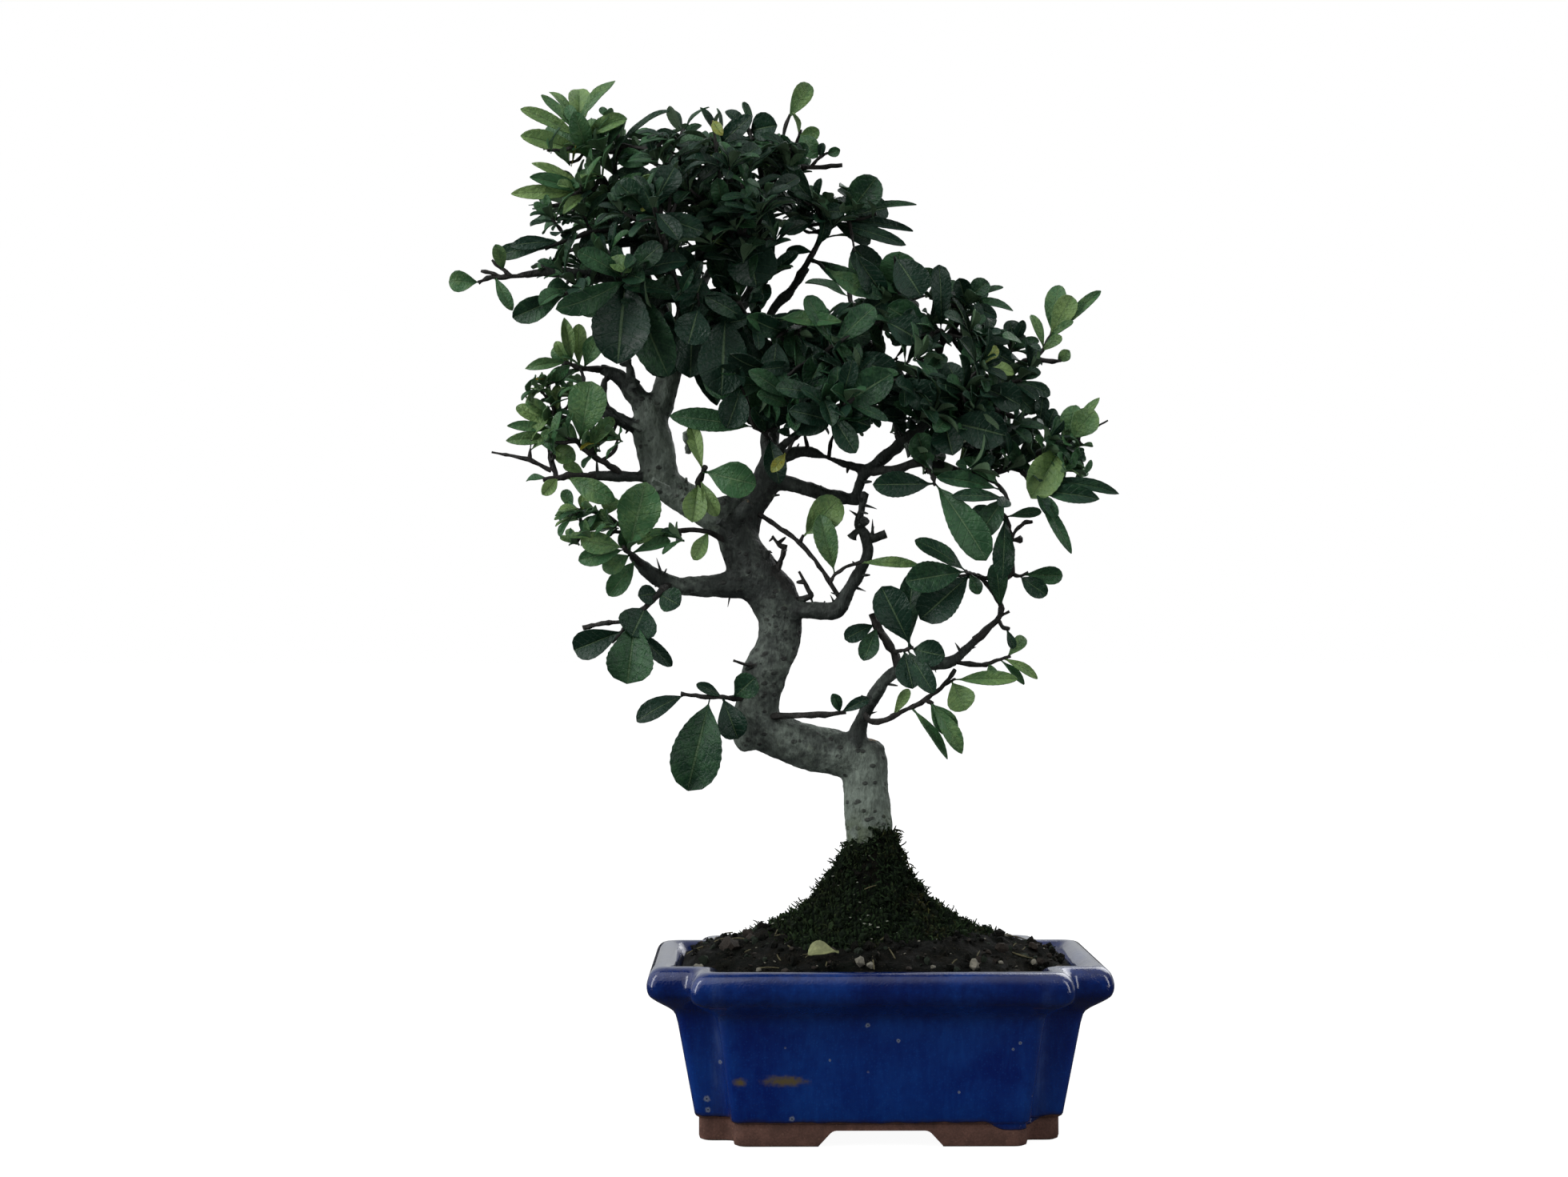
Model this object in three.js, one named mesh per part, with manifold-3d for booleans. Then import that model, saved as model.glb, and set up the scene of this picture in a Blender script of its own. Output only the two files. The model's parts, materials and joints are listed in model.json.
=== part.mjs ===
// A small firethorn bonsai in its glazed pot, in millimetres, +Z up, the front of the pot towards -Y.
import * as THREE from 'three';
import { mergeVertices } from 'three/addons/utils/BufferGeometryUtils.js';
import Module from 'manifold-3d';

const wasm = await Module();
wasm.setup();

// Driving dimensions of the pot.
const POT_WIDTH = 200;
const POT_DEPTH = 155;
const POT_HEIGHT = 76;
const POT_WALL = 8;
const LIP_BAND = 11;
const LIP_NOTCH = 19.5;
const FOOT_NOTCH = 15;
const CORNER_ROUND = 4.5;
const FOOT_HEIGHT = 10;
const FOOT_INSET = 22;
const FOOT_BAND = 13;
const UNDERSIDE = 8;
const FLOOR_TOP = 14;
const ARCH_HEIGHT = 7;
const FRONT_ARCH = { top: 41, bottom: 54 };
const SIDE_ARCH = { top: 30, bottom: 43 };
const DRAIN_RADIUS = 9;
const DRAIN_SPACING = 84;
const SCREEN_SIZE = 34;
const SCREEN_THICKNESS = 1;
const SCREEN_SLOTS = 5;

// Driving dimensions of the soil and the moss on it.
const SOIL_EDGE = 73.5;
const MOUND_SWELL = 14;
const MOUND_PEAK = 42;
const MOUND_FALL = 15;
const MOUND_TRUNK = 11;
const MOUND_REACH = 92;
const MOUND_SQUEEZE = 0.74;
const MOSS_DEPTH = 2.4;
const MOSS_RINGS = [9, 14, 20, 29, 42, 58];
const SOIL_RIM_INSET = 14.2;
const TRUNK_X = -2.5;

// Gap kept between pieces that touch.
const GAP = 0.35;

// Leaves: how deep the keel under the midrib is, and how far the blade arches.
const KEEL = 1.2;
const STALK_HALF = 0.6;
const BLADE_ARCH = 0.22;
const LARGE_LEAF = 30;
const NARROW_LEAF = 5.2;
const GOLDEN_ANGLE = Math.PI * (3 - Math.sqrt(5));
const TRIES = 6;

// The tree is laid out as it is seen from this eye: a point is given by where it shows on the
// upright plane through the middle of the pot, then by its depth behind that plane.
const EYE = new THREE.Vector3(-53, -1187.5, 214);

const FINISHES = {
  glaze: { color: 0x16309a, roughness: 0.18, metalness: 0 },
  screen: { color: 0x1c1f1c, roughness: 0.7, metalness: 0 },
  soil: { color: 0x2a2019, roughness: 0.97, metalness: 0 },
  moss: { color: 0x2f3d1c, roughness: 0.98, metalness: 0 },
  bark: { color: 0x5c6460, roughness: 0.85, metalness: 0 },
  dark: { color: 0x1d4034, roughness: 0.42, metalness: 0 },
  fresh: { color: 0x567a4c, roughness: 0.48, metalness: 0 },
  dry: { color: 0x9a9a52, roughness: 0.7, metalness: 0 },
};

function seeded(seed) {
  let state = seed;
  return () => {
    state = (state * 1664525 + 1013904223) % 4294967296;
    return state / 4294967296;
  };
}

function seen([x, z, y]) {
  const stretch = (y - EYE.y) / -EYE.y;
  return new THREE.Vector3(EYE.x + (x - EYE.x) * stretch, y, EYE.z + (z - EYE.z) * stretch);
}

function toSolid(geometry) {
  const bare = geometry.clone();
  bare.deleteAttribute('normal');
  bare.deleteAttribute('uv');
  const merged = mergeVertices(bare, 1e-4);
  return new wasm.Manifold(new wasm.Mesh({
    numProp: 3,
    vertProperties: new Float32Array(merged.attributes.position.array),
    triVerts: new Uint32Array(merged.index.array),
  }));
}

function toGeometry(solid) {
  const mesh = solid.getMesh();
  const geometry = new THREE.BufferGeometry();
  const places = new Float32Array(mesh.vertProperties);
  geometry.setAttribute('position', new THREE.BufferAttribute(places, 3));
  geometry.setIndex(new THREE.BufferAttribute(new Uint32Array(mesh.triVerts), 1));
  geometry.computeVertexNormals();
  return geometry;
}

function reshape(geometry, move) {
  const position = geometry.attributes.position;
  const point = new THREE.Vector3();
  for (let i = 0; i < position.count; i += 1) {
    point.fromBufferAttribute(position, i);
    const moved = move(point, i);
    position.setXYZ(i, moved.x, moved.y, moved.z);
  }
  return geometry;
}

function joined(solids) {
  return solids.reduce((all, solid) => all.add(solid));
}

// The pot's plan: a rectangle with a right-angle notch in each corner, every corner rounded.
// More points may be spread along its long and short sides.
function notchedOutline(halfX, halfY, notch, round, [onLong, onShort] = [0, 0]) {
  const outline = [];
  const quadrants = [[1, -1], [1, 1], [-1, 1], [-1, -1]];
  quadrants.forEach(([sx, sy]) => {
    const corners = [
      { x: halfX - round, y: halfY - notch - round, from: 0, turn: 1 },
      { x: halfX - notch + round, y: halfY - notch + round, from: -Math.PI / 2, turn: -1 },
      { x: halfX - notch - round, y: halfY - round, from: 0, turn: 1 },
    ];
    const points = corners.flatMap((corner) => [0, 0.5, 1].map((share) => {
      const angle = corner.from + (corner.turn * share * Math.PI) / 2;
      return [sx * (corner.x + round * Math.cos(angle)), sy * (corner.y + round * Math.sin(angle))];
    }));
    const isSide = sx * sy > 0;
    outline.push(...(isSide ? points : points.reverse()));
    const count = isSide ? onLong : onShort;
    const [x, y] = outline[outline.length - 1];
    for (let i = 1; i <= count; i += 1) {
      const share = 1 - (2 * i) / (count + 1);
      outline.push(isSide ? [x * share, y] : [x, y * share]);
    }
  });
  return outline;
}

function potPlan(inset, z, spread) {
  const share = THREE.MathUtils.clamp(z / POT_HEIGHT, 0, 1);
  const notch = THREE.MathUtils.lerp(FOOT_NOTCH, LIP_NOTCH, share);
  return notchedOutline(POT_WIDTH / 2 - inset, POT_DEPTH / 2 - inset, notch, CORNER_ROUND, spread);
}

// A lathe whose round turns take given plans. A row without a plan is a point on the axis.
function turnedPlan(rows) {
  const count = rows.find((row) => row.plan).plan.length;
  const profile = rows.map((row, k) => new THREE.Vector2(row.plan ? 1 : 0, k));
  return reshape(new THREE.LatheGeometry(profile, count), (point, i) => {
    const { plan, z, height } = rows[i % rows.length];
    const [x, y] = plan ? plan[Math.floor(i / rows.length) % count] : [0, 0];
    return new THREE.Vector3(x, y, height ? height(x, y) : z);
  });
}

function archCutter({ top, bottom }, length) {
  const shape = new THREE.Shape();
  shape.moveTo(-bottom / 2, -1);
  shape.lineTo(bottom / 2, -1);
  shape.lineTo(bottom / 2, 0);
  shape.lineTo(top / 2, ARCH_HEIGHT);
  shape.lineTo(-top / 2, ARCH_HEIGHT);
  shape.lineTo(-bottom / 2, 0);
  const geometry = new THREE.ExtrudeGeometry(shape, { depth: length, bevelEnabled: false });
  geometry.translate(0, 0, -length / 2);
  geometry.rotateX(Math.PI / 2);
  return geometry;
}

// The outside of the body, from the glaze's lower edge to the neck: [inset from the lip, height].
const BODY_FOOT = [20.2, 11.4];
const BODY_NECK = [13, 51];

function innerInset(z) {
  return THREE.MathUtils.mapLinear(z, BODY_FOOT[1], BODY_NECK[1], BODY_FOOT[0], BODY_NECK[0]) + POT_WALL;
}

function makePot() {
  const profile = [
    [FOOT_INSET + FOOT_BAND + 1, UNDERSIDE],
    [FOOT_INSET + FOOT_BAND, 0],
    [FOOT_INSET + 1.5, 0],
    [FOOT_INSET, 2],
    [FOOT_INSET, FOOT_HEIGHT],
    BODY_FOOT,
    BODY_NECK,
    [11, 56.5],
    [4, 61.5],
    [0.8, 64.5],
    [0, 69],
    [1.4, 73.6],
    [4.6, POT_HEIGHT],
    [LIP_BAND - 2, POT_HEIGHT],
    [LIP_BAND + 1.5, POT_HEIGHT - 3],
    [innerInset(BODY_NECK[1]), BODY_NECK[1]],
    [innerInset(FLOOR_TOP), FLOOR_TOP],
  ];
  const rows = profile.map(([inset, z]) => ({ plan: potPlan(inset, z), z }));
  let pot = toSolid(turnedPlan([{ z: UNDERSIDE }, ...rows, { z: FLOOR_TOP }]));
  const sideArch = archCutter(SIDE_ARCH, POT_WIDTH);
  sideArch.rotateZ(Math.PI / 2);
  pot = pot.subtract(toSolid(archCutter(FRONT_ARCH, POT_DEPTH)));
  pot = pot.subtract(toSolid(sideArch));
  [-1, 1].forEach((side) => {
    const drain = new THREE.CylinderGeometry(DRAIN_RADIUS, DRAIN_RADIUS, 3 * FLOOR_TOP, 16);
    drain.rotateX(Math.PI / 2);
    drain.translate((side * DRAIN_SPACING) / 2, 0, FLOOR_TOP);
    pot = pot.subtract(toSolid(drain));
  });
  return pot;
}

// A plastic screen over each drain hole, a square plate with slots through it.
function makeScreen(side) {
  const centre = new THREE.Vector3((side * DRAIN_SPACING) / 2, 0, FLOOR_TOP + GAP + SCREEN_THICKNESS / 2);
  const plate = new THREE.BoxGeometry(SCREEN_SIZE, SCREEN_SIZE, SCREEN_THICKNESS);
  plate.translate(centre.x, centre.y, centre.z);
  let screen = toSolid(plate);
  const pitch = SCREEN_SIZE / (SCREEN_SLOTS + 0.5);
  for (let i = 0; i < SCREEN_SLOTS; i += 1) {
    const slot = new THREE.BoxGeometry(pitch * 0.45, SCREEN_SIZE * 0.75, 3 * SCREEN_THICKNESS);
    slot.translate(centre.x + (i - (SCREEN_SLOTS - 1) / 2) * pitch, centre.y, centre.z);
    screen = screen.subtract(toSolid(slot));
  }
  return screen;
}

// The height of the mound at a place, steep at the trunk and flat at the pot's wall.
function moundHeight(x, y) {
  const away = Math.hypot(x - TRUNK_X, y / MOUND_SQUEEZE);
  const share = Math.min(away / MOUND_REACH, 1);
  const peak = MOUND_PEAK * Math.exp(-Math.max(away - MOUND_TRUNK, 0) / MOUND_FALL);
  return SOIL_EDGE + MOUND_SWELL * (1 - share * share) + peak;
}

function clods(x, y) {
  return 0.9 * Math.sin(x * 0.31 + 1) * Math.sin(y * 0.27) + 0.6 * Math.sin(x * 0.11 - y * 0.17);
}

// Soil lies lower where the moss covers it; the cover ends in a wandering edge.
function mossEdge(x, y) {
  const angle = Math.atan2(y, x);
  const wander = 0.09 * Math.sin(3 * angle + 1) + 0.06 * Math.sin(5 * angle);
  return MOSS_RINGS[MOSS_RINGS.length - 1] * (1 + wander);
}

function soilHeight(x, y) {
  const away = Math.hypot(x - TRUNK_X, y / MOUND_SQUEEZE);
  const cover = THREE.MathUtils.clamp((mossEdge(x, y) - away) / 12, 0, 1);
  return moundHeight(x, y) + clods(x, y) * (1 - cover) - MOSS_DEPTH * cover;
}

function moundRing(radius, count) {
  const start = -Math.PI / 3;
  return Array.from({ length: count }, (_, i) => {
    const angle = start + (i / count) * 2 * Math.PI;
    return [TRUNK_X + radius * Math.cos(angle), radius * Math.sin(angle) * MOUND_SQUEEZE];
  });
}

const SOIL_SPREAD = [1, 0];
const SOIL_POINTS = 36 + 2 * (SOIL_SPREAD[0] + SOIL_SPREAD[1]);

function soilBlock(lift) {
  const bottom = FLOOR_TOP + GAP;
  const rim = SOIL_EDGE - 1.2;
  const walls = [
    [innerInset(bottom) + GAP, bottom],
    [innerInset(BODY_NECK[1]) + GAP, BODY_NECK[1]],
    [SOIL_RIM_INSET, 70],
    [SOIL_RIM_INSET, rim],
  ].map(([inset, z]) => ({ plan: potPlan(inset, z, SOIL_SPREAD), z }));
  const shoulder = { plan: potPlan(SOIL_RIM_INSET + 5, rim, SOIL_SPREAD), height: soilHeight };
  const rings = [...MOSS_RINGS].reverse().map((radius) => (
    { plan: moundRing(radius, SOIL_POINTS), height: soilHeight }
  ));
  const rows = [{ z: bottom }, ...walls, shoulder, ...rings, { height: soilHeight }];
  return toSolid(turnedPlan(rows).translate(0, 0, lift));
}

function makeSoil(trunkHole) {
  let soil = soilBlock(0);
  [-1, 1].forEach((side) => {
    const room = SCREEN_SIZE + 2 * GAP;
    const pocket = new THREE.BoxGeometry(room, room, 2 * (SCREEN_THICKNESS + GAP));
    pocket.translate((side * DRAIN_SPACING) / 2, 0, FLOOR_TOP + GAP);
    soil = soil.subtract(toSolid(pocket));
  });
  return soil.subtract(trunkHole);
}

// The moss is what stands above the soil out of a block whose top is the mossy mound.
function makeMoss(trunkHole) {
  const height = (x, y) => {
    const away = Math.hypot(x - TRUNK_X, y / MOUND_SQUEEZE);
    const end = THREE.MathUtils.clamp((away - mossEdge(x, y) + 7) / 7, 0, 2);
    return moundHeight(x, y) + 0.5 * clods(y * 2, x * 2) - 2.4 * end;
  };
  const outer = MOSS_RINGS[MOSS_RINGS.length - 1] + 9;
  const inner = MOSS_RINGS[0];
  const top = [...MOSS_RINGS, outer].reverse().map((radius) => (
    { plan: moundRing(radius, SOIL_POINTS), height }
  ));
  const foot = (radius) => ({ plan: moundRing(radius, SOIL_POINTS), z: SOIL_EDGE - 8 });
  const block = toSolid(turnedPlan([foot(inner), foot(outer), ...top, foot(inner)]));
  return largest(block.subtract(soilBlock(2 * GAP)).subtract(trunkHole));
}

function largest(solid) {
  return solid.decompose().reduce((best, piece) => (piece.volume() > best.volume() ? piece : best));
}

// A tapering limb along a smooth curve: a closed cylinder, bent. Points are [x, z, depth, radius].
function limbCurve(points) {
  return new THREE.CatmullRomCurve3(points.map(seen), false, 'catmullrom', 0.5);
}

function limb(points, { sides, extra = 0 }) {
  const curve = limbCurve(points);
  const rings = points.length - 1;
  const frames = [];
  let side = new THREE.Vector3(0, 1, 0);
  for (let i = 0; i <= rings; i += 1) {
    const along = curve.getTangent(i / rings);
    if (Math.abs(side.dot(along)) > 0.95) {
      side = new THREE.Vector3(1, 0, 0);
    }
    side = side.clone().addScaledVector(along, -side.dot(along)).normalize();
    const beyond = { 0: -extra, [rings]: extra }[i] ?? 0;
    frames.push({
      centre: curve.getPoint(i / rings).addScaledVector(along, beyond),
      side,
      other: new THREE.Vector3().crossVectors(side, along),
      radius: points[i][3] + extra,
    });
  }
  const geometry = new THREE.CylinderGeometry(1, 1, 1, sides, rings);
  return reshape(geometry, (point) => {
    const frame = frames[Math.round((point.y + 0.5) * rings)];
    return frame.centre.clone()
      .addScaledVector(frame.side, point.x * frame.radius)
      .addScaledVector(frame.other, point.z * frame.radius);
  });
}

// Every woody limb, from where it leaves its parent to its end: [x, z, depth, radius].
const TRUNK_FOOT = [
  [-2.5, 58, 0, 13.5], [-2.5, 95, 0, 12.2], [-2.4, 128, 0, 10.6], [-3.5, 146, 0, 10.4],
  [-4.2, 158, 0, 10.2], [-4.2, 168, 0, 8.6], [-4, 171.5, 0, 6],
];

const LIMBS = [
  { sides: 12, path: TRUNK_FOOT },
  { sides: 12, path: [[-1, 160, 0, 9.4], [-13, 164.5, 0, 10.2], [-26, 167.5, 0, 10.2], [-38, 171, 0, 10.2],
    [-50, 176, 0, 9.6], [-56, 179, 0, 7.5]] },
  { sides: 12, path: [[-53, 167.5, 0, 6.5], [-54, 172, 0, 9.2], [-53.3, 182, 0, 10], [-51.8, 193, 0, 10],
    [-48, 205, 0, 9.7], [-43.6, 215, 0, 9.5], [-42, 225, 0, 9.9], [-46, 235.5, 0, 11], [-54, 246, 0, 10.8],
    [-60, 257, 0, 9.2], [-62.5, 267, 0, 8.4], [-65, 276, 0, 7.6], [-66, 281, 0, 5]] },
  // The stump on the left.
  { sides: 6, path: [[-50, 240, 0, 8.5], [-62, 241, -1, 6.6], [-74, 241, -2, 4.9], [-88, 240.5, -3, 4.2],
    [-97, 244.5, -4, 3.4], [-105, 250, -5, 2.8], [-110, 255, -6, 2]] },
  // The left limb, its upright and the two forks at its head.
  { sides: 8, path: [[-58, 262, 0, 7], [-70, 270, 0, 7.4], [-80, 277, 0, 7.2], [-90, 283, 0, 7],
    [-98, 288.5, 0, 6.4]] },
  { sides: 9, path: [[-96.5, 282, 0, 6.5], [-97, 291, 0, 8.6], [-98.8, 302, 0, 8.5], [-100.8, 313, 0, 7.9],
    [-101.5, 322, 0, 6.2], [-102, 327, 0, 4]] },
  { sides: 6, path: [[-101, 314, 0, 5.4], [-107, 326, -1, 4.6], [-114, 334, -2, 3.8], [-121, 337.5, -3, 3.2],
    [-124, 337.5, -3, 2.4]] },
  { sides: 6, path: [[-99, 316, 0, 6], [-94.5, 327, 1, 5.8], [-92, 338, 2, 5.2], [-93, 352, 5, 4.5],
    [-97, 366, 7, 3.9], [-103, 380, 8, 3.3], [-109, 396, 8, 2.7], [-116, 411, 6, 2.1], [-123, 424, 3, 1.6]] },
  { sides: 5, path: [[-103, 311, 0, 3], [-112, 314, -4, 2.7], [-119, 318.5, -6, 2.3], [-122, 326, -7, 2],
    [-121, 334, -7, 1.6]] },
  // Branches inside the tall left crown.
  { sides: 5, path: [[-92.5, 345, 3, 3.8], [-85, 364, 9, 3.3], [-80, 382, 12, 2.8], [-78, 398, 13, 2.4],
    [-80, 415, 13, 2], [-84, 431, 11, 1.5]] },
  { sides: 5, path: [[-99, 369, 7, 2.8], [-112, 376, -4, 2.6], [-128, 380, -14, 2.2], [-145, 382, -18, 1.9],
    [-158, 380.3, -19.5, 1.6]] },
  { sides: 5, path: [[-91, 342, 3, 3.6], [-80, 349, 8, 3.3], [-67, 358, 13, 3], [-57, 371, 15, 2.7],
    [-53, 386, 15, 2.4], [-52, 401, 13, 2.1], [-50, 416, 10, 1.8], [-48, 425, 8, 1.5]] },
  { sides: 4, path: [[-98, 366, 8, 2.8], [-108, 374, 22, 2.4], [-118, 386, 34, 2], [-126, 400, 42, 1.6]] },
  { sides: 4, path: [[-84, 366, 10, 2.8], [-76, 378, 26, 2.4], [-70, 392, 38, 2], [-68, 406, 46, 1.6]] },
  { sides: 4, path: [[-86, 362, 8, 2.6], [-90, 376, -10, 2.3], [-94, 389, -28, 2], [-96, 402, -42, 1.6]] },
  // The right limb, bent back on itself, and its shoot to the top.
  { sides: 6, path: [[-60, 260, 2, 6.4], [-56, 273, 3, 6.8], [-50, 285, 4, 6.6], [-46, 296, 6, 6],
    [-47, 306, 8, 4.6], [-46, 319, 10, 3.2], [-43, 334, 11, 2.6], [-44, 349, 12, 2.3], [-47, 362, 11, 2],
    [-38, 373, 8, 1.9], [-30, 384, 5, 1.8]] },
  { sides: 6, path: [[-44, 288, 5, 4.4], [-30, 283.5, 4, 3.6], [-17, 280.3, 4, 3.3], [-7, 278.6, 4, 2.6]] },
  { sides: 5, path: [[-8.5, 277.5, 4, 2.2], [-7.5, 284, 4, 2.8], [-4, 291, 3, 2.7], [3, 297.5, 1, 2.5],
    [10, 304, -2, 2.3], [20, 312, -4, 2.2], [32, 321, -6, 2.1], [44, 328, -7, 1.9], [54, 333.5, -8, 1.7],
    [63, 340, -9, 1.4]] },
  { sides: 5, path: [[-44, 298, 6, 3], [-32, 301, 6, 2.2], [-22, 298.5, 5, 1.8], [-11, 294.5, 4, 1.8],
    [-2, 292.8, 3, 1.8]] },
  { sides: 4, path: [[28, 318, -5, 1.9], [30, 334, 0, 1.8], [29, 347, 3, 1.7], [34, 354, 4, 1.5],
    [39, 362, 4, 1.2]] },
  { sides: 4, path: [[12, 306, -2, 2], [8, 322, 6, 1.9], [3, 340, 12, 1.8], [2, 356, 14, 1.6],
    [8, 369, 14, 1.3]] },
  { sides: 4, path: [[-3, 292, 3, 2], [10, 293, -10, 1.9], [24, 296.5, -18, 1.8], [38, 292, -22, 1.6],
    [52, 291, -24, 1.4], [66, 296, -25, 1.2], [80, 303, -25, 1.1]] },
  { sides: 4, path: [[-4, 291, 3, 2.2], [8, 300, 20, 2.1], [20, 310, 34, 1.8], [34, 318, 44, 1.4]] },
  { sides: 4, path: [[3, 340, 12, 1.8], [-4, 352, 26, 1.6], [-10, 364, 38, 1.3]] },
  { sides: 4, path: [[-46, 300, 7, 2.6], [-38, 306, -8, 2.2], [-30, 312, -22, 1.8], [-22, 318, -32, 1.4]] },
  { sides: 4, path: [[-43, 332, 11, 2.2], [-34, 338, -2, 1.8], [-24, 346, -12, 1.4]] },
  // The branch in front on the right, and its cut knob.
  { sides: 6, path: [[-42, 229, -4, 4.6], [-30, 229.5, -8, 3.9], [-18, 229.4, -12, 3.6],
    [-12.5, 237, -13, 3.2],
    [-7, 246, -14, 3.1], [-3.5, 254, -14, 2.9], [-4, 262, -14, 2.8], [-7, 268, -14, 2.5], [-6, 275, -14, 2.3],
    [-4, 282.5, -13, 1.9]] },
  { sides: 5, path: [[-4, 261.5, -14, 2.4], [1, 262.4, -14, 2.3], [5, 264, -14, 1.9]] },
  // The low branch on the right.
  { sides: 6, path: [[-9, 168, -4, 4.6], [-6, 180, -6, 3.9], [0, 192, -8, 3.5], [9, 201.5, -10, 3.1],
    [22, 205.5, -12, 2.7], [34, 206.5, -13, 2.5], [41, 212, -13, 2.2], [50, 221, -13, 1.9]] },
  // Twigs on the left.
  { sides: 5, path: [[-96, 288, 0, 3], [-108, 289.5, -4, 2.5], [-121, 290, -7, 2.3],
    [-129, 289.8, -8.5, 2.1]] },
  { sides: 3, path: [[-51, 205, -6, 1.2], [-57, 205, -8, 0.9], [-63.5, 207, -9, 0.5]] },
  // Short stubs on the trunk's shoulder.
  { sides: 4, path: [[-50, 247, -5, 2.2], [-48.7, 256.5, -6, 1.9]] },
  { sides: 3, path: [[-45, 245, -5, 1.6], [-42, 252, -7, 1.3], [-40, 259, -8, 1.2]] },
  { sides: 3, path: [[-40, 257.5, -8, 1.1], [-43, 259, -8, 1], [-46, 263, -8, 0.5]] },
  { sides: 3, path: [[-40, 234, -1, 1.8], [-29, 235.5, -9, 1.3], [-30.5, 240, -10, 1],
    [-34, 247, -11, 0.6]] },
  { sides: 4, path: [[-68, 262, -4, 4], [-62, 271, -9, 3], [-56, 278, -12, 2.6]] },
];

// Thorns: where each stands on the wood, and where its point shows: [x, z, depth, tip x, tip z].
const THORN = { radius: 0.9, sides: 3 };
const THORNS = [
  [-95, 243, -5, -98, 253], [-1, 262, -14, -1, 270.5], [-6.5, 271, -14, -11.5, 274.5],
  [-6, 277, -14, 1, 275], [-17, 230, -13, -20, 236.5], [-10, 240, -13, -4, 238], [40, 211, -13, 45.5, 213],
  [39, 210, -13, 36, 215], [-5, 182, -6, 1, 184], [2, 194.5, -8, 7, 196.5], [26, 206, -12, 27.5, 201.5],
  [-64, 241, -1, -66, 231], [-124.5, 290, -7.5, -125, 298.5], [-78, 399, 13, -71, 402],
];

function thorn([x, z, y, tipX, tipZ]) {
  const foot = seen([x, z, y]);
  const tip = seen([tipX, tipZ, y - 2]);
  const way = tip.clone().sub(foot);
  const geometry = new THREE.ConeGeometry(THORN.radius, way.length(), THORN.sides);
  geometry.translate(0, way.length() / 2, 0);
  const upright = new THREE.Vector3(0, 1, 0);
  geometry.applyQuaternion(new THREE.Quaternion().setFromUnitVectors(upright, way.normalize()));
  return geometry.translate(foot.x, foot.y, foot.z);
}

// A leaf is a closed ball of a few turns with three sides, flattened to a blade with a keel under
// its midrib. Its foot is a point in the twig.
const LARGE_BLADE = { turns: 4, along: [0, 0.16, 0.52, 0.83, 1], wide: [0, 0.2, 0.94, 0.86, 0] };
const SMALL_BLADE = { turns: 3, along: [0, 0.32, 0.76, 1], wide: [0, 0.6, 1, 0] };
const NARROW_BLADE = { turns: 2, along: [0, 0.6, 1], wide: [0, 1, 0] };
const BLADE_SIDES = 3;

function bladeForm({ length, width }) {
  if (width < NARROW_LEAF) {
    return NARROW_BLADE;
  }
  return length > LARGE_LEAF ? LARGE_BLADE : SMALL_BLADE;
}

function blade({ foot, along, up, length, width }, grow = 0) {
  const { turns, along: shares, wide } = bladeForm({ length, width });
  const across = new THREE.Vector3().crossVectors(along, up);
  return reshape(new THREE.SphereGeometry(1, BLADE_SIDES, turns), (point) => {
    const k = turns - Math.round((Math.acos(THREE.MathUtils.clamp(point.y, -1, 1)) / Math.PI) * turns);
    const isPole = wide[k] === 0;
    const corner = isPole ? 0 : Math.round((Math.atan2(point.z, -point.x) * BLADE_SIDES) / (2 * Math.PI));
    const half = Math.max((wide[k] * width) / 2, STALK_HALF) + 1.5 * grow;
    const depth = corner === 0 ? -KEEL - grow : grow;
    return foot.clone()
      .addScaledVector(along, shares[k] * length)
      .addScaledVector(across, -corner * half)
      .addScaledVector(up, (isPole ? 0 : depth) + BLADE_ARCH * shares[k] * (1 - shares[k]) * length);
  });
}

// A leaf set by hand: [place on the stems, tip x, tip z, tip depth, width, roll in degrees from
// facing the front]. A place of 1.4 is four tenths along the second stem.
const END_OF_STEM = 0.96;
const STAGGER = 0.04;
const STAGGER_STEPS = 5;
const KEY_SHIFTS = [0, -4, 4, -8, 8, -12, 12];

function stemPlace(curves, place, step) {
  const k = Math.max(Math.ceil(place) - 1, 0);
  const share = Math.max((place - k) * END_OF_STEM - STAGGER * (step % STAGGER_STEPS), 0.2);
  return { foot: curves[k].getPoint(share), along: curves[k].getTangent(share) };
}

function keyLeaf(curves, [place, x, z, y, width, roll], i, shift) {
  const { foot } = stemPlace(curves, place, i);
  const along = seen([x, z, y + shift]).sub(foot);
  const length = along.length();
  along.normalize();
  const facing = EYE.clone().sub(foot).normalize();
  facing.addScaledVector(along, -facing.dot(along)).normalize();
  const across = new THREE.Vector3().crossVectors(along, facing);
  const turn = THREE.MathUtils.degToRad(roll) * (across.z < 0 ? -1 : 1);
  const up = facing.multiplyScalar(Math.cos(turn)).addScaledVector(across, Math.sin(turn));
  return { foot, along, up, length, width };
}

// A leaf set by rule: turned round the stem by the golden angle, wide of it low down and close to
// it at the tip, its face to the sky, outwards and a little to the front.
const RULE = {
  spread: 0.72, wide: 1.15, close: 0.5, jitter: 0.5, slim: 0.36, fat: 0.5, retry: 1.3, shrink: 0.06,
};
const CROWN_CENTRE = { x: -50 };

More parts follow.
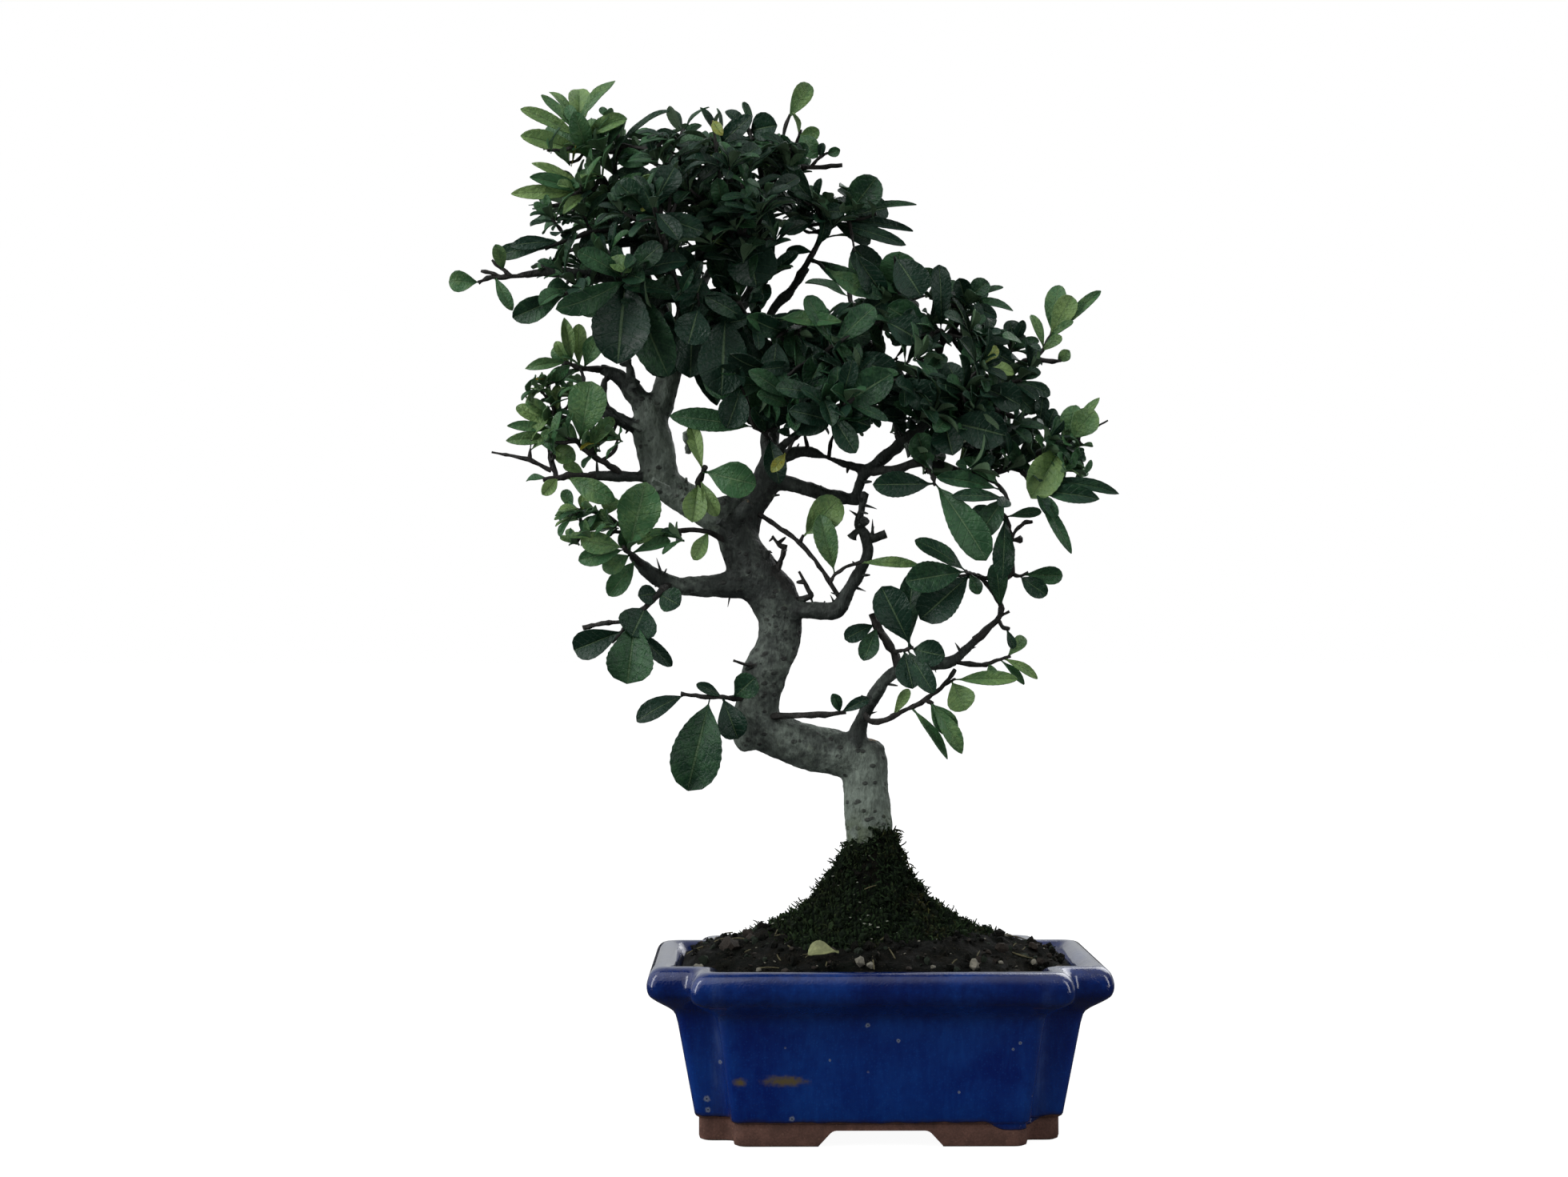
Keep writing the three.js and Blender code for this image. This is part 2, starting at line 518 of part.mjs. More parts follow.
function ruleLeaf(curves, size, i, count, draws, attempt) {
  const each = Math.ceil(count / curves.length);
  const share = 1 - (RULE.spread * Math.floor(i / curves.length)) / each;
  const { foot, along } = stemPlace(curves, (i % curves.length) + share, i + 2);
  const length = size * (0.7 + 0.5 * draws[0]) * (1 - RULE.shrink * attempt);
  const turn = i * GOLDEN_ANGLE + RULE.jitter * draws[1] + attempt * RULE.retry;
  const lean = THREE.MathUtils.lerp(RULE.wide, RULE.close, share) + RULE.jitter * (draws[2] - 0.5);
  const side = new THREE.Vector3().crossVectors(along, new THREE.Vector3(0.1, 0, 1)).normalize();
  const other = new THREE.Vector3().crossVectors(side, along);
  const way = along.clone().multiplyScalar(Math.cos(lean))
    .addScaledVector(side, Math.cos(turn) * Math.sin(lean))
    .addScaledVector(other, Math.sin(turn) * Math.sin(lean))
    .normalize();
  const outward = new THREE.Vector3(foot.x - CROWN_CENTRE.x, foot.y, 0).normalize();
  const up = new THREE.Vector3(0, 0, 0.6)
    .addScaledVector(outward, 0.4)
    .add(new THREE.Vector3(0, -draws[3], 0));
  up.addScaledVector(way, -up.dot(way)).normalize();
  const width = length * THREE.MathUtils.lerp(RULE.slim, RULE.fat, draws[3]);
  return { foot, along: way, up, length, width };
}

// Leafy stems: tone of the leaves, how many more leaves are set by rule and their size, the stems
// [x, z, depth, radius] from inside the limb outwards, and the leaves set by hand.
const SPRAYS = [
  // The top of the tall left crown.
  { tone: 'fresh', more: 2, size: 15,
    stems: [[[-119, 417, 5, 1.4], [-127, 429, -1, 1.2], [-132, 440, -6, 1], [-134, 450, -9, 0.8]]],
    keys: [[0.4, -135, 453.5, -18, 9.5, 0], [0.55, -159, 443.5, -14, 8.5, 20],
      [0.85, -159.5, 455, -12, 6.5, 30],
      [0.95, -150, 461.5, -6, 5.5, 40], [1, -146, 463.5, 3, 5, 50], [1, -118, 470, -5, 6, 35],
      [0.8, -111.5, 451, -12, 8, 30], [0.9, -133, 466, 2, 10, 5], [0.7, -148, 447, 4, 9, 20]] },
  { tone: 'fresh', more: 2, size: 16,
    stems: [[[-116, 411, 6, 1.4], [-126, 416, -6, 1.1], [-135, 417, -14, 0.9]]],
    keys: [[0.8, -163.5, 417, -18, 6.5, 15], [0.6, -154, 431.5, -8, 5.5, 45], [0.75, -155, 424.5, -15, 7, 30],
      [0.35, -107, 426, -18, 5.5, 25], [0.9, -140, 408.5, -22, 5, 30]] },
  { tone: 'dark', more: 3, size: 18,
    stems: [[[-110, 398, 8, 1.5], [-122, 400, -8, 1.2], [-136, 397, -18, 1], [-148, 392, -24, 0.9]]],
    keys: [[0.85, -163.5, 394, -27, 6.5, 20], [1, -170, 389.5, -26, 7.5, 20], [0.45, -127, 386, -26, 9, 10],
      [0.6, -145, 409, -18, 7, 20]] },
  { tone: 'fresh', more: 0, size: 10,
    stems: [[[-152, 381, -19, 1.2], [-166, 379.3, -20, 1.2], [-173, 379, -21, 1], [-178, 376.6, -22, 0.8]],
      [[-163, 379.7, -20, 1.1], [-169, 384, -20, 0.9], [-172, 387, -20, 0.6]],
      [[-168, 379.3, -20.3, 1], [-172, 381, -21, 0.9], [-177, 382, -21, 0.6]]],
    keys: [[1, -191.5, 377.5, -22, 9.5, 0], [0.6, -163, 364.5, -24, 5.5, 0],
      [1.4, -170.5, 394, -24, 6, 10]] },
  { tone: 'dark', more: 2, size: 20,
    stems: [[[-128, 380, -14, 1.3], [-134, 375, -27, 1.1], [-139, 371, -36, 0.9]]],
    keys: [[1, -162.5, 361, -38, 11, 0], [0.7, -147, 374, -34, 9, 15], [0.8, -127, 362, -40, 9, 10]] },
  { tone: 'dark', more: 1, size: 22,
    stems: [[[-112, 376, -4, 1.4], [-112, 379, -20, 1.2], [-112, 378, -33, 1]]],
    keys: [[1, -141, 364, -37, 11.5, -25], [1, -133, 391, -39, 10, 20], [0.95, -96, 394, -40, 11, 25],
      [0.9, -86, 388, -38, 10, 30], [0.85, -115.5, 341.5, -36, 25, 0], [0.6, -93, 335, -26, 18, 0]] },
  { tone: 'dark', more: 1, size: 22,
    stems: [[[-84.5, 366, 9.5, 1.4], [-82, 374, -6, 1.2], [-81, 380, -17, 1]]],
    keys: [[1, -83, 334, -22, 17, 0], [0.5, -71, 322, -6, 15, 0], [0.9, -100, 372, -18, 11, 10]] },
  { tone: 'dark', more: 1, size: 22,
    stems: [[[-65, 360, 13, 1.4], [-62, 365, -3, 1.2], [-61, 368, -15, 1]]],
    keys: [[0.9, -68, 325, -21, 20, 0], [1, -58, 396, -18, 12, 0], [0.6, -48, 341, -12, 10, 0],
      [1, -74, 389, -16, 10, 10]] },
  { tone: 'dark', more: 2, size: 18,
    stems: [[[-56, 373, 15, 1.4], [-50, 377, 0, 1.2], [-47, 380, -10, 1]]],
    keys: [[0.6, -55, 363, -14, 8, 0], [1, -51, 400, -14, 10, 0], [0.8, -35, 391, -10, 6, 20]] },
  { tone: 'dark', more: 3, size: 17,
    stems: [[[-83, 427, 12, 1.3], [-86, 437, 7, 1], [-86, 446, 4, 0.8]]],
    keys: [[1, -76, 457.5, 2, 3.5, 65], [0.9, -99, 444, 0, 5, 30], [1, -92, 456, 8, 5, 40]] },
  { tone: 'dark', more: 3, size: 17,
    stems: [[[-114, 407, 7, 1.4], [-117, 426, 2, 1.1], [-115.5, 439, -3, 0.8]]],
    keys: [[1, -93.5, 456, -6, 4.5, 60], [1, -94, 440, -8, 4.5, 60], [0.9, -103, 431, -14, 9, 10],
      [0.7, -98, 421, -16, 10, 5]] },
  { tone: 'dark', more: 3, size: 18,
    stems: [[[-80, 416, 13, 1.3], [-74, 430, 5, 1.1], [-70, 443, -1, 0.8]]],
    keys: [[1, -78.5, 456, -3, 4.5, 45], [1, -71, 455.5, 4, 3.5, 60], [0.8, -87, 440, -8, 9, 10],
      [0.9, -56, 452, -6, 9, 15]] },
  { tone: 'dark', more: 3, size: 19,
    stems: [[[-50, 419, 9.5, 1.4], [-53, 436, 1, 1.1], [-57, 446, -5, 0.8]]],
    keys: [[1, -44.5, 448, -12, 13, 10], [1, -59, 458.5, -4, 5, 50], [0.6, -68, 436, -12, 8, 25],
      [0.8, -38, 439, -10, 9, 10]] },
  { tone: 'fresh', more: 1, size: 14,
    stems: [[[-51, 410, 11, 1.3], [-44, 426, 16, 1.1], [-36, 438, 14, 0.9], [-33, 446, 11, 0.8]],
      [[-42.5, 428.5, 16, 0.9], [-41, 444, 16, 0.8], [-38, 453, 15, 0.7]]],
    keys: [[0.95, -26, 434, 4, 9, 0], [0.8, -25, 446, 10, 7, 10], [1.98, -29.5, 467, 13, 9, 0]] },
  { tone: 'dark', more: 0, size: 9,
    stems: [[[-49, 422, 9, 1.4], [-40, 428.5, 5, 1.2], [-27, 429, 2, 1.1], [-14.5, 430, 0, 1]],
      [[-29, 429, 2.5, 0.9], [-24, 434, 0, 0.8], [-21, 435.5, -1, 0.7]]],
    keys: [[1.9, -15.5, 436.5, -3, 4.5, 0], [1.5, -23, 440, -2, 4, 20], [0.5, -31, 440, -4, 7, 10]] },
  { tone: 'dark', more: 4, size: 16,
    stems: [[[-38, 373, 8, 1.5], [-32, 383, 1, 1.4], [-25, 395, -1, 1.3], [-22, 404, -3, 1.1],
      [-12, 406, -7, 0.9]],
      [[-23.5, 400, -2, 1.1], [-25, 407, -8, 1], [-27, 414, -14, 0.8]]],
    keys: [[1.95, -36, 417, -18, 4, 45], [1.9, -40, 428.5, -16, 10, 0], [1.6, -41.5, 400, -14, 8, 10],
      [2, -25, 424, -16, 4, 30], [1.8, -14, 409, -16, 8, 20], [1, 1, 424.5, -12, 15, 0],
      [0.95, -18.5, 428, -2, 9, 20], [1, 19, 412, -9, 4, 50], [1, 17.5, 401, -5, 5, 35],
      [0.97, 14, 394.5, -12, 6, 20], [0.85, -2, 394.5, -6, 8, 20], [0.98, 6, 411, -2, 12, 10],
      [0.45, 3, 370, -18, 9, 5], [0.55, -40, 391.5, 1, 5, 30]] },
  { tone: 'dark', more: 3, size: 20,
    stems: [[[-55, 380, 15, 1.5], [-62, 390, -5, 1.2], [-66, 402, -22, 1], [-68, 410, -30, 0.9]]],
    keys: [[0.95, -80, 406, -36, 6, 20], [1, -71, 424, -38, 8, 0], [0.9, -54, 403, -36, 6, 20],
      [0.75, -45, 418, -26, 11, 5], [0.6, -80, 396, -20, 10, 10]] },
  { tone: 'dark', more: 4, size: 20,
    stems: [[[-94.5, 392, -31, 1.4], [-98, 406, -50, 1.1], [-100, 414, -60, 0.9]]],
    keys: [[0.9, -90, 429, -58, 12, 0], [0.5, -116, 422, -52, 11, 10], [0.7, -78, 400, -58, 10, 0],
      [0.8, -88, 396, -62, 9, 20]] },
  // The middle of the crown.
  { tone: 'dark', more: 2, size: 20,
    stems: [[[-46.5, 357, 11.5, 1.4], [-40, 358, -2, 1.1], [-34, 357, -12, 0.9]]],
    keys: [[0.4, -12.5, 358.5, -18, 6.5, 15], [0.9, -36, 343, -20, 10, 0], [0.8, -14, 348, -22, 11, 5]] },
  { tone: 'dark', more: 2, size: 20,
    stems: [[[-29, 341.6, -6.5, 1.3], [-22, 346, -20, 1.1], [-18, 349, -28, 0.9]]],
    keys: [[0.8, -11, 344.5, -32, 5, 10], [0.6, -30, 330, -30, 12, 0], [1, 0, 366, -30, 12, 10],
      [1, -30, 371, -30, 10, 20]] },
  { tone: 'dark', more: 2, size: 22,
    stems: [[[-26, 315, -27, 1.3], [-18, 320, -38, 1.1], [-12, 323, -44, 0.9]]],
    keys: [[0.3, -38, 313, -42, 13, 0], [0.8, 8, 336, -48, 15, 5], [1, 6, 314.5, -50, 5, 30],
      [0.5, -9, 301, -44, 10, 0], [0.9, -10, 342, -50, 8, 0]] },
  { tone: 'dark', more: 0, size: 22,
    stems: [[[-46.5, 302, 7, 1.6], [-48, 308, -8, 1.2], [-54, 312, -14, 1]]],
    keys: [[1, -92, 317, -18, 10, 5], [0.7, -30, 291, -16, 12, 0], [0.5, -43, 287, -14, 10, 0],
      [0.9, -51, 334, -18, 12, 0], [0.8, -36, 327, -16, 12, 0]] },
  { tone: 'fresh', more: 0, size: 18,
    stems: [[[-80, 277, 0, 1.8], [-79, 287, -13, 1.4], [-76, 294, -22, 1.1]]],
    keys: [[0.5, -82, 269, -18, 11, 0], [0.9, -82.5, 312.5, -16, 7, 0], [0.7, -71, 272, -17, 7, 0],
      [1, -53.5, 286, -26, 16, 0]] },
  { tone: 'fresh', more: 0, size: 14,
    stems: [[[-60, 258, 0, 1.6], [-76, 265, -12, 1.2], [-88, 265.3, -14, 1.1], [-102, 265, -15, 1],
      [-117, 264.5, -16, 0.8]],
      [[-110, 264.8, -15.5, 0.9], [-122, 272.5, -14, 0.9], [-132, 274, -13, 0.8], [-142, 274.5, -13, 0.6]]],
    keys: [[0.35, -88.5, 259, -18, 9, 0], [0.28, -81, 253, -20, 7, 0], [1.9, -139.5, 283.5, -12, 5.5, 0],
      [1.8, -130, 281.5, -14, 5, 10], [1.4, -131.5, 267.5, -17, 6.5, 0], [1.3, -118, 281, -10, 9, 0]] },
  // The right crown.
  { tone: 'dark', more: 2, size: 20,
    stems: [[[5, 363, 14, 1.3], [9, 370, 4, 1], [11, 371, -6, 0.8]]],
    keys: [[0.8, -9.5, 393, -6, 12, 0], [1, 11.5, 391, -14, 17, 5], [1, 28, 382, -12, 10, 15],
      [0.9, -6, 363, -14, 10, 15]] },
  { tone: 'dark', more: 2, size: 18,
    stems: [[[31, 350, 3.5, 1.4], [30, 355, -8, 1.1], [26, 354, -16, 0.9]],
      [[30.6, 353.5, -5, 1], [41, 352, -12, 0.9], [48, 350, -18, 0.8]]],
    keys: [[1, 6, 366, -20, 15, 0], [0.6, 29.5, 385, -10, 9, 10], [1, 8, 350, -16, 8, 40],
      [1.5, 60, 353, -20, 7, 20], [1.9, 62, 341, -24, 9, 0], [1.8, 43, 341, -26, 9, 10]] },
  { tone: 'dark', more: 2, size: 16,
    stems: [[[36, 357, 4, 1.2], [40, 366, -1, 0.9], [42, 370, -4, 0.8]]],
    keys: [[1, 51, 377.5, -6, 9, 10], [1, 58, 375, -4, 4, 50], [0.9, 62.5, 366, -6, 5, 40],
      [0.7, 55, 361.5, -10, 6, 30], [0.9, 38, 379, -9, 8, 10], [0.8, 31, 376, 4, 9, 20]] },
  { tone: 'dark', more: 2, size: 13,
    stems: [[[58, 336.5, -8.5, 1.2], [61, 346, -7, 0.9], [63, 352, -6, 0.8]]],
    keys: [[1, 60.5, 360, -6, 7.5, 10], [0.9, 67.5, 353.5, -6, 6, 20], [0.7, 74, 351, -10, 5, 30]] },
  { tone: 'fresh', more: 0, size: 12,
    stems: [[[59, 337, -8.6, 1.3], [66, 341, -9.5, 1.2], [72, 342.5, -10, 1.2], [80, 341.5, -10.5, 1],
      [84, 342, -13, 0.8]],
      [[71, 342.4, -10, 1], [76, 347, -10, 0.9], [80, 355, -10, 0.8]],
      [[70, 342, -9.8, 0.8], [70.8, 338, -10.5, 0.3]]],
    keys: [[1.55, 71, 363, -9, 5, 30], [2, 83, 376.5, -6, 9.5, 10], [1.95, 89, 371, -13, 10, 0],
      [1.9, 102, 373.5, -10, 5, 20], [1.6, 84, 353, -14, 5, 20], [1.85, 89, 360, -15, 4, 30],
      [0.95, 88, 346, -14, 5.5, 0]] },
  { tone: 'dark', more: 2, size: 16,
    stems: [[[52, 332.6, -8, 1.3], [60, 332, -18, 1], [66, 333, -24, 0.8]]],
    keys: [[0.9, 79, 327, -26, 6, 20], [0.7, 73.5, 325, -30, 5, 30], [1, 69, 339, -26, 6, 10],
      [0.5, 72, 319, -26, 8, 10]] },
  { tone: 'dark', more: 3, size: 21,
    stems: [[[29, 319, -5.5, 1.5], [31, 317, -24, 1.2], [32, 314, -36, 1]],
      [[30.5, 317.4, -20, 1.1], [37, 323, -30, 1], [41, 328, -38, 0.8]]],
    keys: [[0.7, 35, 299.5, -38, 14, -10], [1, 59.5, 308, -42, 17, 5], [0.5, 13, 333, -22, 11, 20],
      [0.6, 25, 347, -22, 9, 0], [1.9, 29, 325, -44, 8, 20], [2, 28, 332, -46, 7, 20],
      [1.8, 33, 341, -34, 9, 10]] },
  { tone: 'dark', more: 2, size: 15,
    stems: [[[43, 327.4, -7, 1.4], [56, 319, -16, 1.2], [68, 315, -21, 1], [76, 312, -25, 0.9],
      [80, 308, -29, 0.8]]],
    keys: [[0.7, 76, 326, -24, 6.5, 0], [0.9, 81, 320, -30, 6, 10], [0.8, 55, 305, -34, 11, 10]] },
  { tone: 'fresh', more: 0, size: 14,
    stems: [[[72, 299, -25, 1.1], [82, 303.6, -26, 1], [90, 307, -28, 0.9], [97, 310.5, -28, 0.8],
      [105, 315, -28, 0.4]],
      [[82, 303.6, -26, 0.8], [86, 304, -30, 0.8], [89, 307, -34, 0.7]]],
    keys: [[1.9, 99, 319.5, -36, 12, 0], [1.7, 101, 325.5, -32, 5, 30], [1.4, 71.5, 281.5, -36, 15, 0],
      [1.8, 90, 322, -28, 10, 10]] },
  { tone: 'dark', more: 1, size: 15,
    stems: [[[64, 295, -25, 1.1], [70, 287, -32, 1], [74, 281, -36, 0.8]]],
    keys: [[0.5, 110, 283.5, -38, 5.5, 25], [0.9, 101, 280, -40, 8, 10], [1, 81.5, 272, -42, 6, 20],
      [1, 88.5, 255, -40, 5.5, 15], [0.35, 60.5, 305.5, -32, 6, 0]] },
  { tone: 'dark', more: 1, size: 16,
    stems: [[[51, 291, -24, 1.2], [57, 284, -34, 1], [60, 279, -40, 0.8]]],
    keys: [[1, 35, 281, -44, 6, 20], [0.6, 29, 290, -42, 7, 20], [0.9, 46, 262, -44, 11, 0],
      [0.5, 40, 298, -34, 7, 30]] },
  { tone: 'dark', more: 1, size: 18,
    stems: [[[23, 296.3, -18, 1.3], [26, 290, -30, 1], [27, 286, -38, 0.8]]],
    keys: [[1, -1, 286, -44, 11, 0], [0.9, 50, 254, -46, 15, 10], [0.7, 48, 289, -38, 7, 25],
      [0.5, 19, 309, -30, 12, 0]] },
  // The lower right.
  { tone: 'dark', more: 0, size: 13,
    stems: [[[45, 216, -13, 1.8], [56, 227, -13, 1.6], [55.5, 234, -13, 1.2], [51, 240.5, -13, 1.2],
      [46, 244.6, -13, 1.4], [37, 245, -13, 1]],
      [[47, 244, -13, 1.3], [54, 244, -13, 1.3], [61, 245, -13, 1.2], [61.5, 255, -13, 1.1],
        [62, 263, -13, 1],
        [67, 268.5, -13, 0.9], [71, 269.5, -14, 0.8]],
      [[61.5, 261, -13, 0.9], [65, 261, -13, 1.7], [66.5, 261, -13, 1]],
      [[46, 244.6, -13, 1], [43, 246, -21, 1], [41, 247, -26, 0.9]],
      [[60.5, 246, -13, 0.9], [65, 245, -14, 0.8], [69, 246.6, -15, 0.7]],
      [[55, 226, -13, 1], [57.5, 222, -14, 0.9], [60.5, 221, -15, 0.7]],
      [[61.5, 260, -13, 0.9], [60, 269, -20, 0.9], [58, 273, -23, 0.8]],
      [[60.5, 229, -13, 0.5], [56.5, 227, -13, 1]]],
    keys: [[4, 14, 242.5, -30, 13.5, 5], [3.5, 21, 226, -28, 16, 0], [3.9, 19, 262, -26, 9, 30],
      [3.7, 47, 237, -24, 6, 0], [4.95, 84.5, 245, -17, 8, 0], [4.5, 77, 236.5, -18, 8.5, 0],
      [0.35, 54.5, 250, -20, 9, 0], [5.9, 62.5, 212.5, -16, 4, 10], [7, 57.5, 243.5, -26, 9.5, 0],
      [6.7, 44, 275, -28, 6, 20], [6.8, 75, 274, -24, 5, 20]] },
  { tone: 'fresh', more: 0, size: 13,
    stems: [[[-54, 274, 0, 1.2], [-42, 266, -8, 1.1], [-34, 260, -12, 1], [-25, 249.5, -15, 1],
      [-15, 234, -13, 1.1]],
      [[-20, 242, -14.6, 0.9], [-18, 245.5, -17, 0.9], [-13, 249, -19, 0.9], [-5, 251.5, -20, 0.8]],
      [[-34, 260, -12, 0.9], [-32, 263, -15, 0.9]]],
    keys: [[1.95, 20, 250, -24, 5, 25], [1.4, -24.5, 272, -24, 10, 0], [3, -16, 279, -20, 15, 0]] },
  { tone: 'dark', more: 0, size: 16,
    stems: [[[12, 202.6, -10.5, 2], [7, 213, -9, 2], [1, 222, -7, 1.8], [-1, 228, -6, 1.4]],
      [[8, 211, -9.3, 1.2], [14, 212, -20, 1], [17, 213, -26, 0.8]]],
    keys: [[1.95, 3, 240, -30, 15.5, 0], [1.8, 31, 209, -29, 12, 0], [1.5, 17, 194.5, -28, 12, 0],
      [1.7, 26, 193, -32, 9, 0], [1.9, 17, 248, -20, 10, 10], [0.7, -5, 207, -16, 9, 0],
      [0.8, -13, 217, -14, 8, 10]] },
  { tone: 'fresh', more: 0, size: 12,
    stems: [[[33, 206.4, -13, 1.1], [48, 205, -15, 1], [55, 207, -15, 0.9], [61, 209, -15, 0.8]]],
    keys: [[0.95, 67.5, 218, -15, 6, 0], [0.9, 73.5, 199.5, -17, 4.5, 20], [0.85, 67.5, 196.5, -14, 4, 30],
      [0.6, 53, 197, -22, 6, 30]] },
  { tone: 'fresh', more: 0, size: 12,
    stems: [[[-5, 184, -6, 1.6], [-2, 180, -13, 1.4], [4, 180, -15, 1.2], [9, 182.5, -17, 1.2],
      [16, 186, -18, 1.1],
      [22, 189, -18, 1.1], [31, 196, -17, 1], [36, 203, -15, 1]],
      [[22, 189, -18, 0.9], [24, 188.5, -21, 0.8], [26, 188, -23, 0.7]],
      [[31, 196, -17, 0.9], [34.5, 198, -20, 0.8], [36, 198.6, -23, 0.7]]],
    keys: [[1.9, 39.5, 165.5, -26, 7.5, 15], [1.6, 36, 174, -22, 10, 0], [0.68, 33, 163, -21, 5, 30],
      [0.55, 15, 194, -20, 5, 0], [2.95, 64, 198.5, -26, 6.5, 15], [2.5, 41, 185, -25, 13, 0]] },
  { tone: 'dark', more: 0, size: 12,
    stems: [[[-50, 182, -4, 1.7], [-35, 182.3, -12, 1.4], [-20, 183, -13, 1.3], [-13, 184, -14, 1]]],
    keys: [[0.9, -19, 192, -18, 5, 20], [0.95, -3, 190, -17, 5, 10]] },
  // The lower left.
  { tone: 'dark', more: 0, size: 14,
    stems: [[[-52, 190, -3, 1.6], [-66, 190.3, -10, 1.3], [-76, 191, -13, 1.1], [-87, 192, -15, 0.9]]],
    keys: [[0.97, -107, 180.5, -19, 10, 25], [0.66, -84, 149, -20, 22, 0], [0.5, -61.5, 172, -14, 13, 0],
      [0.55, -80, 196.5, -14, 5, 20], [0.45, -54, 199, -17, 12, 0]] },
  { tone: 'dark', more: 0, size: 14,
    stems: [[[-92, 242, -3.5, 1.8], [-96, 238, -14, 1.6], [-103, 231, -19, 1.4], [-111, 222, -21, 1.2],
      [-118, 215, -22, 0.9]],
      [[-108, 225.5, -20.5, 1.1], [-116, 224, -18, 1.1], [-124, 223.5, -17, 1.1], [-131, 221.5, -17, 1]]],
    keys: [[0.5, -109, 218, -26, 18, 0], [0.35, -88, 232, -20, 12, 10], [0.75, -111, 196.5, -27, 20, 0],
      [0.9, -91, 204.5, -23, 7, 10], [1, -135, 211.5, -20, 13, 0], [0.3, -106, 236, -22, 9, 0]] },
  { tone: 'fresh', more: 0, size: 14,
    stems: [[[-103, 248.6, -4.7, 1.6], [-110, 255, -16, 1.2], [-113, 258, -22, 1]]],
    keys: [[0.6, -103, 286.5, -26, 19, 0], [1, -132, 261, -24, 10, 0], [0.9, -133, 252, -22, 8.5, 0],
      [0.6, -122, 247.5, -16, 9, 0], [0.45, -119.5, 236, -12, 9.5, 0], [0.5, -92, 261, -18, 6, 20]] },
  // The middle left.
  { tone: 'fresh', more: 1, size: 14,
    stems: [[[-122, 290, -7, 1.7], [-134, 289.6, -12, 1.6], [-141, 289.2, -12, 1.5], [-149, 288, -12, 1.2]],
      [[-143, 289, -12, 1.3], [-145.8, 300, -9, 1.1], [-144, 309, -8, 1], [-143, 317, -9, 0.8]],
      [[-145.2, 292, -11.5, 1.1], [-155, 297, -13, 1], [-164, 299, -13, 0.9], [-172, 300.5, -13, 0.5]],
      [[-155, 297, -13, 0.8], [-154.3, 306, -13, 0.3]]],
    keys: [[0.75, -149, 281.5, -18, 6, 0], [0.6, -118, 279, -21, 10, 0], [2, -156.5, 324, -11, 6, 15],
      [1.95, -161, 321, -6, 7, 10], [1.9, -165, 312.5, -14, 5, 20], [1.6, -165, 306, -15, 6, 10],
      [1.5, -135, 297, -15, 9, 0], [2, -143, 331, -10, 5, 20]] },
  { tone: 'fresh', more: 1, size: 14,
    stems: [[[-113, 290, -5.3, 1.6], [-121, 295.5, -11, 1.3], [-130, 301, -15, 1.1], [-134, 306, -18, 0.9]]],
    keys: [[0.9, -127.5, 332, -23, 17, 0], [0.7, -118, 316, -18, 7, 20], [1, -150, 309, -20, 6, 10]] },
  { tone: 'fresh', more: 2, size: 15,
    stems: [[[-120, 337.5, -3, 1.8], [-131, 338, -7, 1.4], [-139, 341, -9, 1.1]]],
    keys: [[1, -157, 338.5, -12, 5.5, 20], [0.9, -146, 333, -13, 6, 0], [0.95, -139.5, 361, -12, 6, 10],
      [1, -145, 347.5, -7, 7, 0], [0.8, -133, 358.5, -8, 7, 0], [0.5, -124, 353, -12, 9, 10]] },
  // Behind.
  { tone: 'dark', more: 6, size: 22,
    stems: [[[-123, 394, 38.5, 1.5], [-128, 403, 47, 1.2], [-132, 414, 52, 0.9]],
      [[-126, 399.5, 44, 1.1], [-133, 393, 47, 1], [-141, 390, 48, 0.8]]], keys: [] },
  { tone: 'dark', more: 6, size: 22,
    stems: [[[-68.7, 400, 42.6, 1.5], [-68, 412, 52, 1.2], [-70, 424, 56, 0.9]],
      [[-68, 407, 48.5, 1.1], [-60, 403, 53, 1], [-50, 402, 55, 0.8]]], keys: [] },
  { tone: 'dark', more: 6, size: 22,
    stems: [[[30, 315.5, 41, 1.4], [40, 322, 49, 1.1], [50, 328, 53, 0.9]],
      [[36, 319.5, 46, 1], [40, 310, 49, 0.9], [44, 301, 51, 0.8]]], keys: [] },
  { tone: 'dark', more: 6, size: 22,
    stems: [[[-8.5, 361, 35.3, 1.3], [-11, 371, 45, 1.1], [-12, 380, 50, 0.9]],
      [[-10, 367, 41, 1], [-2, 369, 46, 0.9], [8, 370, 50, 0.8]]], keys: [] },
];

// What is already in its place, so that nothing later crosses it.
const placed = [];

function withBox(geometry, owner) {
  geometry.computeBoundingBox();
  return { solid: toSolid(geometry), box: geometry.boundingBox, owner };
}

function overlap(one, other) {
  return one.box.intersectsBox(other.box) ? one.solid.intersect(other.solid).volume() : 0;
}

// A stem gives way to the wood it leaves: its foot ends a gap outside the bark.
const woodParts = [
  ...LIMBS.map(({ sides, path }) => withBox(limb(path, { sides }), 'wood')),
  ...THORNS.map((place) => withBox(thorn(place), 'wood')),
];
const barkRoom = LIMBS.map(({ sides, path }) => withBox(limb(path, { sides, extra: GAP }), 'wood'));

function makeStem(points, owner) {
  const stem = withBox(limb(points, { sides: 3 }), owner);
  barkRoom.filter((part) => part.box.intersectsBox(stem.box)).forEach((part) => {
    stem.solid = stem.solid.subtract(part.solid);
  });
  return stem;
}

const OWN_OVERLAP = 0.2;

function clearOf(leaf, owner, ownLeaves) {
  const room = withBox(blade(leaf, GAP), owner);
  const free = placed.every((part) => part.owner === owner || overlap(room, part) < 1e-6);
  return free && ownLeaves.every((part) => overlap(room, part) < OWN_OVERLAP);
}

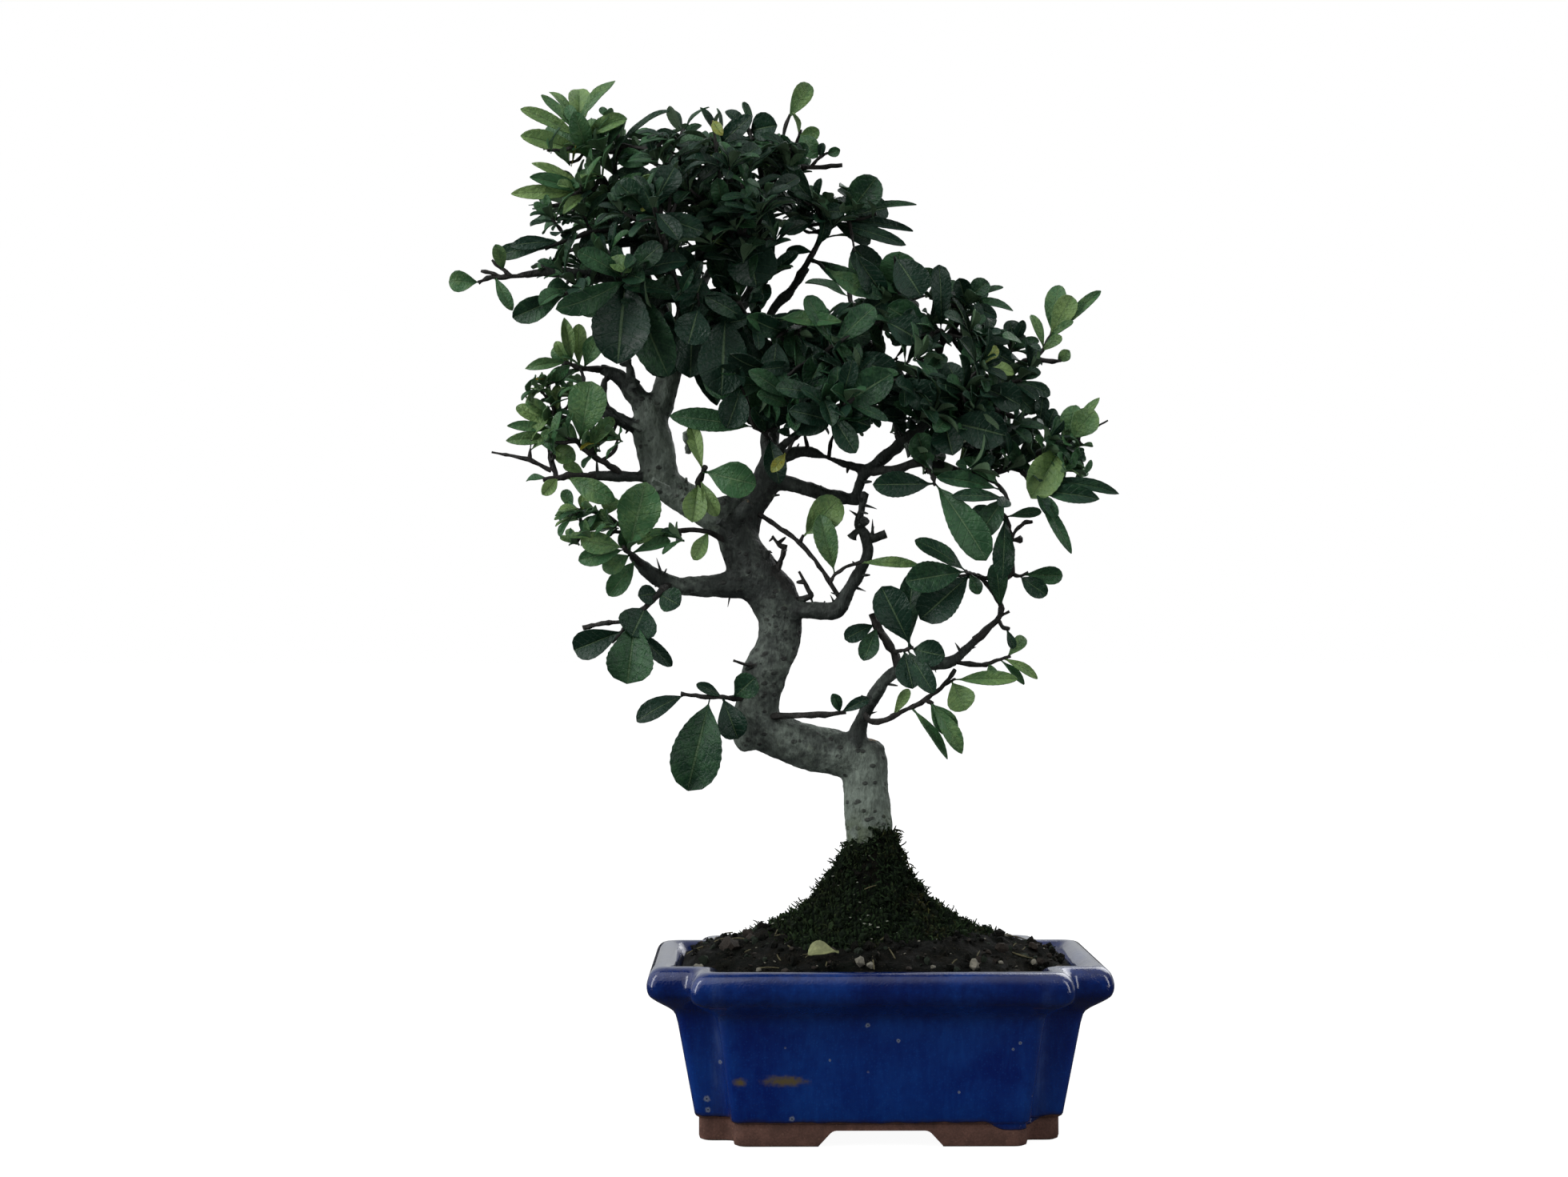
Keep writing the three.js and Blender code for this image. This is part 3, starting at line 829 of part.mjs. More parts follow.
// The first way to set a leaf that crosses nothing, not even its neighbours if that can be had.
function settle(ways, owner, ownLeaves) {
  return ways.find((leaf) => clearOf(leaf, owner, ownLeaves))
    ?? ways.find((leaf) => clearOf(leaf, owner, []));
}

function leavesOf(spray, owner) {
  const curves = spray.stems.map(limbCurve);
  const random = seeded(owner + 1);
  const ways = spray.keys.map((key, i) => KEY_SHIFTS.map((shift) => keyLeaf(curves, key, i, shift)));
  for (let i = 0; i < spray.more; i += 1) {
    const draws = [random(), random(), random(), random()];
    ways.push(Array.from({ length: TRIES }, (_, k) => ruleLeaf(curves, spray.size, i, spray.more, draws, k)));
  }
  const own = [];
  ways.forEach((options) => {
    const leaf = settle(options, owner, own);
    if (leaf) {
      own.push(withBox(blade(leaf), owner));
    }
  });
  return own;
}

const parts = [];

function addPart(name, solid, finish) {
  parts.push({ name, geometry: toGeometry(solid), finish: FINISHES[finish] });
}

const trunkHole = toSolid(limb(TRUNK_FOOT, { sides: 12, extra: GAP }));
const pot = makePot();
const soil = makeSoil(trunkHole);
const moss = makeMoss(trunkHole);
addPart('pot', pot, 'glaze');
addPart('drain_screen_left', makeScreen(-1), 'screen');
addPart('drain_screen_right', makeScreen(1), 'screen');
addPart('soil', soil, 'soil');
addPart('moss', moss, 'moss');
addPart('wood', joined(woodParts.map((part) => part.solid)), 'bark');

// The yellow leaf that lies on the soil in front.
const FALLEN = { foot: [-31, -52], tip: [-18, -57], width: 8, clear: 1.6 };

function fallenLeaf() {
  const onSoil = ([x, y]) => new THREE.Vector3(x, y, moundHeight(x, y) + FALLEN.clear);
  const foot = onSoil(FALLEN.foot);
  const along = onSoil(FALLEN.tip).sub(foot);
  const length = along.length();
  along.normalize();
  const up = new THREE.Vector3(0, 0, 1).addScaledVector(along, -along.z).normalize();
  return blade({ foot, along, up, length, width: FALLEN.width });
}

addPart('fallen_leaf', toSolid(fallenLeaf()), 'dry');

placed.push(...woodParts);
placed.push({ solid: pot.add(soil).add(moss), box: new THREE.Box3(
  new THREE.Vector3(-POT_WIDTH / 2, -POT_DEPTH / 2, 0),
  new THREE.Vector3(POT_WIDTH / 2, POT_DEPTH / 2, SOIL_EDGE + MOUND_SWELL + MOUND_PEAK),
), owner: 'pot' });
const stems = SPRAYS.map((spray, owner) => spray.stems.map((points) => makeStem(points, owner)));
placed.push(...stems.flat());
SPRAYS.forEach((spray, owner) => {
  const leaves = leavesOf(spray, owner);
  placed.push(...leaves);
  const body = joined([...stems[owner], ...leaves].map((part) => part.solid));
  const number = String(owner + 1).padStart(2, '0');
  addPart(`leafy_stem_${number}`, largest(body), spray.tone);
});

// The frame: the middle of the bottom of the whole object's box.
const box = new THREE.Box3();
parts.forEach(({ geometry }) => {
  geometry.computeBoundingBox();
  box.union(geometry.boundingBox);
});
const middle = box.getCenter(new THREE.Vector3());

const bonsai = new THREE.Group();
bonsai.name = 'firethorn_bonsai';
parts.forEach(({ name, geometry, finish }) => {
  geometry.translate(-middle.x, -middle.y, -box.min.z);
  const mesh = new THREE.Mesh(geometry, new THREE.MeshStandardMaterial(finish));
  mesh.name = name;
  bonsai.add(mesh);
});

export default bonsai;
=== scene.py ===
# A small firethorn bonsai in its glazed pot, in metres, +Z up, the front of the pot towards -Y.
# The tree is laid out in millimetres from the middle of the pot's foot and is scaled at the end.
import json
import math
import random
from collections import namedtuple

import bmesh
import bpy
from bpy.props import FloatProperty, FloatVectorProperty, IntProperty, PointerProperty
from mathutils import Matrix, Vector, kdtree, noise

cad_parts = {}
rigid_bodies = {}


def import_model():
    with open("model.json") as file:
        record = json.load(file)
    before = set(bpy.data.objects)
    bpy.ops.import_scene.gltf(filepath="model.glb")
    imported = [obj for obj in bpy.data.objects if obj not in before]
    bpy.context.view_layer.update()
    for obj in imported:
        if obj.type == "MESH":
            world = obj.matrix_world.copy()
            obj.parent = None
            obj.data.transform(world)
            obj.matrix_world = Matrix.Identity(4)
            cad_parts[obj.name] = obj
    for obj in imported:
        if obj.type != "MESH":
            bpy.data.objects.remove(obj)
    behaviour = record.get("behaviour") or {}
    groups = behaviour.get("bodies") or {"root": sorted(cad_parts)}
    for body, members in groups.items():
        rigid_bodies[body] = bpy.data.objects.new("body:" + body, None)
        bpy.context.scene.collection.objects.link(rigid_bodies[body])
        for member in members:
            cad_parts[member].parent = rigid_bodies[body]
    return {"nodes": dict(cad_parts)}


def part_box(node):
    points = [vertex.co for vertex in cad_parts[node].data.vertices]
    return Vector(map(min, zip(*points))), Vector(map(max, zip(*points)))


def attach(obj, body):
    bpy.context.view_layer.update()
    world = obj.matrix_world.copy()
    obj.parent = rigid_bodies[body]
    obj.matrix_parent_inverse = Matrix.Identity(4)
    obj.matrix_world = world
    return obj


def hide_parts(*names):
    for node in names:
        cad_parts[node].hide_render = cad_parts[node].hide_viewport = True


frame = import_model()

bl_info = {
    "name": "Firethorn bonsai",
    "version": (1, 0, 0),
    "blender": (4, 5, 0),
    "location": "3D View > Sidebar > Bonsai",
    "description": "Builds a small firethorn bonsai in a glazed pot over its packed model",
    "category": "Object",
}

MM = 0.001
POT_LOW, POT_HIGH = (Vector(corner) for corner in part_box("pot"))
POT_CENTRE = Vector(((POT_LOW.x + POT_HIGH.x) / 2, (POT_LOW.y + POT_HIGH.y) / 2, 0))
TO_FRAME = Matrix.Translation(POT_CENTRE) @ Matrix.Scale(MM, 4)
GOLDEN_ANGLE = math.pi * (3 - math.sqrt(5))

# The place from which the tree is laid out: its points show on the upright plane through the
# middle of the pot, each with its depth behind that plane.
EYE = Vector((-53, -1187.5, 214))


def tint(red, green, blue):
    """A colour as a screen shows it, 0 to 255, in linear light."""
    shares = [value / 255 for value in (red, green, blue)]
    return tuple(s / 12.92 if s < 0.04 else ((s + 0.055) / 1.055) ** 2.4 for s in shares)


def length_of(name, description, default):
    """A length that the user may change, given in millimetres."""
    return FloatProperty(name=name, description=description, default=default * MM, min=0, unit="LENGTH")


def colour_of(name, description, default):
    """A colour that the user may change."""
    return FloatVectorProperty(name=name, description=description, default=default, subtype="COLOR",
                               size=3, min=0, max=1)


def share_of(name, description, default):
    """A share from 0 to 1 that the user may change."""
    return FloatProperty(name=name, description=description, default=default, min=0, max=1, subtype="FACTOR")


class BonsaiPotSettings(bpy.types.PropertyGroup):
    """Sizes and finishes of the pot."""

    width: length_of("Width", "Across the lip, left to right", (POT_HIGH.x - POT_LOW.x) / MM)
    depth: length_of("Depth", "Across the lip, front to back", (POT_HIGH.y - POT_LOW.y) / MM)
    height: length_of("Height", "From the feet to the lip's top", POT_HIGH.z / MM)
    wall: length_of("Wall", "Thickness of the body's wall", 8)
    foot_notch: length_of("Foot notch", "Notch in each corner at the foot", 15)
    lip_notch: length_of("Lip notch", "Notch in each corner at the lip", 19.5)
    corner: length_of("Corner", "Rounding of the notched corners", 4.5)
    arch: length_of("Arch", "Height of the arches between the feet", 7)
    glaze_edge: length_of("Glaze edge", "Where the glaze ends above the bare foot", 10.6)
    drip: length_of("Drip", "How far the thickest drip of glaze runs down", 3.2)
    glaze: colour_of("Glaze", "Cobalt where the glaze lies thick", tint(2, 34, 116))
    glaze_thin: colour_of("Thin glaze", "Cobalt where the glaze lies thin", tint(20, 78, 166))
    clay: colour_of("Clay", "Bare fired clay", tint(124, 88, 76))
    iron: colour_of("Iron", "Iron spots in the glaze", tint(112, 98, 50))


class BonsaiGroundSettings(bpy.types.PropertyGroup):
    """Shape and colours of the soil, the moss and what lies on them."""

    edge: length_of("Edge", "Height of the soil at the pot's wall", 73.5)
    swell: length_of("Swell", "Rise of the flat part of the mound", 14)
    peak: length_of("Peak", "Further rise at the trunk", 42)
    moss_depth: length_of("Moss depth", "Thickness of the moss", 2.4)
    tuft: length_of("Tuft", "Height of a tuft of moss", 1.9)
    crumbs: IntProperty(name="Crumbs", description="Crumbs of soil", default=1000, min=0)
    sprigs: IntProperty(name="Sprigs", description="Loose clumps and strands of moss", default=2220, min=0)
    soil: colour_of("Soil", "Moist soil", tint(11, 14, 10))
    soil_dry: colour_of("Dry soil", "Dry crumbs on top", tint(34, 31, 25))
    moss: colour_of("Moss", "Depth of the moss", tint(9, 19, 10))
    moss_tip: colour_of("Moss tips", "Tips of the moss", tint(60, 82, 50))
    moss_dry: colour_of("Dry moss", "Where the moss has dried", tint(92, 86, 44))
    pebble: colour_of("Pebbles", "Pale pebbles", tint(150, 146, 130))
    straw: colour_of("Straw", "Bits of straw", tint(104, 98, 66))


class BonsaiWoodSettings(bpy.types.PropertyGroup):
    """Sizes and colours of the bark."""

    voxel: length_of("Voxel", "Cell at which thick limbs are grown together", 1.0)
    knobs: length_of("Knobs", "Depth of the bark's swells", 0.75)
    spurs: IntProperty(name="Spurs", description="Short spurs and thorns along the limbs", default=110, min=0)
    bark: colour_of("Bark", "Dark upper bark", tint(56, 63, 59))
    bark_pale: colour_of("Pale bark", "Pale bark of the lower trunk", tint(140, 153, 141))
    lenticel: colour_of("Lenticels", "Breathing spots in the bark", tint(40, 40, 38))
    twig: colour_of("Twigs", "Bark of young twigs", tint(44, 40, 37))
    cut: colour_of("Cut wood", "Sawn ends", tint(150, 132, 110))


class BonsaiLeafSettings(bpy.types.PropertyGroup):
    """Sizes and colours of the leaves."""

    thickness: length_of("Thickness", "Thickness of a leaf", 0.32)
    rosettes: share_of("Rosettes", "Share of the further rosettes that is grown", 1)
    gloss: share_of("Gloss", "Gloss of the upper side", 0.62)
    dark: colour_of("Dark leaf", "Old leaves in the crown", tint(23, 58, 42))
    green: colour_of("Green leaf", "Leaves in full growth", tint(66, 112, 70))
    fresh: colour_of("Fresh leaf", "Young leaves at the ends", tint(146, 178, 106))
    yellow: colour_of("Yellow leaf", "Leaves about to fall", tint(150, 142, 40))
    rib: colour_of("Midrib", "Midrib and veins", tint(128, 156, 112))
    under: colour_of("Underside", "Lower side of the leaves", tint(112, 140, 104))


class BonsaiStageSettings(bpy.types.PropertyGroup):
    """Light, floor and camera."""

    lens: FloatProperty(name="Lens", description="Focal length", default=60.76, min=1, unit="CAMERA")
    floor: colour_of("Floor", "Plain pale floor", (0.86, 0.86, 0.86))
    key: FloatProperty(name="Key light", description="Strength of the soft light above", default=0.8, min=0)
    sky: share_of("Sky", "Strength of the even light from above and behind", 0.42)


# How far each ring of the pot lies in from the lip, and its height, from the underside outwards.
POT_FOOT = [(36, 8), (35, 0), (23.5, 0), (22.4, 0.6), (22, 2), (22, 9.6)]
POT_BODY = [(20.6, 10.6), (20.2, 11.4), (18.4, 21.3), (16.6, 31.2), (14.8, 41.1), (13, 51)]
POT_LIP = [(13, 51), (11, 56.5), (4, 61.5), (0.8, 64.5), (0, 69), (1.4, 73.6), (4.6, 76), (9, 76), (12.5, 73)]

# The top of the pot's floor, its drain holes, the arches' widths at their top and bottom, the gap
# between the pot and what is in it, and where the folds of the notches run down the front.
FLOOR_TOP = 14
DRAIN_RADIUS = 9
DRAIN_SPACING = 84
FRONT_ARCH = (41, 54)
SIDE_ARCH = (30, 43)
GAP = 0.35
# Along these folds a pale highlight is painted into the glaze.
FOLD_X = 69.5

# Where the thickest drip of glaze hangs, then the iron smears as place, height and half sizes, and
# the pits in the glaze as place, height and radius.
DRIP_X = 58
IRON_SMEARS = [(-41, 29, 10, 2.6), (-60, 28.5, 3.0, 2.0)]
GLAZE_PITS = [
    (-74.5, 18.5, 1.3), (-74, 13.7, 1.1), (-38, 12.4, 1.1), (-68.7, 34.8, 0.8), (58.7, 45.4, 0.7),
    (55.7, 42.7, 0.6), (-6, 53.2, 0.9), (7, 46.4, 0.8), (33, 24, 0.6), (-22, 38, 0.5),
]

# The mound: where the trunk stands, how the mound falls and how it leans out at the trunk, how far
# the moss covers it, its hole for the trunk and how high it climbs, and how far the soil's rim
# lies in from the lip.
TRUNK_X = -2.5
MOUND_TRUNK = 11
MOUND_FALL = 15
MOUND_REACH = 92
MOUND_SQUEEZE = 0.74
LEAN_FRONT = 8
LEAN_LEFT = 5
LEAN_FALL = 8
MOSS_REACH = 58
MOSS_HOLE = 9.5
MOSS_CLIMB = 127
SOIL_RIM_INSET = 14.2

# The moss on the trunk: its share of the clumps, where it starts and how far out it sits, low and high.
CLIMB_SHARE = 0.26
CLIMB_FROM = 100
CLIMB_OUT = (13.3, 11.5)

# How many small things are made in one go, how many straws and pale bits lie about, and the seeds.
CRUMBS_AT_ONCE = 100
SPRIGS_AT_ONCE = 60
STRAWS = 44
PALE_BITS = 80
SEEDS = {"litter": 7, "moss": 11, "sprigs": 23, "spurs": 61, "single": 77, "fallen": 3}

# The leaf that lies on the soil in front, its foot, tip, width and height over the mound.
FALLEN = {"foot": (-18, -57), "tip": (-31, -52), "width": 8, "clear": 5.2}

# What else lies on the soil, as [x, y, size]: pale pebbles, then chips of bark.
PEBBLES = [
    (-78, -46, 2.1), (-75, -43, 1.4), (-9, -58, 2.0), (-4.5, -59.5, 1.5), (40, -55, 2.2), (52, -48, 1.2),
    (-52, -55, 1.3), (22, -60, 1.2), (67, -40, 1.6), (-60, 38, 1.8), (30, 50, 1.9), (62, 30, 1.4),
]
CHIPS = [
    (-65, -22, 6.5), (-57, -8, 4.0), (54, -30, 4.5), (70, -12, 3.6), (-30, 48, 5.0), (40, 46, 4.2),
]

# Every woody limb, from where it leaves its parent to its end: [x, z, depth, radius].
TRUNK_FOOT = [
    [-2.5, 58, 0, 13.5], [-2.5, 95, 0, 12.2], [-2.4, 128, 0, 10.6], [-3.5, 146, 0, 10.4],
    [-4.2, 158, 0, 10.2], [-4.2, 168, 0, 8.6], [-4, 171.5, 0, 6],
]
LIMBS = [
    TRUNK_FOOT,
    [[-1, 160, 0, 9.4], [-13, 164.5, 0, 10.2], [-26, 167.5, 0, 10.2], [-38, 171, 0, 10.2],
     [-50, 176, 0, 9.6], [-56, 179, 0, 7.5]],
    [[-53, 167.5, 0, 6.5], [-54, 172, 0, 9.2], [-53.3, 182, 0, 10], [-51.8, 193, 0, 10], [-48, 205, 0, 9.7],
     [-43.6, 215, 0, 9.5], [-42, 225, 0, 9.9], [-46, 235.5, 0, 11], [-54, 246, 0, 10.8], [-60, 257, 0, 9.2],
     [-62.5, 267, 0, 8.4], [-65, 276, 0, 7.6], [-66, 281, 0, 5]],
    # The stump on the left.
    [[-50, 240, 0, 8.5], [-62, 241, -1, 6.6], [-74, 241, -2, 4.9], [-88, 240.5, -3, 4.2],
     [-97, 244.5, -4, 3.4], [-105, 250, -5, 2.8], [-110, 255, -6, 2]],
    # The left limb, its upright and the two forks at its head.
    [[-58, 262, 0, 7], [-70, 270, 0, 7.4], [-80, 277, 0, 7.2], [-90, 283, 0, 7], [-98, 288.5, 0, 6.4]],
    [[-96.5, 282, 0, 6.5], [-97, 291, 0, 8.6], [-98.8, 302, 0, 8.5], [-100.8, 313, 0, 7.9],
     [-101.5, 322, 0, 6.2], [-102, 327, 0, 4]],
    [[-101, 314, 0, 5.4], [-107, 326, -1, 4.6], [-114, 334, -2, 3.8], [-121, 337.5, -3, 3.2],
     [-124, 337.5, -3, 2.4]],
    [[-99, 316, 0, 6], [-94.5, 327, 1, 5.8], [-92, 338, 2, 5.2], [-93, 352, 5, 4.5], [-97, 366, 7, 3.9],
     [-103, 380, 8, 3.3], [-109, 396, 8, 2.7], [-116, 411, 6, 2.1], [-123, 424, 3, 1.6]],
    [[-103, 311, 0, 3], [-112, 314, -4, 2.7], [-119, 318.5, -6, 2.3], [-122, 326, -7, 2],
     [-121, 334, -7, 1.6]],
    # Branches inside the tall left crown.
    [[-92.5, 345, 3, 3.8], [-85, 364, 9, 3.3], [-80, 382, 12, 2.8], [-78, 398, 13, 2.4], [-80, 415, 13, 2],
     [-84, 431, 11, 1.5]],
    [[-99, 369, 7, 2.8], [-112, 376, -4, 2.6], [-128, 380, -14, 2.2], [-145, 382, -18, 1.9],
     [-158, 380.3, -19.5, 1.6]],
    [[-91, 342, 3, 3.6], [-80, 349, 8, 3.3], [-67, 358, 13, 3], [-57, 371, 15, 2.7], [-53, 386, 15, 2.4],
     [-52, 401, 13, 2.1], [-50, 416, 10, 1.8], [-48, 425, 8, 1.5]],
    [[-98, 366, 8, 2.8], [-108, 374, 22, 2.4], [-118, 386, 34, 2], [-126, 400, 42, 1.6]],
    [[-84, 366, 10, 2.8], [-76, 378, 26, 2.4], [-70, 392, 38, 2], [-68, 406, 46, 1.6]],
    [[-86, 362, 8, 2.6], [-90, 376, -10, 2.3], [-94, 389, -28, 2], [-96, 402, -42, 1.6]],
    # The right limb, bent back on itself, and its shoot to the top.
    [[-60, 260, 2, 6.4], [-56, 273, 3, 6.8], [-50, 285, 4, 6.6], [-46, 296, 6, 6], [-47, 306, 8, 4.6],
     [-46, 319, 10, 3.2], [-43, 334, 11, 2.6], [-44, 349, 12, 2.3], [-47, 362, 11, 2], [-38, 373, 8, 1.9],
     [-30, 384, 5, 1.8]],
    [[-44, 288, 5, 4.4], [-30, 283.5, 4, 3.6], [-17, 280.3, 4, 3.3], [-7, 278.6, 4, 2.6]],
    [[-8.5, 277.5, 4, 2.2], [-7.5, 284, 4, 2.8], [-4, 291, 3, 2.7], [3, 297.5, 1, 2.5], [10, 304, -2, 2.3],
     [20, 312, -4, 2.2], [32, 321, -6, 2.1], [44, 328, -7, 1.9], [54, 333.5, -8, 1.7], [63, 340, -9, 1.4]],
    [[-44, 298, 6, 3], [-32, 301, 6, 2.2], [-22, 298.5, 5, 1.8], [-11, 294.5, 4, 1.8], [-2, 292.8, 3, 1.8]],
    [[28, 318, -5, 1.9], [30, 334, 0, 1.8], [29, 347, 3, 1.7], [34, 354, 4, 1.5], [39, 362, 4, 1.2]],
    [[12, 306, -2, 2], [8, 322, 6, 1.9], [3, 340, 12, 1.8], [2, 356, 14, 1.6], [8, 369, 14, 1.3]],
    [[-3, 292, 3, 2], [10, 293, -10, 1.9], [24, 296.5, -18, 1.8], [38, 292, -22, 1.6], [52, 291, -24, 1.4],
     [66, 296, -25, 1.2], [80, 303, -25, 1.1]],
    [[-4, 291, 3, 2.2], [8, 300, 20, 2.1], [20, 310, 34, 1.8], [34, 318, 44, 1.4]],
    [[3, 340, 12, 1.8], [-4, 352, 26, 1.6], [-10, 364, 38, 1.3]],
    [[-46, 300, 7, 2.6], [-38, 306, -8, 2.2], [-30, 312, -22, 1.8], [-22, 318, -32, 1.4]],
    [[-43, 332, 11, 2.2], [-34, 338, -2, 1.8], [-24, 346, -12, 1.4]],
    # The branch in front on the right, and its cut knob.
    [[-42, 229, -4, 4.6], [-30, 229.5, -8, 3.9], [-18, 229.4, -12, 3.6], [-12.5, 237, -13, 3.2],
     [-7, 246, -14, 3.1], [-3.5, 254, -14, 2.9], [-4, 262, -14, 2.8], [-7, 268, -14, 2.5],
     [-6, 275, -14, 2.3], [-4, 282.5, -13, 1.9]],
    [[-4, 261.5, -14, 2.4], [1, 262.4, -14, 2.3], [5, 264, -14, 1.9]],
    # The low branch on the right.
    [[-9, 168, -4, 4.6], [-6, 180, -6, 3.9], [0, 192, -8, 3.5], [9, 201.5, -10, 3.1], [22, 205.5, -12, 2.7],
     [34, 206.5, -13, 2.5], [41, 212, -13, 2.2], [50, 221, -13, 1.9]],
    # Twigs on the left.
    [[-96, 288, 0, 3], [-108, 289.5, -4, 2.5], [-121, 290, -7, 2.3], [-129, 289.8, -8.5, 2.1]],
    [[-51, 205, -6, 1.2], [-57, 205, -8, 0.9], [-63.5, 207, -9, 0.5]],
    # Short stubs on the trunk's shoulder.
    [[-50, 247, -5, 2.2], [-48.7, 256.5, -6, 1.9]],
    [[-45, 245, -5, 1.6], [-42, 252, -7, 1.3], [-40, 259, -8, 1.2]],
    [[-40, 257.5, -8, 1.1], [-43, 259, -8, 1], [-46, 263, -8, 0.5]],
    [[-40, 234, -1, 1.8], [-29, 235.5, -9, 1.3], [-30.5, 240, -10, 1], [-34, 247, -11, 0.6]],
    [[-68, 262, -4, 4], [-62, 271, -9, 3], [-56, 278, -12, 2.6]],
]

# Thorns: where each stands on the wood, and where its point shows: [x, z, depth, tip x, tip z].
THORNS = [
    [-95, 243, -5, -98, 253], [-1, 262, -14, -1, 270.5], [-6.5, 271, -14, -11.5, 274.5],
    [-6, 277, -14, 1, 275], [-17, 230, -13, -20, 236.5], [-10, 240, -13, -4, 238],
    [40, 211, -13, 45.5, 213], [39, 210, -13, 36, 215], [-5, 182, -6, 1, 184], [2, 194.5, -8, 7, 196.5],
    [26, 206, -12, 27.5, 201.5], [-64, 241, -1, -66, 231], [-124.5, 290, -7.5, -125, 298.5],
    [-78, 399, 13, -71, 402],
]

# Stubs of cut twigs: where each stands, its depth, where its end shows, and its radius.
STUBS = [
    (-104, 310, -8, -122, 318, 1.5), (-113, 313, -10, -121, 322, 1.0), (-108, 330, -6, -112, 342, 2.2),
    (-100, 338, -6, -96, 349, 1.8), (-92, 282, -14, -100, 288, 1.3), (-64, 262, -14, -70, 270, 1.5),
    (-10, 262, -12, -4, 270, 1.4), (-84, 300, -15, -86, 309, 1.2),
]

# Sawn ends: where each shows, its depth and its radius.
CUTS = [(-56, 278, -12, 3.4), (-4, 171.5, 0, 5.5), (6, 264, -14, 2.4), (-110, 255, -6, 2.4)]
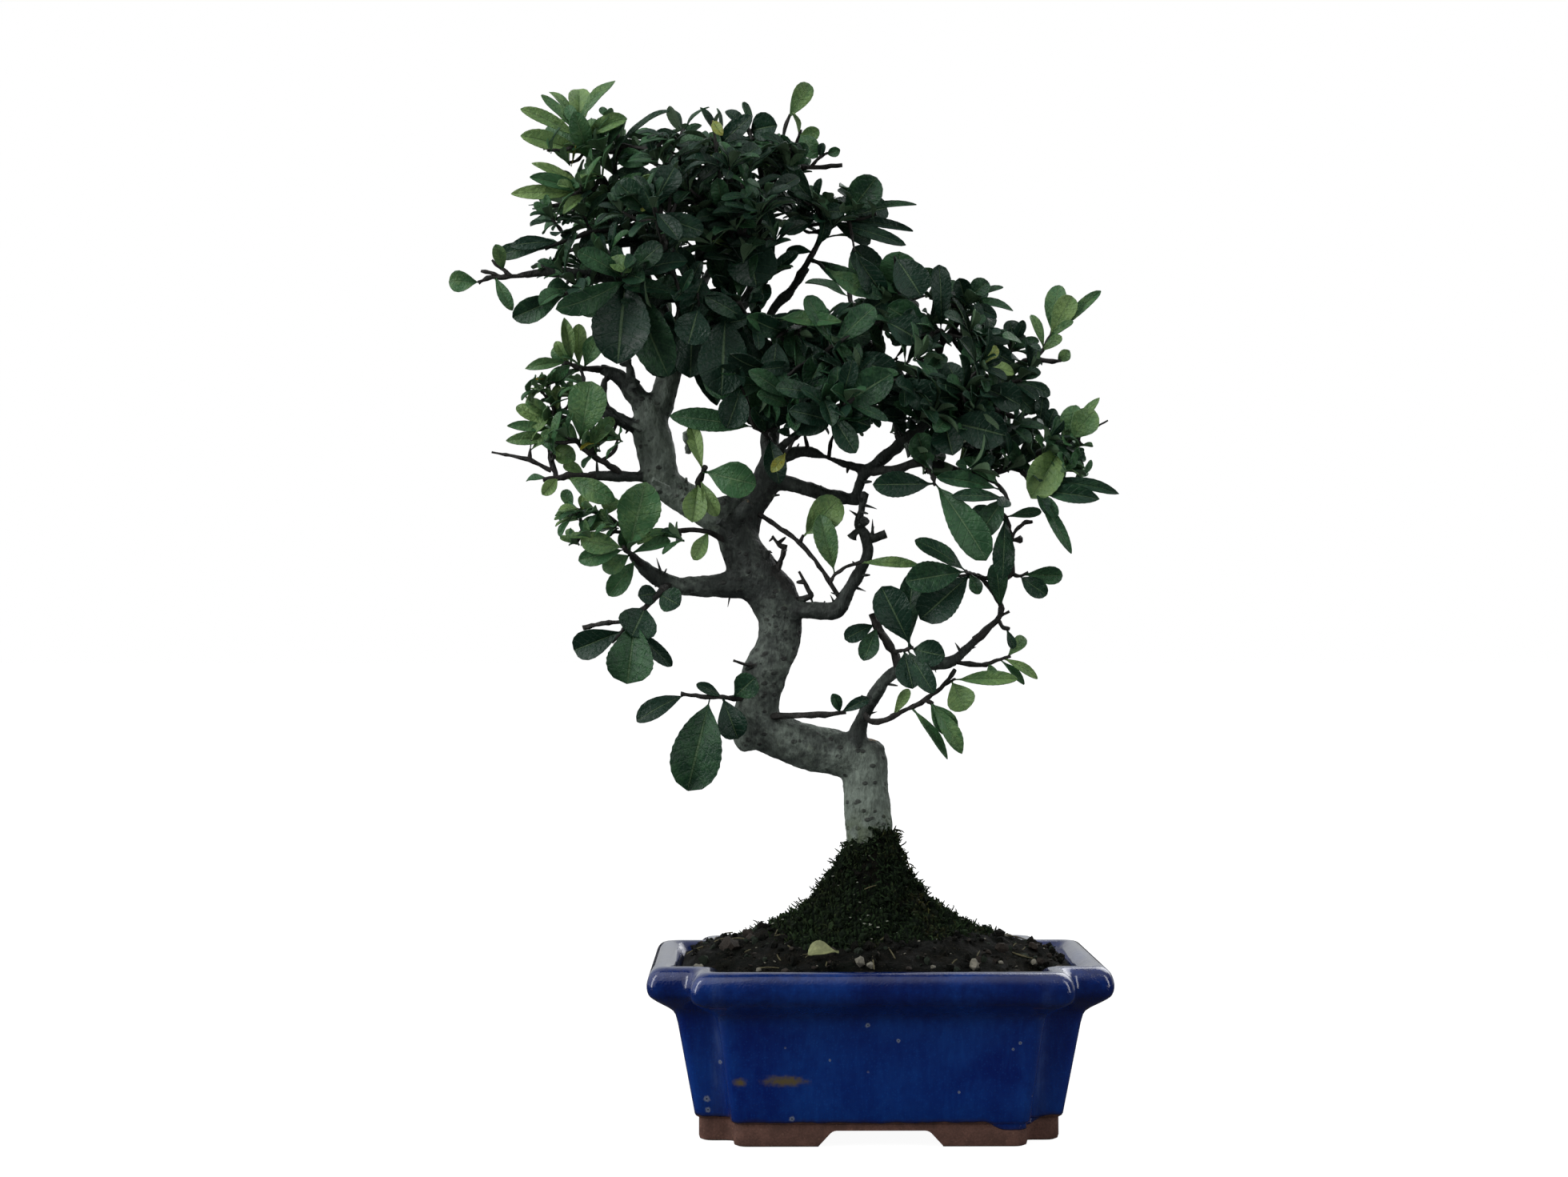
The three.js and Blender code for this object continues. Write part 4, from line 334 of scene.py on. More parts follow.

# Leafy stems: tone of the leaves, how many more leaves are set by rule and their size, the stems
# [x, z, depth, radius] from inside the limb outwards, and the leaves given one by one, each as
# [place on the stems, tip x, tip z, tip depth, width, roll in degrees from facing the front].
SPRAYS = [
    # The top of the tall left crown.
    ["fresh", 2, 15, [[[-119, 417, 5, 1.4], [-127, 429, -1, 1.2], [-132, 440, -6, 1],
     [-134, 450, -9, 0.8]]], [[0.4, -135, 453.5, -18, 9.5, 0], [0.55, -159, 443.5, -14, 8.5, 20],
     [0.85, -159.5, 455, -12, 6.5, 30], [0.95, -150, 461.5, -6, 5.5, 40], [1, -146, 463.5, 3, 5, 50],
     [1, -118, 470, -5, 6, 35], [0.8, -111.5, 451, -12, 8, 30], [0.9, -133, 466, 2, 10, 5],
     [0.7, -148, 447, 4, 9, 20]]],
    ["fresh", 2, 16, [[[-116, 411, 6, 1.4], [-126, 416, -6, 1.1], [-135, 417, -14, 0.9]]],
     [[0.8, -163.5, 417, -18, 6.5, 15], [0.6, -154, 431.5, -8, 5.5, 45], [0.75, -155, 424.5, -15, 7, 30],
     [0.35, -107, 426, -18, 5.5, 25], [0.9, -140, 408.5, -22, 5, 30]]],
    ["dark", 3, 18, [[[-110, 398, 8, 1.5], [-122, 400, -8, 1.2], [-136, 397, -18, 1],
     [-148, 392, -24, 0.9]]], [[0.85, -163.5, 394, -27, 6.5, 20], [1, -170, 389.5, -26, 7.5, 20],
     [0.45, -127, 386, -26, 9, 10], [0.6, -145, 409, -18, 7, 20]]],
    ["fresh", 0, 10, [[[-152, 381, -19, 1.2], [-166, 379.3, -20, 1.2], [-173, 379, -21, 1],
     [-178, 376.6, -22, 0.8]], [[-163, 379.7, -20, 1.1], [-169, 384, -20, 0.9], [-172, 387, -20, 0.6]],
     [[-168, 379.3, -20.3, 1], [-172, 381, -21, 0.9], [-177, 382, -21, 0.6]]],
     [[1, -191.5, 377.5, -22, 9.5, 0], [0.6, -163, 364.5, -24, 5.5, 0], [1.4, -170.5, 394, -24, 6, 10]]],
    ["dark", 2, 20, [[[-128, 380, -14, 1.3], [-134, 375, -27, 1.1], [-139, 371, -36, 0.9]]],
     [[1, -162.5, 361, -38, 11, 0], [0.7, -147, 374, -34, 9, 15], [0.8, -127, 362, -40, 9, 10]]],
    ["dark", 1, 22, [[[-112, 376, -4, 1.4], [-112, 379, -20, 1.2], [-112, 378, -33, 1]]],
     [[1, -141, 364, -37, 11.5, -25], [1, -133, 391, -39, 10, 20], [0.95, -96, 394, -40, 11, 25],
     [0.9, -86, 388, -38, 10, 30], [0.85, -115.5, 341.5, -36, 25, 0], [0.6, -93, 335, -26, 18, 0]]],
    ["dark", 1, 22, [[[-84.5, 366, 9.5, 1.4], [-82, 374, -6, 1.2], [-81, 380, -17, 1]]],
     [[1, -83, 334, -22, 17, 0], [0.5, -71, 322, -6, 15, 0], [0.9, -100, 372, -18, 11, 10]]],
    ["dark", 1, 22, [[[-65, 360, 13, 1.4], [-62, 365, -3, 1.2], [-61, 368, -15, 1]]],
     [[0.9, -68, 325, -21, 20, 0], [1, -58, 396, -18, 12, 0], [0.6, -48, 341, -12, 10, 0],
     [1, -74, 389, -16, 10, 10]]],
    ["dark", 2, 18, [[[-56, 373, 15, 1.4], [-50, 377, 0, 1.2], [-47, 380, -10, 1]]],
     [[0.6, -55, 363, -14, 8, 0], [1, -51, 400, -14, 10, 0], [0.8, -35, 391, -10, 6, 20]]],
    ["dark", 3, 17, [[[-83, 427, 12, 1.3], [-86, 437, 7, 1], [-86, 446, 4, 0.8]]],
     [[1, -76, 457.5, 2, 3.5, 65], [0.9, -99, 444, 0, 5, 30], [1, -92, 456, 8, 5, 40]]],
    ["dark", 3, 17, [[[-114, 407, 7, 1.4], [-117, 426, 2, 1.1], [-115.5, 439, -3, 0.8]]],
     [[1, -93.5, 456, -6, 4.5, 60], [1, -94, 440, -8, 4.5, 60], [0.9, -103, 431, -14, 9, 10],
     [0.7, -98, 421, -16, 10, 5]]],
    ["dark", 3, 18, [[[-80, 416, 13, 1.3], [-74, 430, 5, 1.1], [-70, 443, -1, 0.8]]],
     [[1, -78.5, 456, -3, 4.5, 45], [1, -71, 455.5, 4, 3.5, 60], [0.8, -87, 440, -8, 9, 10],
     [0.9, -56, 452, -6, 9, 15]]],
    ["dark", 3, 19, [[[-50, 419, 9.5, 1.4], [-53, 436, 1, 1.1], [-57, 446, -5, 0.8]]],
     [[1, -44.5, 448, -12, 13, 10], [1, -59, 458.5, -4, 5, 50], [0.6, -68, 436, -12, 8, 25],
     [0.8, -38, 439, -10, 9, 10]]],
    ["fresh", 1, 14, [[[-51, 410, 11, 1.3], [-44, 426, 16, 1.1], [-36, 438, 14, 0.9], [-33, 446, 11, 0.8]],
     [[-42.5, 428.5, 16, 0.9], [-41, 444, 16, 0.8], [-38, 453, 15, 0.7]]], [[0.95, -26, 434, 4, 9, 0],
     [0.8, -25, 446, 10, 7, 10], [1.98, -29.5, 467, 13, 9, 0]]],
    ["dark", 0, 9, [[[-49, 422, 9, 1.4], [-40, 428.5, 5, 1.2], [-27, 429, 2, 1.1], [-14.5, 430, 0, 1]],
     [[-29, 429, 2.5, 0.9], [-24, 434, 0, 0.8], [-21, 435.5, -1, 0.7]]], [[1.9, -15.5, 436.5, -3, 4.5, 0],
     [1.5, -23, 440, -2, 4, 20], [0.5, -31, 440, -4, 7, 10]]],
    ["dark", 4, 16, [[[-38, 373, 8, 1.5], [-32, 383, 1, 1.4], [-25, 395, -1, 1.3], [-22, 404, -3, 1.1],
     [-12, 406, -7, 0.9]], [[-23.5, 400, -2, 1.1], [-25, 407, -8, 1], [-27, 414, -14, 0.8]]],
     [[1.95, -36, 417, -18, 4, 45], [1.9, -40, 428.5, -16, 10, 0], [1.6, -41.5, 400, -14, 8, 10],
     [2, -25, 424, -16, 4, 30], [1.8, -14, 409, -16, 8, 20], [1, 1, 424.5, -12, 15, 0],
     [0.95, -18.5, 428, -2, 9, 20], [1, 19, 412, -9, 4, 50], [1, 17.5, 401, -5, 5, 35],
     [0.97, 14, 394.5, -12, 6, 20], [0.85, -2, 394.5, -6, 8, 20], [0.98, 6, 411, -2, 12, 10],
     [0.45, 3, 370, -18, 9, 5], [0.55, -40, 391.5, 1, 5, 30]]],
    ["dark", 3, 20, [[[-55, 380, 15, 1.5], [-62, 390, -5, 1.2], [-66, 402, -22, 1], [-68, 410, -30, 0.9]]],
     [[0.95, -80, 406, -36, 6, 20], [1, -71, 424, -38, 8, 0], [0.9, -54, 403, -36, 6, 20],
     [0.75, -45, 418, -26, 11, 5], [0.6, -80, 396, -20, 10, 10]]],
    ["dark", 4, 20, [[[-94.5, 392, -31, 1.4], [-98, 406, -50, 1.1], [-100, 414, -60, 0.9]]],
     [[0.9, -90, 429, -58, 12, 0], [0.5, -116, 422, -52, 11, 10], [0.7, -78, 400, -58, 10, 0],
     [0.8, -88, 396, -62, 9, 20]]],
    # The middle of the crown.
    ["dark", 2, 20, [[[-46.5, 357, 11.5, 1.4], [-40, 358, -2, 1.1], [-34, 357, -12, 0.9]]],
     [[0.4, -12.5, 358.5, -18, 6.5, 15], [0.9, -36, 343, -20, 10, 0], [0.8, -14, 348, -22, 11, 5]]],
    ["dark", 2, 20, [[[-29, 341.6, -6.5, 1.3], [-22, 346, -20, 1.1], [-18, 349, -28, 0.9]]],
     [[0.8, -11, 344.5, -32, 5, 10], [0.6, -30, 330, -30, 12, 0], [1, 0, 366, -30, 12, 10],
     [1, -30, 371, -30, 10, 20]]],
    ["dark", 2, 22, [[[-26, 315, -27, 1.3], [-18, 320, -38, 1.1], [-12, 323, -44, 0.9]]],
     [[0.3, -38, 313, -42, 13, 0], [0.8, 8, 336, -48, 15, 5], [1, 6, 314.5, -50, 5, 30],
     [0.5, -9, 301, -44, 10, 0], [0.9, -10, 342, -50, 8, 0]]],
    ["dark", 0, 22, [[[-46.5, 302, 7, 1.6], [-48, 308, -8, 1.2], [-54, 312, -14, 1]]],
     [[1, -92, 317, -18, 10, 5], [0.7, -30, 291, -16, 12, 0], [0.5, -43, 287, -14, 10, 0],
     [0.9, -51, 334, -18, 12, 0], [0.8, -36, 327, -16, 12, 0]]],
    ["fresh", 0, 18, [[[-80, 277, 0, 1.8], [-79, 287, -13, 1.4], [-76, 294, -22, 1.1]]],
     [[0.5, -82, 269, -18, 11, 0], [0.9, -82.5, 312.5, -16, 7, 0], [0.7, -71, 272, -17, 7, 0],
     [1, -53.5, 286, -26, 16, 0]]],
    ["fresh", 0, 14, [[[-60, 258, 0, 1.6], [-76, 265, -12, 1.2], [-88, 265.3, -14, 1.1],
     [-102, 265, -15, 1], [-117, 264.5, -16, 0.8]], [[-110, 264.8, -15.5, 0.9], [-122, 272.5, -14, 0.9],
     [-132, 274, -13, 0.8], [-142, 274.5, -13, 0.6]]], [[0.35, -88.5, 259, -18, 9, 0],
     [0.28, -81, 253, -20, 7, 0], [1.9, -139.5, 283.5, -12, 5.5, 0], [1.8, -130, 281.5, -14, 5, 10],
     [1.4, -131.5, 267.5, -17, 6.5, 0], [1.3, -118, 281, -10, 9, 0]]],
    # The right crown.
    ["dark", 2, 20, [[[5, 363, 14, 1.3], [9, 370, 4, 1], [11, 371, -6, 0.8]]], [[0.8, -9.5, 393, -6, 12, 0],
     [1, 11.5, 391, -14, 17, 5], [1, 28, 382, -12, 10, 15], [0.9, -6, 363, -14, 10, 15]]],
    ["dark", 2, 18, [[[31, 350, 3.5, 1.4], [30, 355, -8, 1.1], [26, 354, -16, 0.9]], [[30.6, 353.5, -5, 1],
     [41, 352, -12, 0.9], [48, 350, -18, 0.8]]], [[1, 6, 366, -20, 15, 0], [0.6, 29.5, 385, -10, 9, 10],
     [1, 8, 350, -16, 8, 40], [1.5, 60, 353, -20, 7, 20], [1.9, 62, 341, -24, 9, 0],
     [1.8, 43, 341, -26, 9, 10]]],
    ["dark", 2, 16, [[[36, 357, 4, 1.2], [40, 366, -1, 0.9], [42, 370, -4, 0.8]]],
     [[1, 51, 377.5, -6, 9, 10], [1, 58, 375, -4, 4, 50], [0.9, 62.5, 366, -6, 5, 40],
     [0.7, 55, 361.5, -10, 6, 30], [0.9, 38, 379, -9, 8, 10], [0.8, 31, 376, 4, 9, 20]]],
    ["dark", 2, 13, [[[58, 336.5, -8.5, 1.2], [61, 346, -7, 0.9], [63, 352, -6, 0.8]]],
     [[1, 60.5, 360, -6, 7.5, 10], [0.9, 67.5, 353.5, -6, 6, 20], [0.7, 74, 351, -10, 5, 30]]],
    ["fresh", 0, 12, [[[59, 337, -8.6, 1.3], [66, 341, -9.5, 1.2], [72, 342.5, -10, 1.2],
     [80, 341.5, -10.5, 1], [84, 342, -13, 0.8]], [[71, 342.4, -10, 1], [76, 347, -10, 0.9],
     [80, 355, -10, 0.8]], [[70, 342, -9.8, 0.8], [70.8, 338, -10.5, 0.3]]], [[1.55, 71, 363, -9, 5, 30],
     [2, 83, 376.5, -6, 9.5, 10], [1.95, 89, 371, -13, 10, 0], [1.9, 102, 373.5, -10, 5, 20],
     [1.6, 84, 353, -14, 5, 20], [1.85, 89, 360, -15, 4, 30], [0.95, 88, 346, -14, 5.5, 0]]],
    ["dark", 2, 16, [[[52, 332.6, -8, 1.3], [60, 332, -18, 1], [66, 333, -24, 0.8]]],
     [[0.9, 79, 327, -26, 6, 20], [0.7, 73.5, 325, -30, 5, 30], [1, 69, 339, -26, 6, 10],
     [0.5, 72, 319, -26, 8, 10]]],
    ["dark", 3, 21, [[[29, 319, -5.5, 1.5], [31, 317, -24, 1.2], [32, 314, -36, 1]],
     [[30.5, 317.4, -20, 1.1], [37, 323, -30, 1], [41, 328, -38, 0.8]]], [[0.7, 35, 299.5, -38, 14, -10],
     [1, 59.5, 308, -42, 17, 5], [0.5, 13, 333, -22, 11, 20], [0.6, 25, 347, -22, 9, 0],
     [1.9, 29, 325, -44, 8, 20], [2, 28, 332, -46, 7, 20], [1.8, 33, 341, -34, 9, 10]]],
    ["dark", 2, 15, [[[43, 327.4, -7, 1.4], [56, 319, -16, 1.2], [68, 315, -21, 1], [76, 312, -25, 0.9],
     [80, 308, -29, 0.8]]], [[0.7, 76, 326, -24, 6.5, 0], [0.9, 81, 320, -30, 6, 10],
     [0.8, 55, 305, -34, 11, 10]]],
    ["fresh", 0, 14, [[[72, 299, -25, 1.1], [82, 303.6, -26, 1], [90, 307, -28, 0.9], [97, 310.5, -28, 0.8],
     [105, 315, -28, 0.4]], [[82, 303.6, -26, 0.8], [86, 304, -30, 0.8], [89, 307, -34, 0.7]]],
     [[1.9, 99, 319.5, -36, 12, 0], [1.7, 101, 325.5, -32, 5, 30], [1.4, 71.5, 281.5, -36, 15, 0],
     [1.8, 90, 322, -28, 10, 10]]],
    ["dark", 1, 15, [[[64, 295, -25, 1.1], [70, 287, -32, 1], [74, 281, -36, 0.8]]],
     [[0.5, 110, 283.5, -38, 5.5, 25], [0.9, 101, 280, -40, 8, 10], [1, 81.5, 272, -42, 6, 20],
     [1, 88.5, 255, -40, 5.5, 15], [0.35, 60.5, 305.5, -32, 6, 0]]],
    ["dark", 1, 16, [[[51, 291, -24, 1.2], [57, 284, -34, 1], [60, 279, -40, 0.8]]],
     [[1, 35, 281, -44, 6, 20], [0.6, 29, 290, -42, 7, 20], [0.9, 46, 262, -44, 11, 0],
     [0.5, 40, 298, -34, 7, 30]]],
    ["dark", 1, 18, [[[23, 296.3, -18, 1.3], [26, 290, -30, 1], [27, 286, -38, 0.8]]],
     [[1, -1, 286, -44, 11, 0], [0.9, 50, 254, -46, 15, 10], [0.7, 48, 289, -38, 7, 25],
     [0.5, 19, 309, -30, 12, 0]]],
    # The lower right.
    ["dark", 0, 13, [[[45, 216, -13, 1.8], [56, 227, -13, 1.6], [55.5, 234, -13, 1.2],
     [51, 240.5, -13, 1.2], [46, 244.6, -13, 1.4], [37, 245, -13, 1]], [[47, 244, -13, 1.3],
     [54, 244, -13, 1.3], [61, 245, -13, 1.2], [61.5, 255, -13, 1.1], [62, 263, -13, 1],
     [67, 268.5, -13, 0.9], [71, 269.5, -14, 0.8]], [[61.5, 261, -13, 0.9], [65, 261, -13, 1.7],
     [66.5, 261, -13, 1]], [[46, 244.6, -13, 1], [43, 246, -21, 1], [41, 247, -26, 0.9]],
     [[60.5, 246, -13, 0.9], [65, 245, -14, 0.8], [69, 246.6, -15, 0.7]], [[55, 226, -13, 1],
     [57.5, 222, -14, 0.9], [60.5, 221, -15, 0.7]], [[61.5, 260, -13, 0.9], [60, 269, -20, 0.9],
     [58, 273, -23, 0.8]], [[60.5, 229, -13, 0.5], [56.5, 227, -13, 1]]], [[4, 14, 242.5, -30, 13.5, 5],
     [3.5, 21, 226, -28, 16, 0], [3.9, 19, 262, -26, 9, 30], [3.7, 47, 237, -24, 6, 0],
     [4.95, 84.5, 245, -17, 8, 0], [4.5, 77, 236.5, -18, 8.5, 0], [0.35, 54.5, 250, -20, 9, 0],
     [5.9, 62.5, 212.5, -16, 4, 10], [7, 57.5, 243.5, -26, 9.5, 0], [6.7, 44, 275, -28, 6, 20],
     [6.8, 75, 274, -24, 5, 20]]],
    ["fresh", 0, 13, [[[-54, 274, 0, 1.2], [-42, 266, -8, 1.1], [-34, 260, -12, 1], [-25, 249.5, -15, 1],
     [-15, 234, -13, 1.1]], [[-20, 242, -14.6, 0.9], [-18, 245.5, -17, 0.9], [-13, 249, -19, 0.9],
     [-5, 251.5, -20, 0.8]], [[-34, 260, -12, 0.9], [-32, 263, -15, 0.9]]], [[1.95, 20, 250, -24, 5, 25],
     [1.4, -24.5, 272, -24, 10, 0], [3, -16, 279, -20, 15, 0]]],
    ["dark", 0, 16, [[[12, 202.6, -10.5, 2], [7, 213, -9, 2], [1, 222, -7, 1.8], [-1, 228, -6, 1.4]],
     [[8, 211, -9.3, 1.2], [14, 212, -20, 1], [17, 213, -26, 0.8]]], [[1.95, 3, 240, -30, 15.5, 0],
     [1.8, 31, 209, -29, 12, 0], [1.5, 17, 194.5, -28, 12, 0], [1.7, 26, 193, -32, 9, 0],
     [1.9, 17, 248, -20, 10, 10], [0.7, -5, 207, -16, 9, 0], [0.8, -13, 217, -14, 8, 10]]],
    ["fresh", 0, 12, [[[33, 206.4, -13, 1.1], [48, 205, -15, 1], [55, 207, -15, 0.9], [61, 209, -15, 0.8]]],
     [[0.95, 67.5, 218, -15, 6, 0], [0.9, 73.5, 199.5, -17, 4.5, 20], [0.85, 67.5, 196.5, -14, 4, 30],
     [0.6, 53, 197, -22, 6, 30]]],
    ["fresh", 0, 12, [[[-5, 184, -6, 1.6], [-2, 180, -13, 1.4], [4, 180, -15, 1.2], [9, 182.5, -17, 1.2],
     [16, 186, -18, 1.1], [22, 189, -18, 1.1], [31, 196, -17, 1], [36, 203, -15, 1]], [[22, 189, -18, 0.9],
     [24, 188.5, -21, 0.8], [26, 188, -23, 0.7]], [[31, 196, -17, 0.9], [34.5, 198, -20, 0.8],
     [36, 198.6, -23, 0.7]]], [[1.9, 39.5, 165.5, -26, 7.5, 15], [1.6, 36, 174, -22, 10, 0],
     [0.68, 33, 163, -21, 5, 30], [0.55, 15, 194, -20, 5, 0], [2.95, 64, 198.5, -26, 6.5, 15],
     [2.5, 41, 185, -25, 13, 0]]],
    ["dark", 0, 12, [[[-50, 182, -4, 1.7], [-35, 182.3, -12, 1.4], [-20, 183, -13, 1.3],
     [-13, 184, -14, 1]]], [[0.9, -19, 192, -18, 5, 20], [0.95, -3, 190, -17, 5, 10]]],
    # The lower left.
    ["dark", 0, 14, [[[-52, 190, -3, 1.6], [-66, 190.3, -10, 1.3], [-76, 191, -13, 1.1],
     [-87, 192, -15, 0.9]]], [[0.97, -107, 180.5, -19, 10, 25], [0.66, -84, 149, -20, 22, 0],
     [0.5, -61.5, 172, -14, 13, 0], [0.55, -80, 196.5, -14, 5, 20], [0.45, -54, 199, -17, 12, 0]]],
    ["dark", 0, 14, [[[-92, 242, -3.5, 1.8], [-96, 238, -14, 1.6], [-103, 231, -19, 1.4],
     [-111, 222, -21, 1.2], [-118, 215, -22, 0.9]], [[-108, 225.5, -20.5, 1.1], [-116, 224, -18, 1.1],
     [-124, 223.5, -17, 1.1], [-131, 221.5, -17, 1]]], [[0.5, -109, 218, -26, 18, 0],
     [0.35, -88, 232, -20, 12, 10], [0.75, -111, 196.5, -27, 20, 0], [0.9, -91, 204.5, -23, 7, 10],
     [1, -135, 211.5, -20, 13, 0], [0.3, -106, 236, -22, 9, 0]]],
    ["fresh", 0, 14, [[[-103, 248.6, -4.7, 1.6], [-110, 255, -16, 1.2], [-113, 258, -22, 1]]],
     [[0.6, -103, 286.5, -26, 19, 0], [1, -132, 261, -24, 10, 0], [0.9, -133, 252, -22, 8.5, 0],
     [0.6, -122, 247.5, -16, 9, 0], [0.45, -119.5, 236, -12, 9.5, 0], [0.5, -92, 261, -18, 6, 20]]],
    # The middle left.
    ["fresh", 1, 14, [[[-122, 290, -7, 1.7], [-134, 289.6, -12, 1.6], [-141, 289.2, -12, 1.5],
     [-149, 288, -12, 1.2]], [[-143, 289, -12, 1.3], [-145.8, 300, -9, 1.1], [-144, 309, -8, 1],
     [-143, 317, -9, 0.8]], [[-145.2, 292, -11.5, 1.1], [-155, 297, -13, 1], [-164, 299, -13, 0.9],
     [-172, 300.5, -13, 0.5]], [[-155, 297, -13, 0.8], [-154.3, 306, -13, 0.3]]],
     [[0.75, -149, 281.5, -18, 6, 0], [0.6, -118, 279, -21, 10, 0], [2, -156.5, 324, -11, 6, 15],
     [1.95, -161, 321, -6, 7, 10], [1.9, -165, 312.5, -14, 5, 20], [1.6, -165, 306, -15, 6, 10],
     [1.5, -135, 297, -15, 9, 0], [2, -143, 331, -10, 5, 20]]],
    ["fresh", 1, 14, [[[-113, 290, -5.3, 1.6], [-121, 295.5, -11, 1.3], [-130, 301, -15, 1.1],
     [-134, 306, -18, 0.9]]], [[0.9, -127.5, 332, -23, 17, 0], [0.7, -118, 316, -18, 7, 20],
     [1, -150, 309, -20, 6, 10]]],
    ["fresh", 2, 15, [[[-120, 337.5, -3, 1.8], [-131, 338, -7, 1.4], [-139, 341, -9, 1.1]]],
     [[1, -157, 338.5, -12, 5.5, 20], [0.9, -146, 333, -13, 6, 0], [0.95, -139.5, 361, -12, 6, 10],
     [1, -145, 347.5, -7, 7, 0], [0.8, -133, 358.5, -8, 7, 0], [0.5, -124, 353, -12, 9, 10]]],
    # Behind.
    ["dark", 6, 22, [[[-123, 394, 38.5, 1.5], [-128, 403, 47, 1.2], [-132, 414, 52, 0.9]],
     [[-126, 399.5, 44, 1.1], [-133, 393, 47, 1], [-141, 390, 48, 0.8]]], []],
    ["dark", 6, 22, [[[-68.7, 400, 42.6, 1.5], [-68, 412, 52, 1.2], [-70, 424, 56, 0.9]],
     [[-68, 407, 48.5, 1.1], [-60, 403, 53, 1], [-50, 402, 55, 0.8]]], []],
    ["dark", 6, 22, [[[30, 315.5, 41, 1.4], [40, 322, 49, 1.1], [50, 328, 53, 0.9]], [[36, 319.5, 46, 1],
     [40, 310, 49, 0.9], [44, 301, 51, 0.8]]], []],
    ["dark", 6, 22, [[[-8.5, 361, 35.3, 1.3], [-11, 371, 45, 1.1], [-12, 380, 50, 0.9]], [[-10, 367, 41, 1],
     [-2, 369, 46, 0.9], [8, 370, 50, 0.8]]], []],
]


# Further rosettes fill the crown: [x, z, half width, half height, front, back, rosettes,
# leaf, tone, how far they hang]. A low tone darkens the leaves with painted shade.
MASSES = [
    [-128, 440, 20, 15, -14, 18, 11, 14, 0.45, 0], [-86, 431, 22, 15, -40, 29, 24, 15, 0.1, 0],
    [-50, 430, 20, 14, -28, 27, 20, 16, 0.12, 0], [-128, 408, 26, 14, -24, 26, 20, 14, 0.35, 0],
    [-94, 402, 24, 18, -50, 29, 28, 15, 0.05, 0], [-56, 402, 24, 20, -40, 29, 26, 16, 0.05, 0],
    [-18, 409, 20, 11, -18, 12, 10, 14, 0.12, 0], [-128, 382, 24, 9, -36, 10, 11, 16, 0.25, 0],
    [-95, 374, 20, 12, -38, 16, 9, 20, 0.02, 0.6], [-62, 365, 18, 20, -22, 18, 9, 24, 0.02, 1],
    [-40, 350, 18, 20, -24, 20, 11, 22, 0.08, 0.8], [-5, 350, 22, 18, -30, 27, 14, 18, 0.08, 0],
    [24, 362, 26, 16, -20, 23, 15, 16, 0.1, 0], [28, 330, 26, 18, -44, 29, 19, 17, 0.08, 0.3],
    [56, 342, 18, 14, -24, 12, 11, 13, 0.2, 0], [58, 312, 24, 13, -40, -6, 12, 15, 0.12, 0.2],
    [2, 322, 20, 13, -44, 26, 11, 19, 0.08, 0.5], [40, 296, 24, 8, -44, -16, 7, 17, 0.12, 0.5],
    [-33, 318, 18, 12, -40, 8, 10, 20, 0.1, 0.7], [82, 300, 16, 14, -38, -22, 6, 12, 0.4, 0.3],
    [-143, 325, 15, 12, -22, -4, 8, 11, 0.5, 0], [-130, 305, 18, 10, -22, -6, 9, 12, 0.45, 0.2],
    [-130, 268, 16, 9, -24, -8, 7, 11, 0.5, 0.3], [-88, 262, 20, 7, -22, -4, 3, 12, 0.4, 0.3],
    [-72, 348, 14, 18, -20, 12, 6, 26, 0.04, 1], [-54, 330, 14, 14, -24, 8, 7, 24, 0.08, 1],
    [-20, 333, 16, 12, -30, 10, 8, 19, 0.1, 0.6],
]

# Large single leaves on short stalks, as foot [x, z], tip [x, z], depth, width and tone.
BIG_LEAVES = [
    (-73, 450, -69, 444, -42, 4.5, 1.3), (-103, 416, -105, 409, -46, 5, 1.3),
    (-40, 300, -46, 292, -30, 5, 1.3), (-60, 402, -53, 376, -14, 22, 0.1),
    (-98, 365, -95, 334, -16, 19, 0.05), (-67, 364, -69, 326, -20, 22, 0.08),
    (-50, 345, -52, 324, -10, 12, 0.1), (-22, 383, -2, 372, -10, 9, 0.6), (-9, 391, 4, 371, -14, 11, 0.15),
    (9, 389, 21, 371, -20, 16, 0.05), (4, 360, 20, 351, -30, 16, 0.05), (-45, 361, -15, 359, -24, 7, 0.6),
    (-34, 353, -19, 331, -18, 14, 0.12), (-12, 345, 9, 335, -24, 14, 0.08),
    (-39, 335, -26, 317, -30, 12, 0.2), (-77, 381, -84, 360, -24, 14, 0.12),
    (-121, 388, -110, 382, -30, 9, 0.75), (-96, 415, -104, 425, -34, 8, 0.8),
    (-79, 366, -84, 349, -30, 16, 0.08), (-44, 352, -47, 330, -22, 14, 0.1),
    (-32, 331, -14, 326, -30, 11, 0.25), (-18, 318, -2, 312, -34, 12, 0.12),
    (-60, 330, -66, 312, -26, 14, 0.12), (12, 334, 26, 322, -40, 14, 0.06),
    (48, 330, 66, 322, -34, 13, 0.1),
]

# Places where the white background shows between the leaves: [x, z, radius].
OPENINGS = [
    [-141, 419, 4], [-135, 430, 3], [-104, 424.5, 2.5], [-104, 392, 4], [-99, 432, 2.5], [-52, 424, 3],
    [-34, 395, 4], [-34, 377, 3.5], [-32, 368, 3.5], [-74, 379, 2.5], [-60, 328, 3], [-68, 307, 7],
    [8, 344, 4], [15, 344, 5], [22, 344, 4], [-22, 290, 6], [36, 298, 2.5], [-76, 322, 4], [-110, 345, 6],
]


def seeded(seed):
    """Draws from 0 to 1 that follow from a seed, one for each call."""
    state = seed

    def draw():
        nonlocal state
        state = (state * 1664525 + 1013904223) % 4294967296
        return state / 4294967296

    return draw


def lerp(low, high, share):
    """A value between two, at a share of the way."""
    return low + (high - low) * share


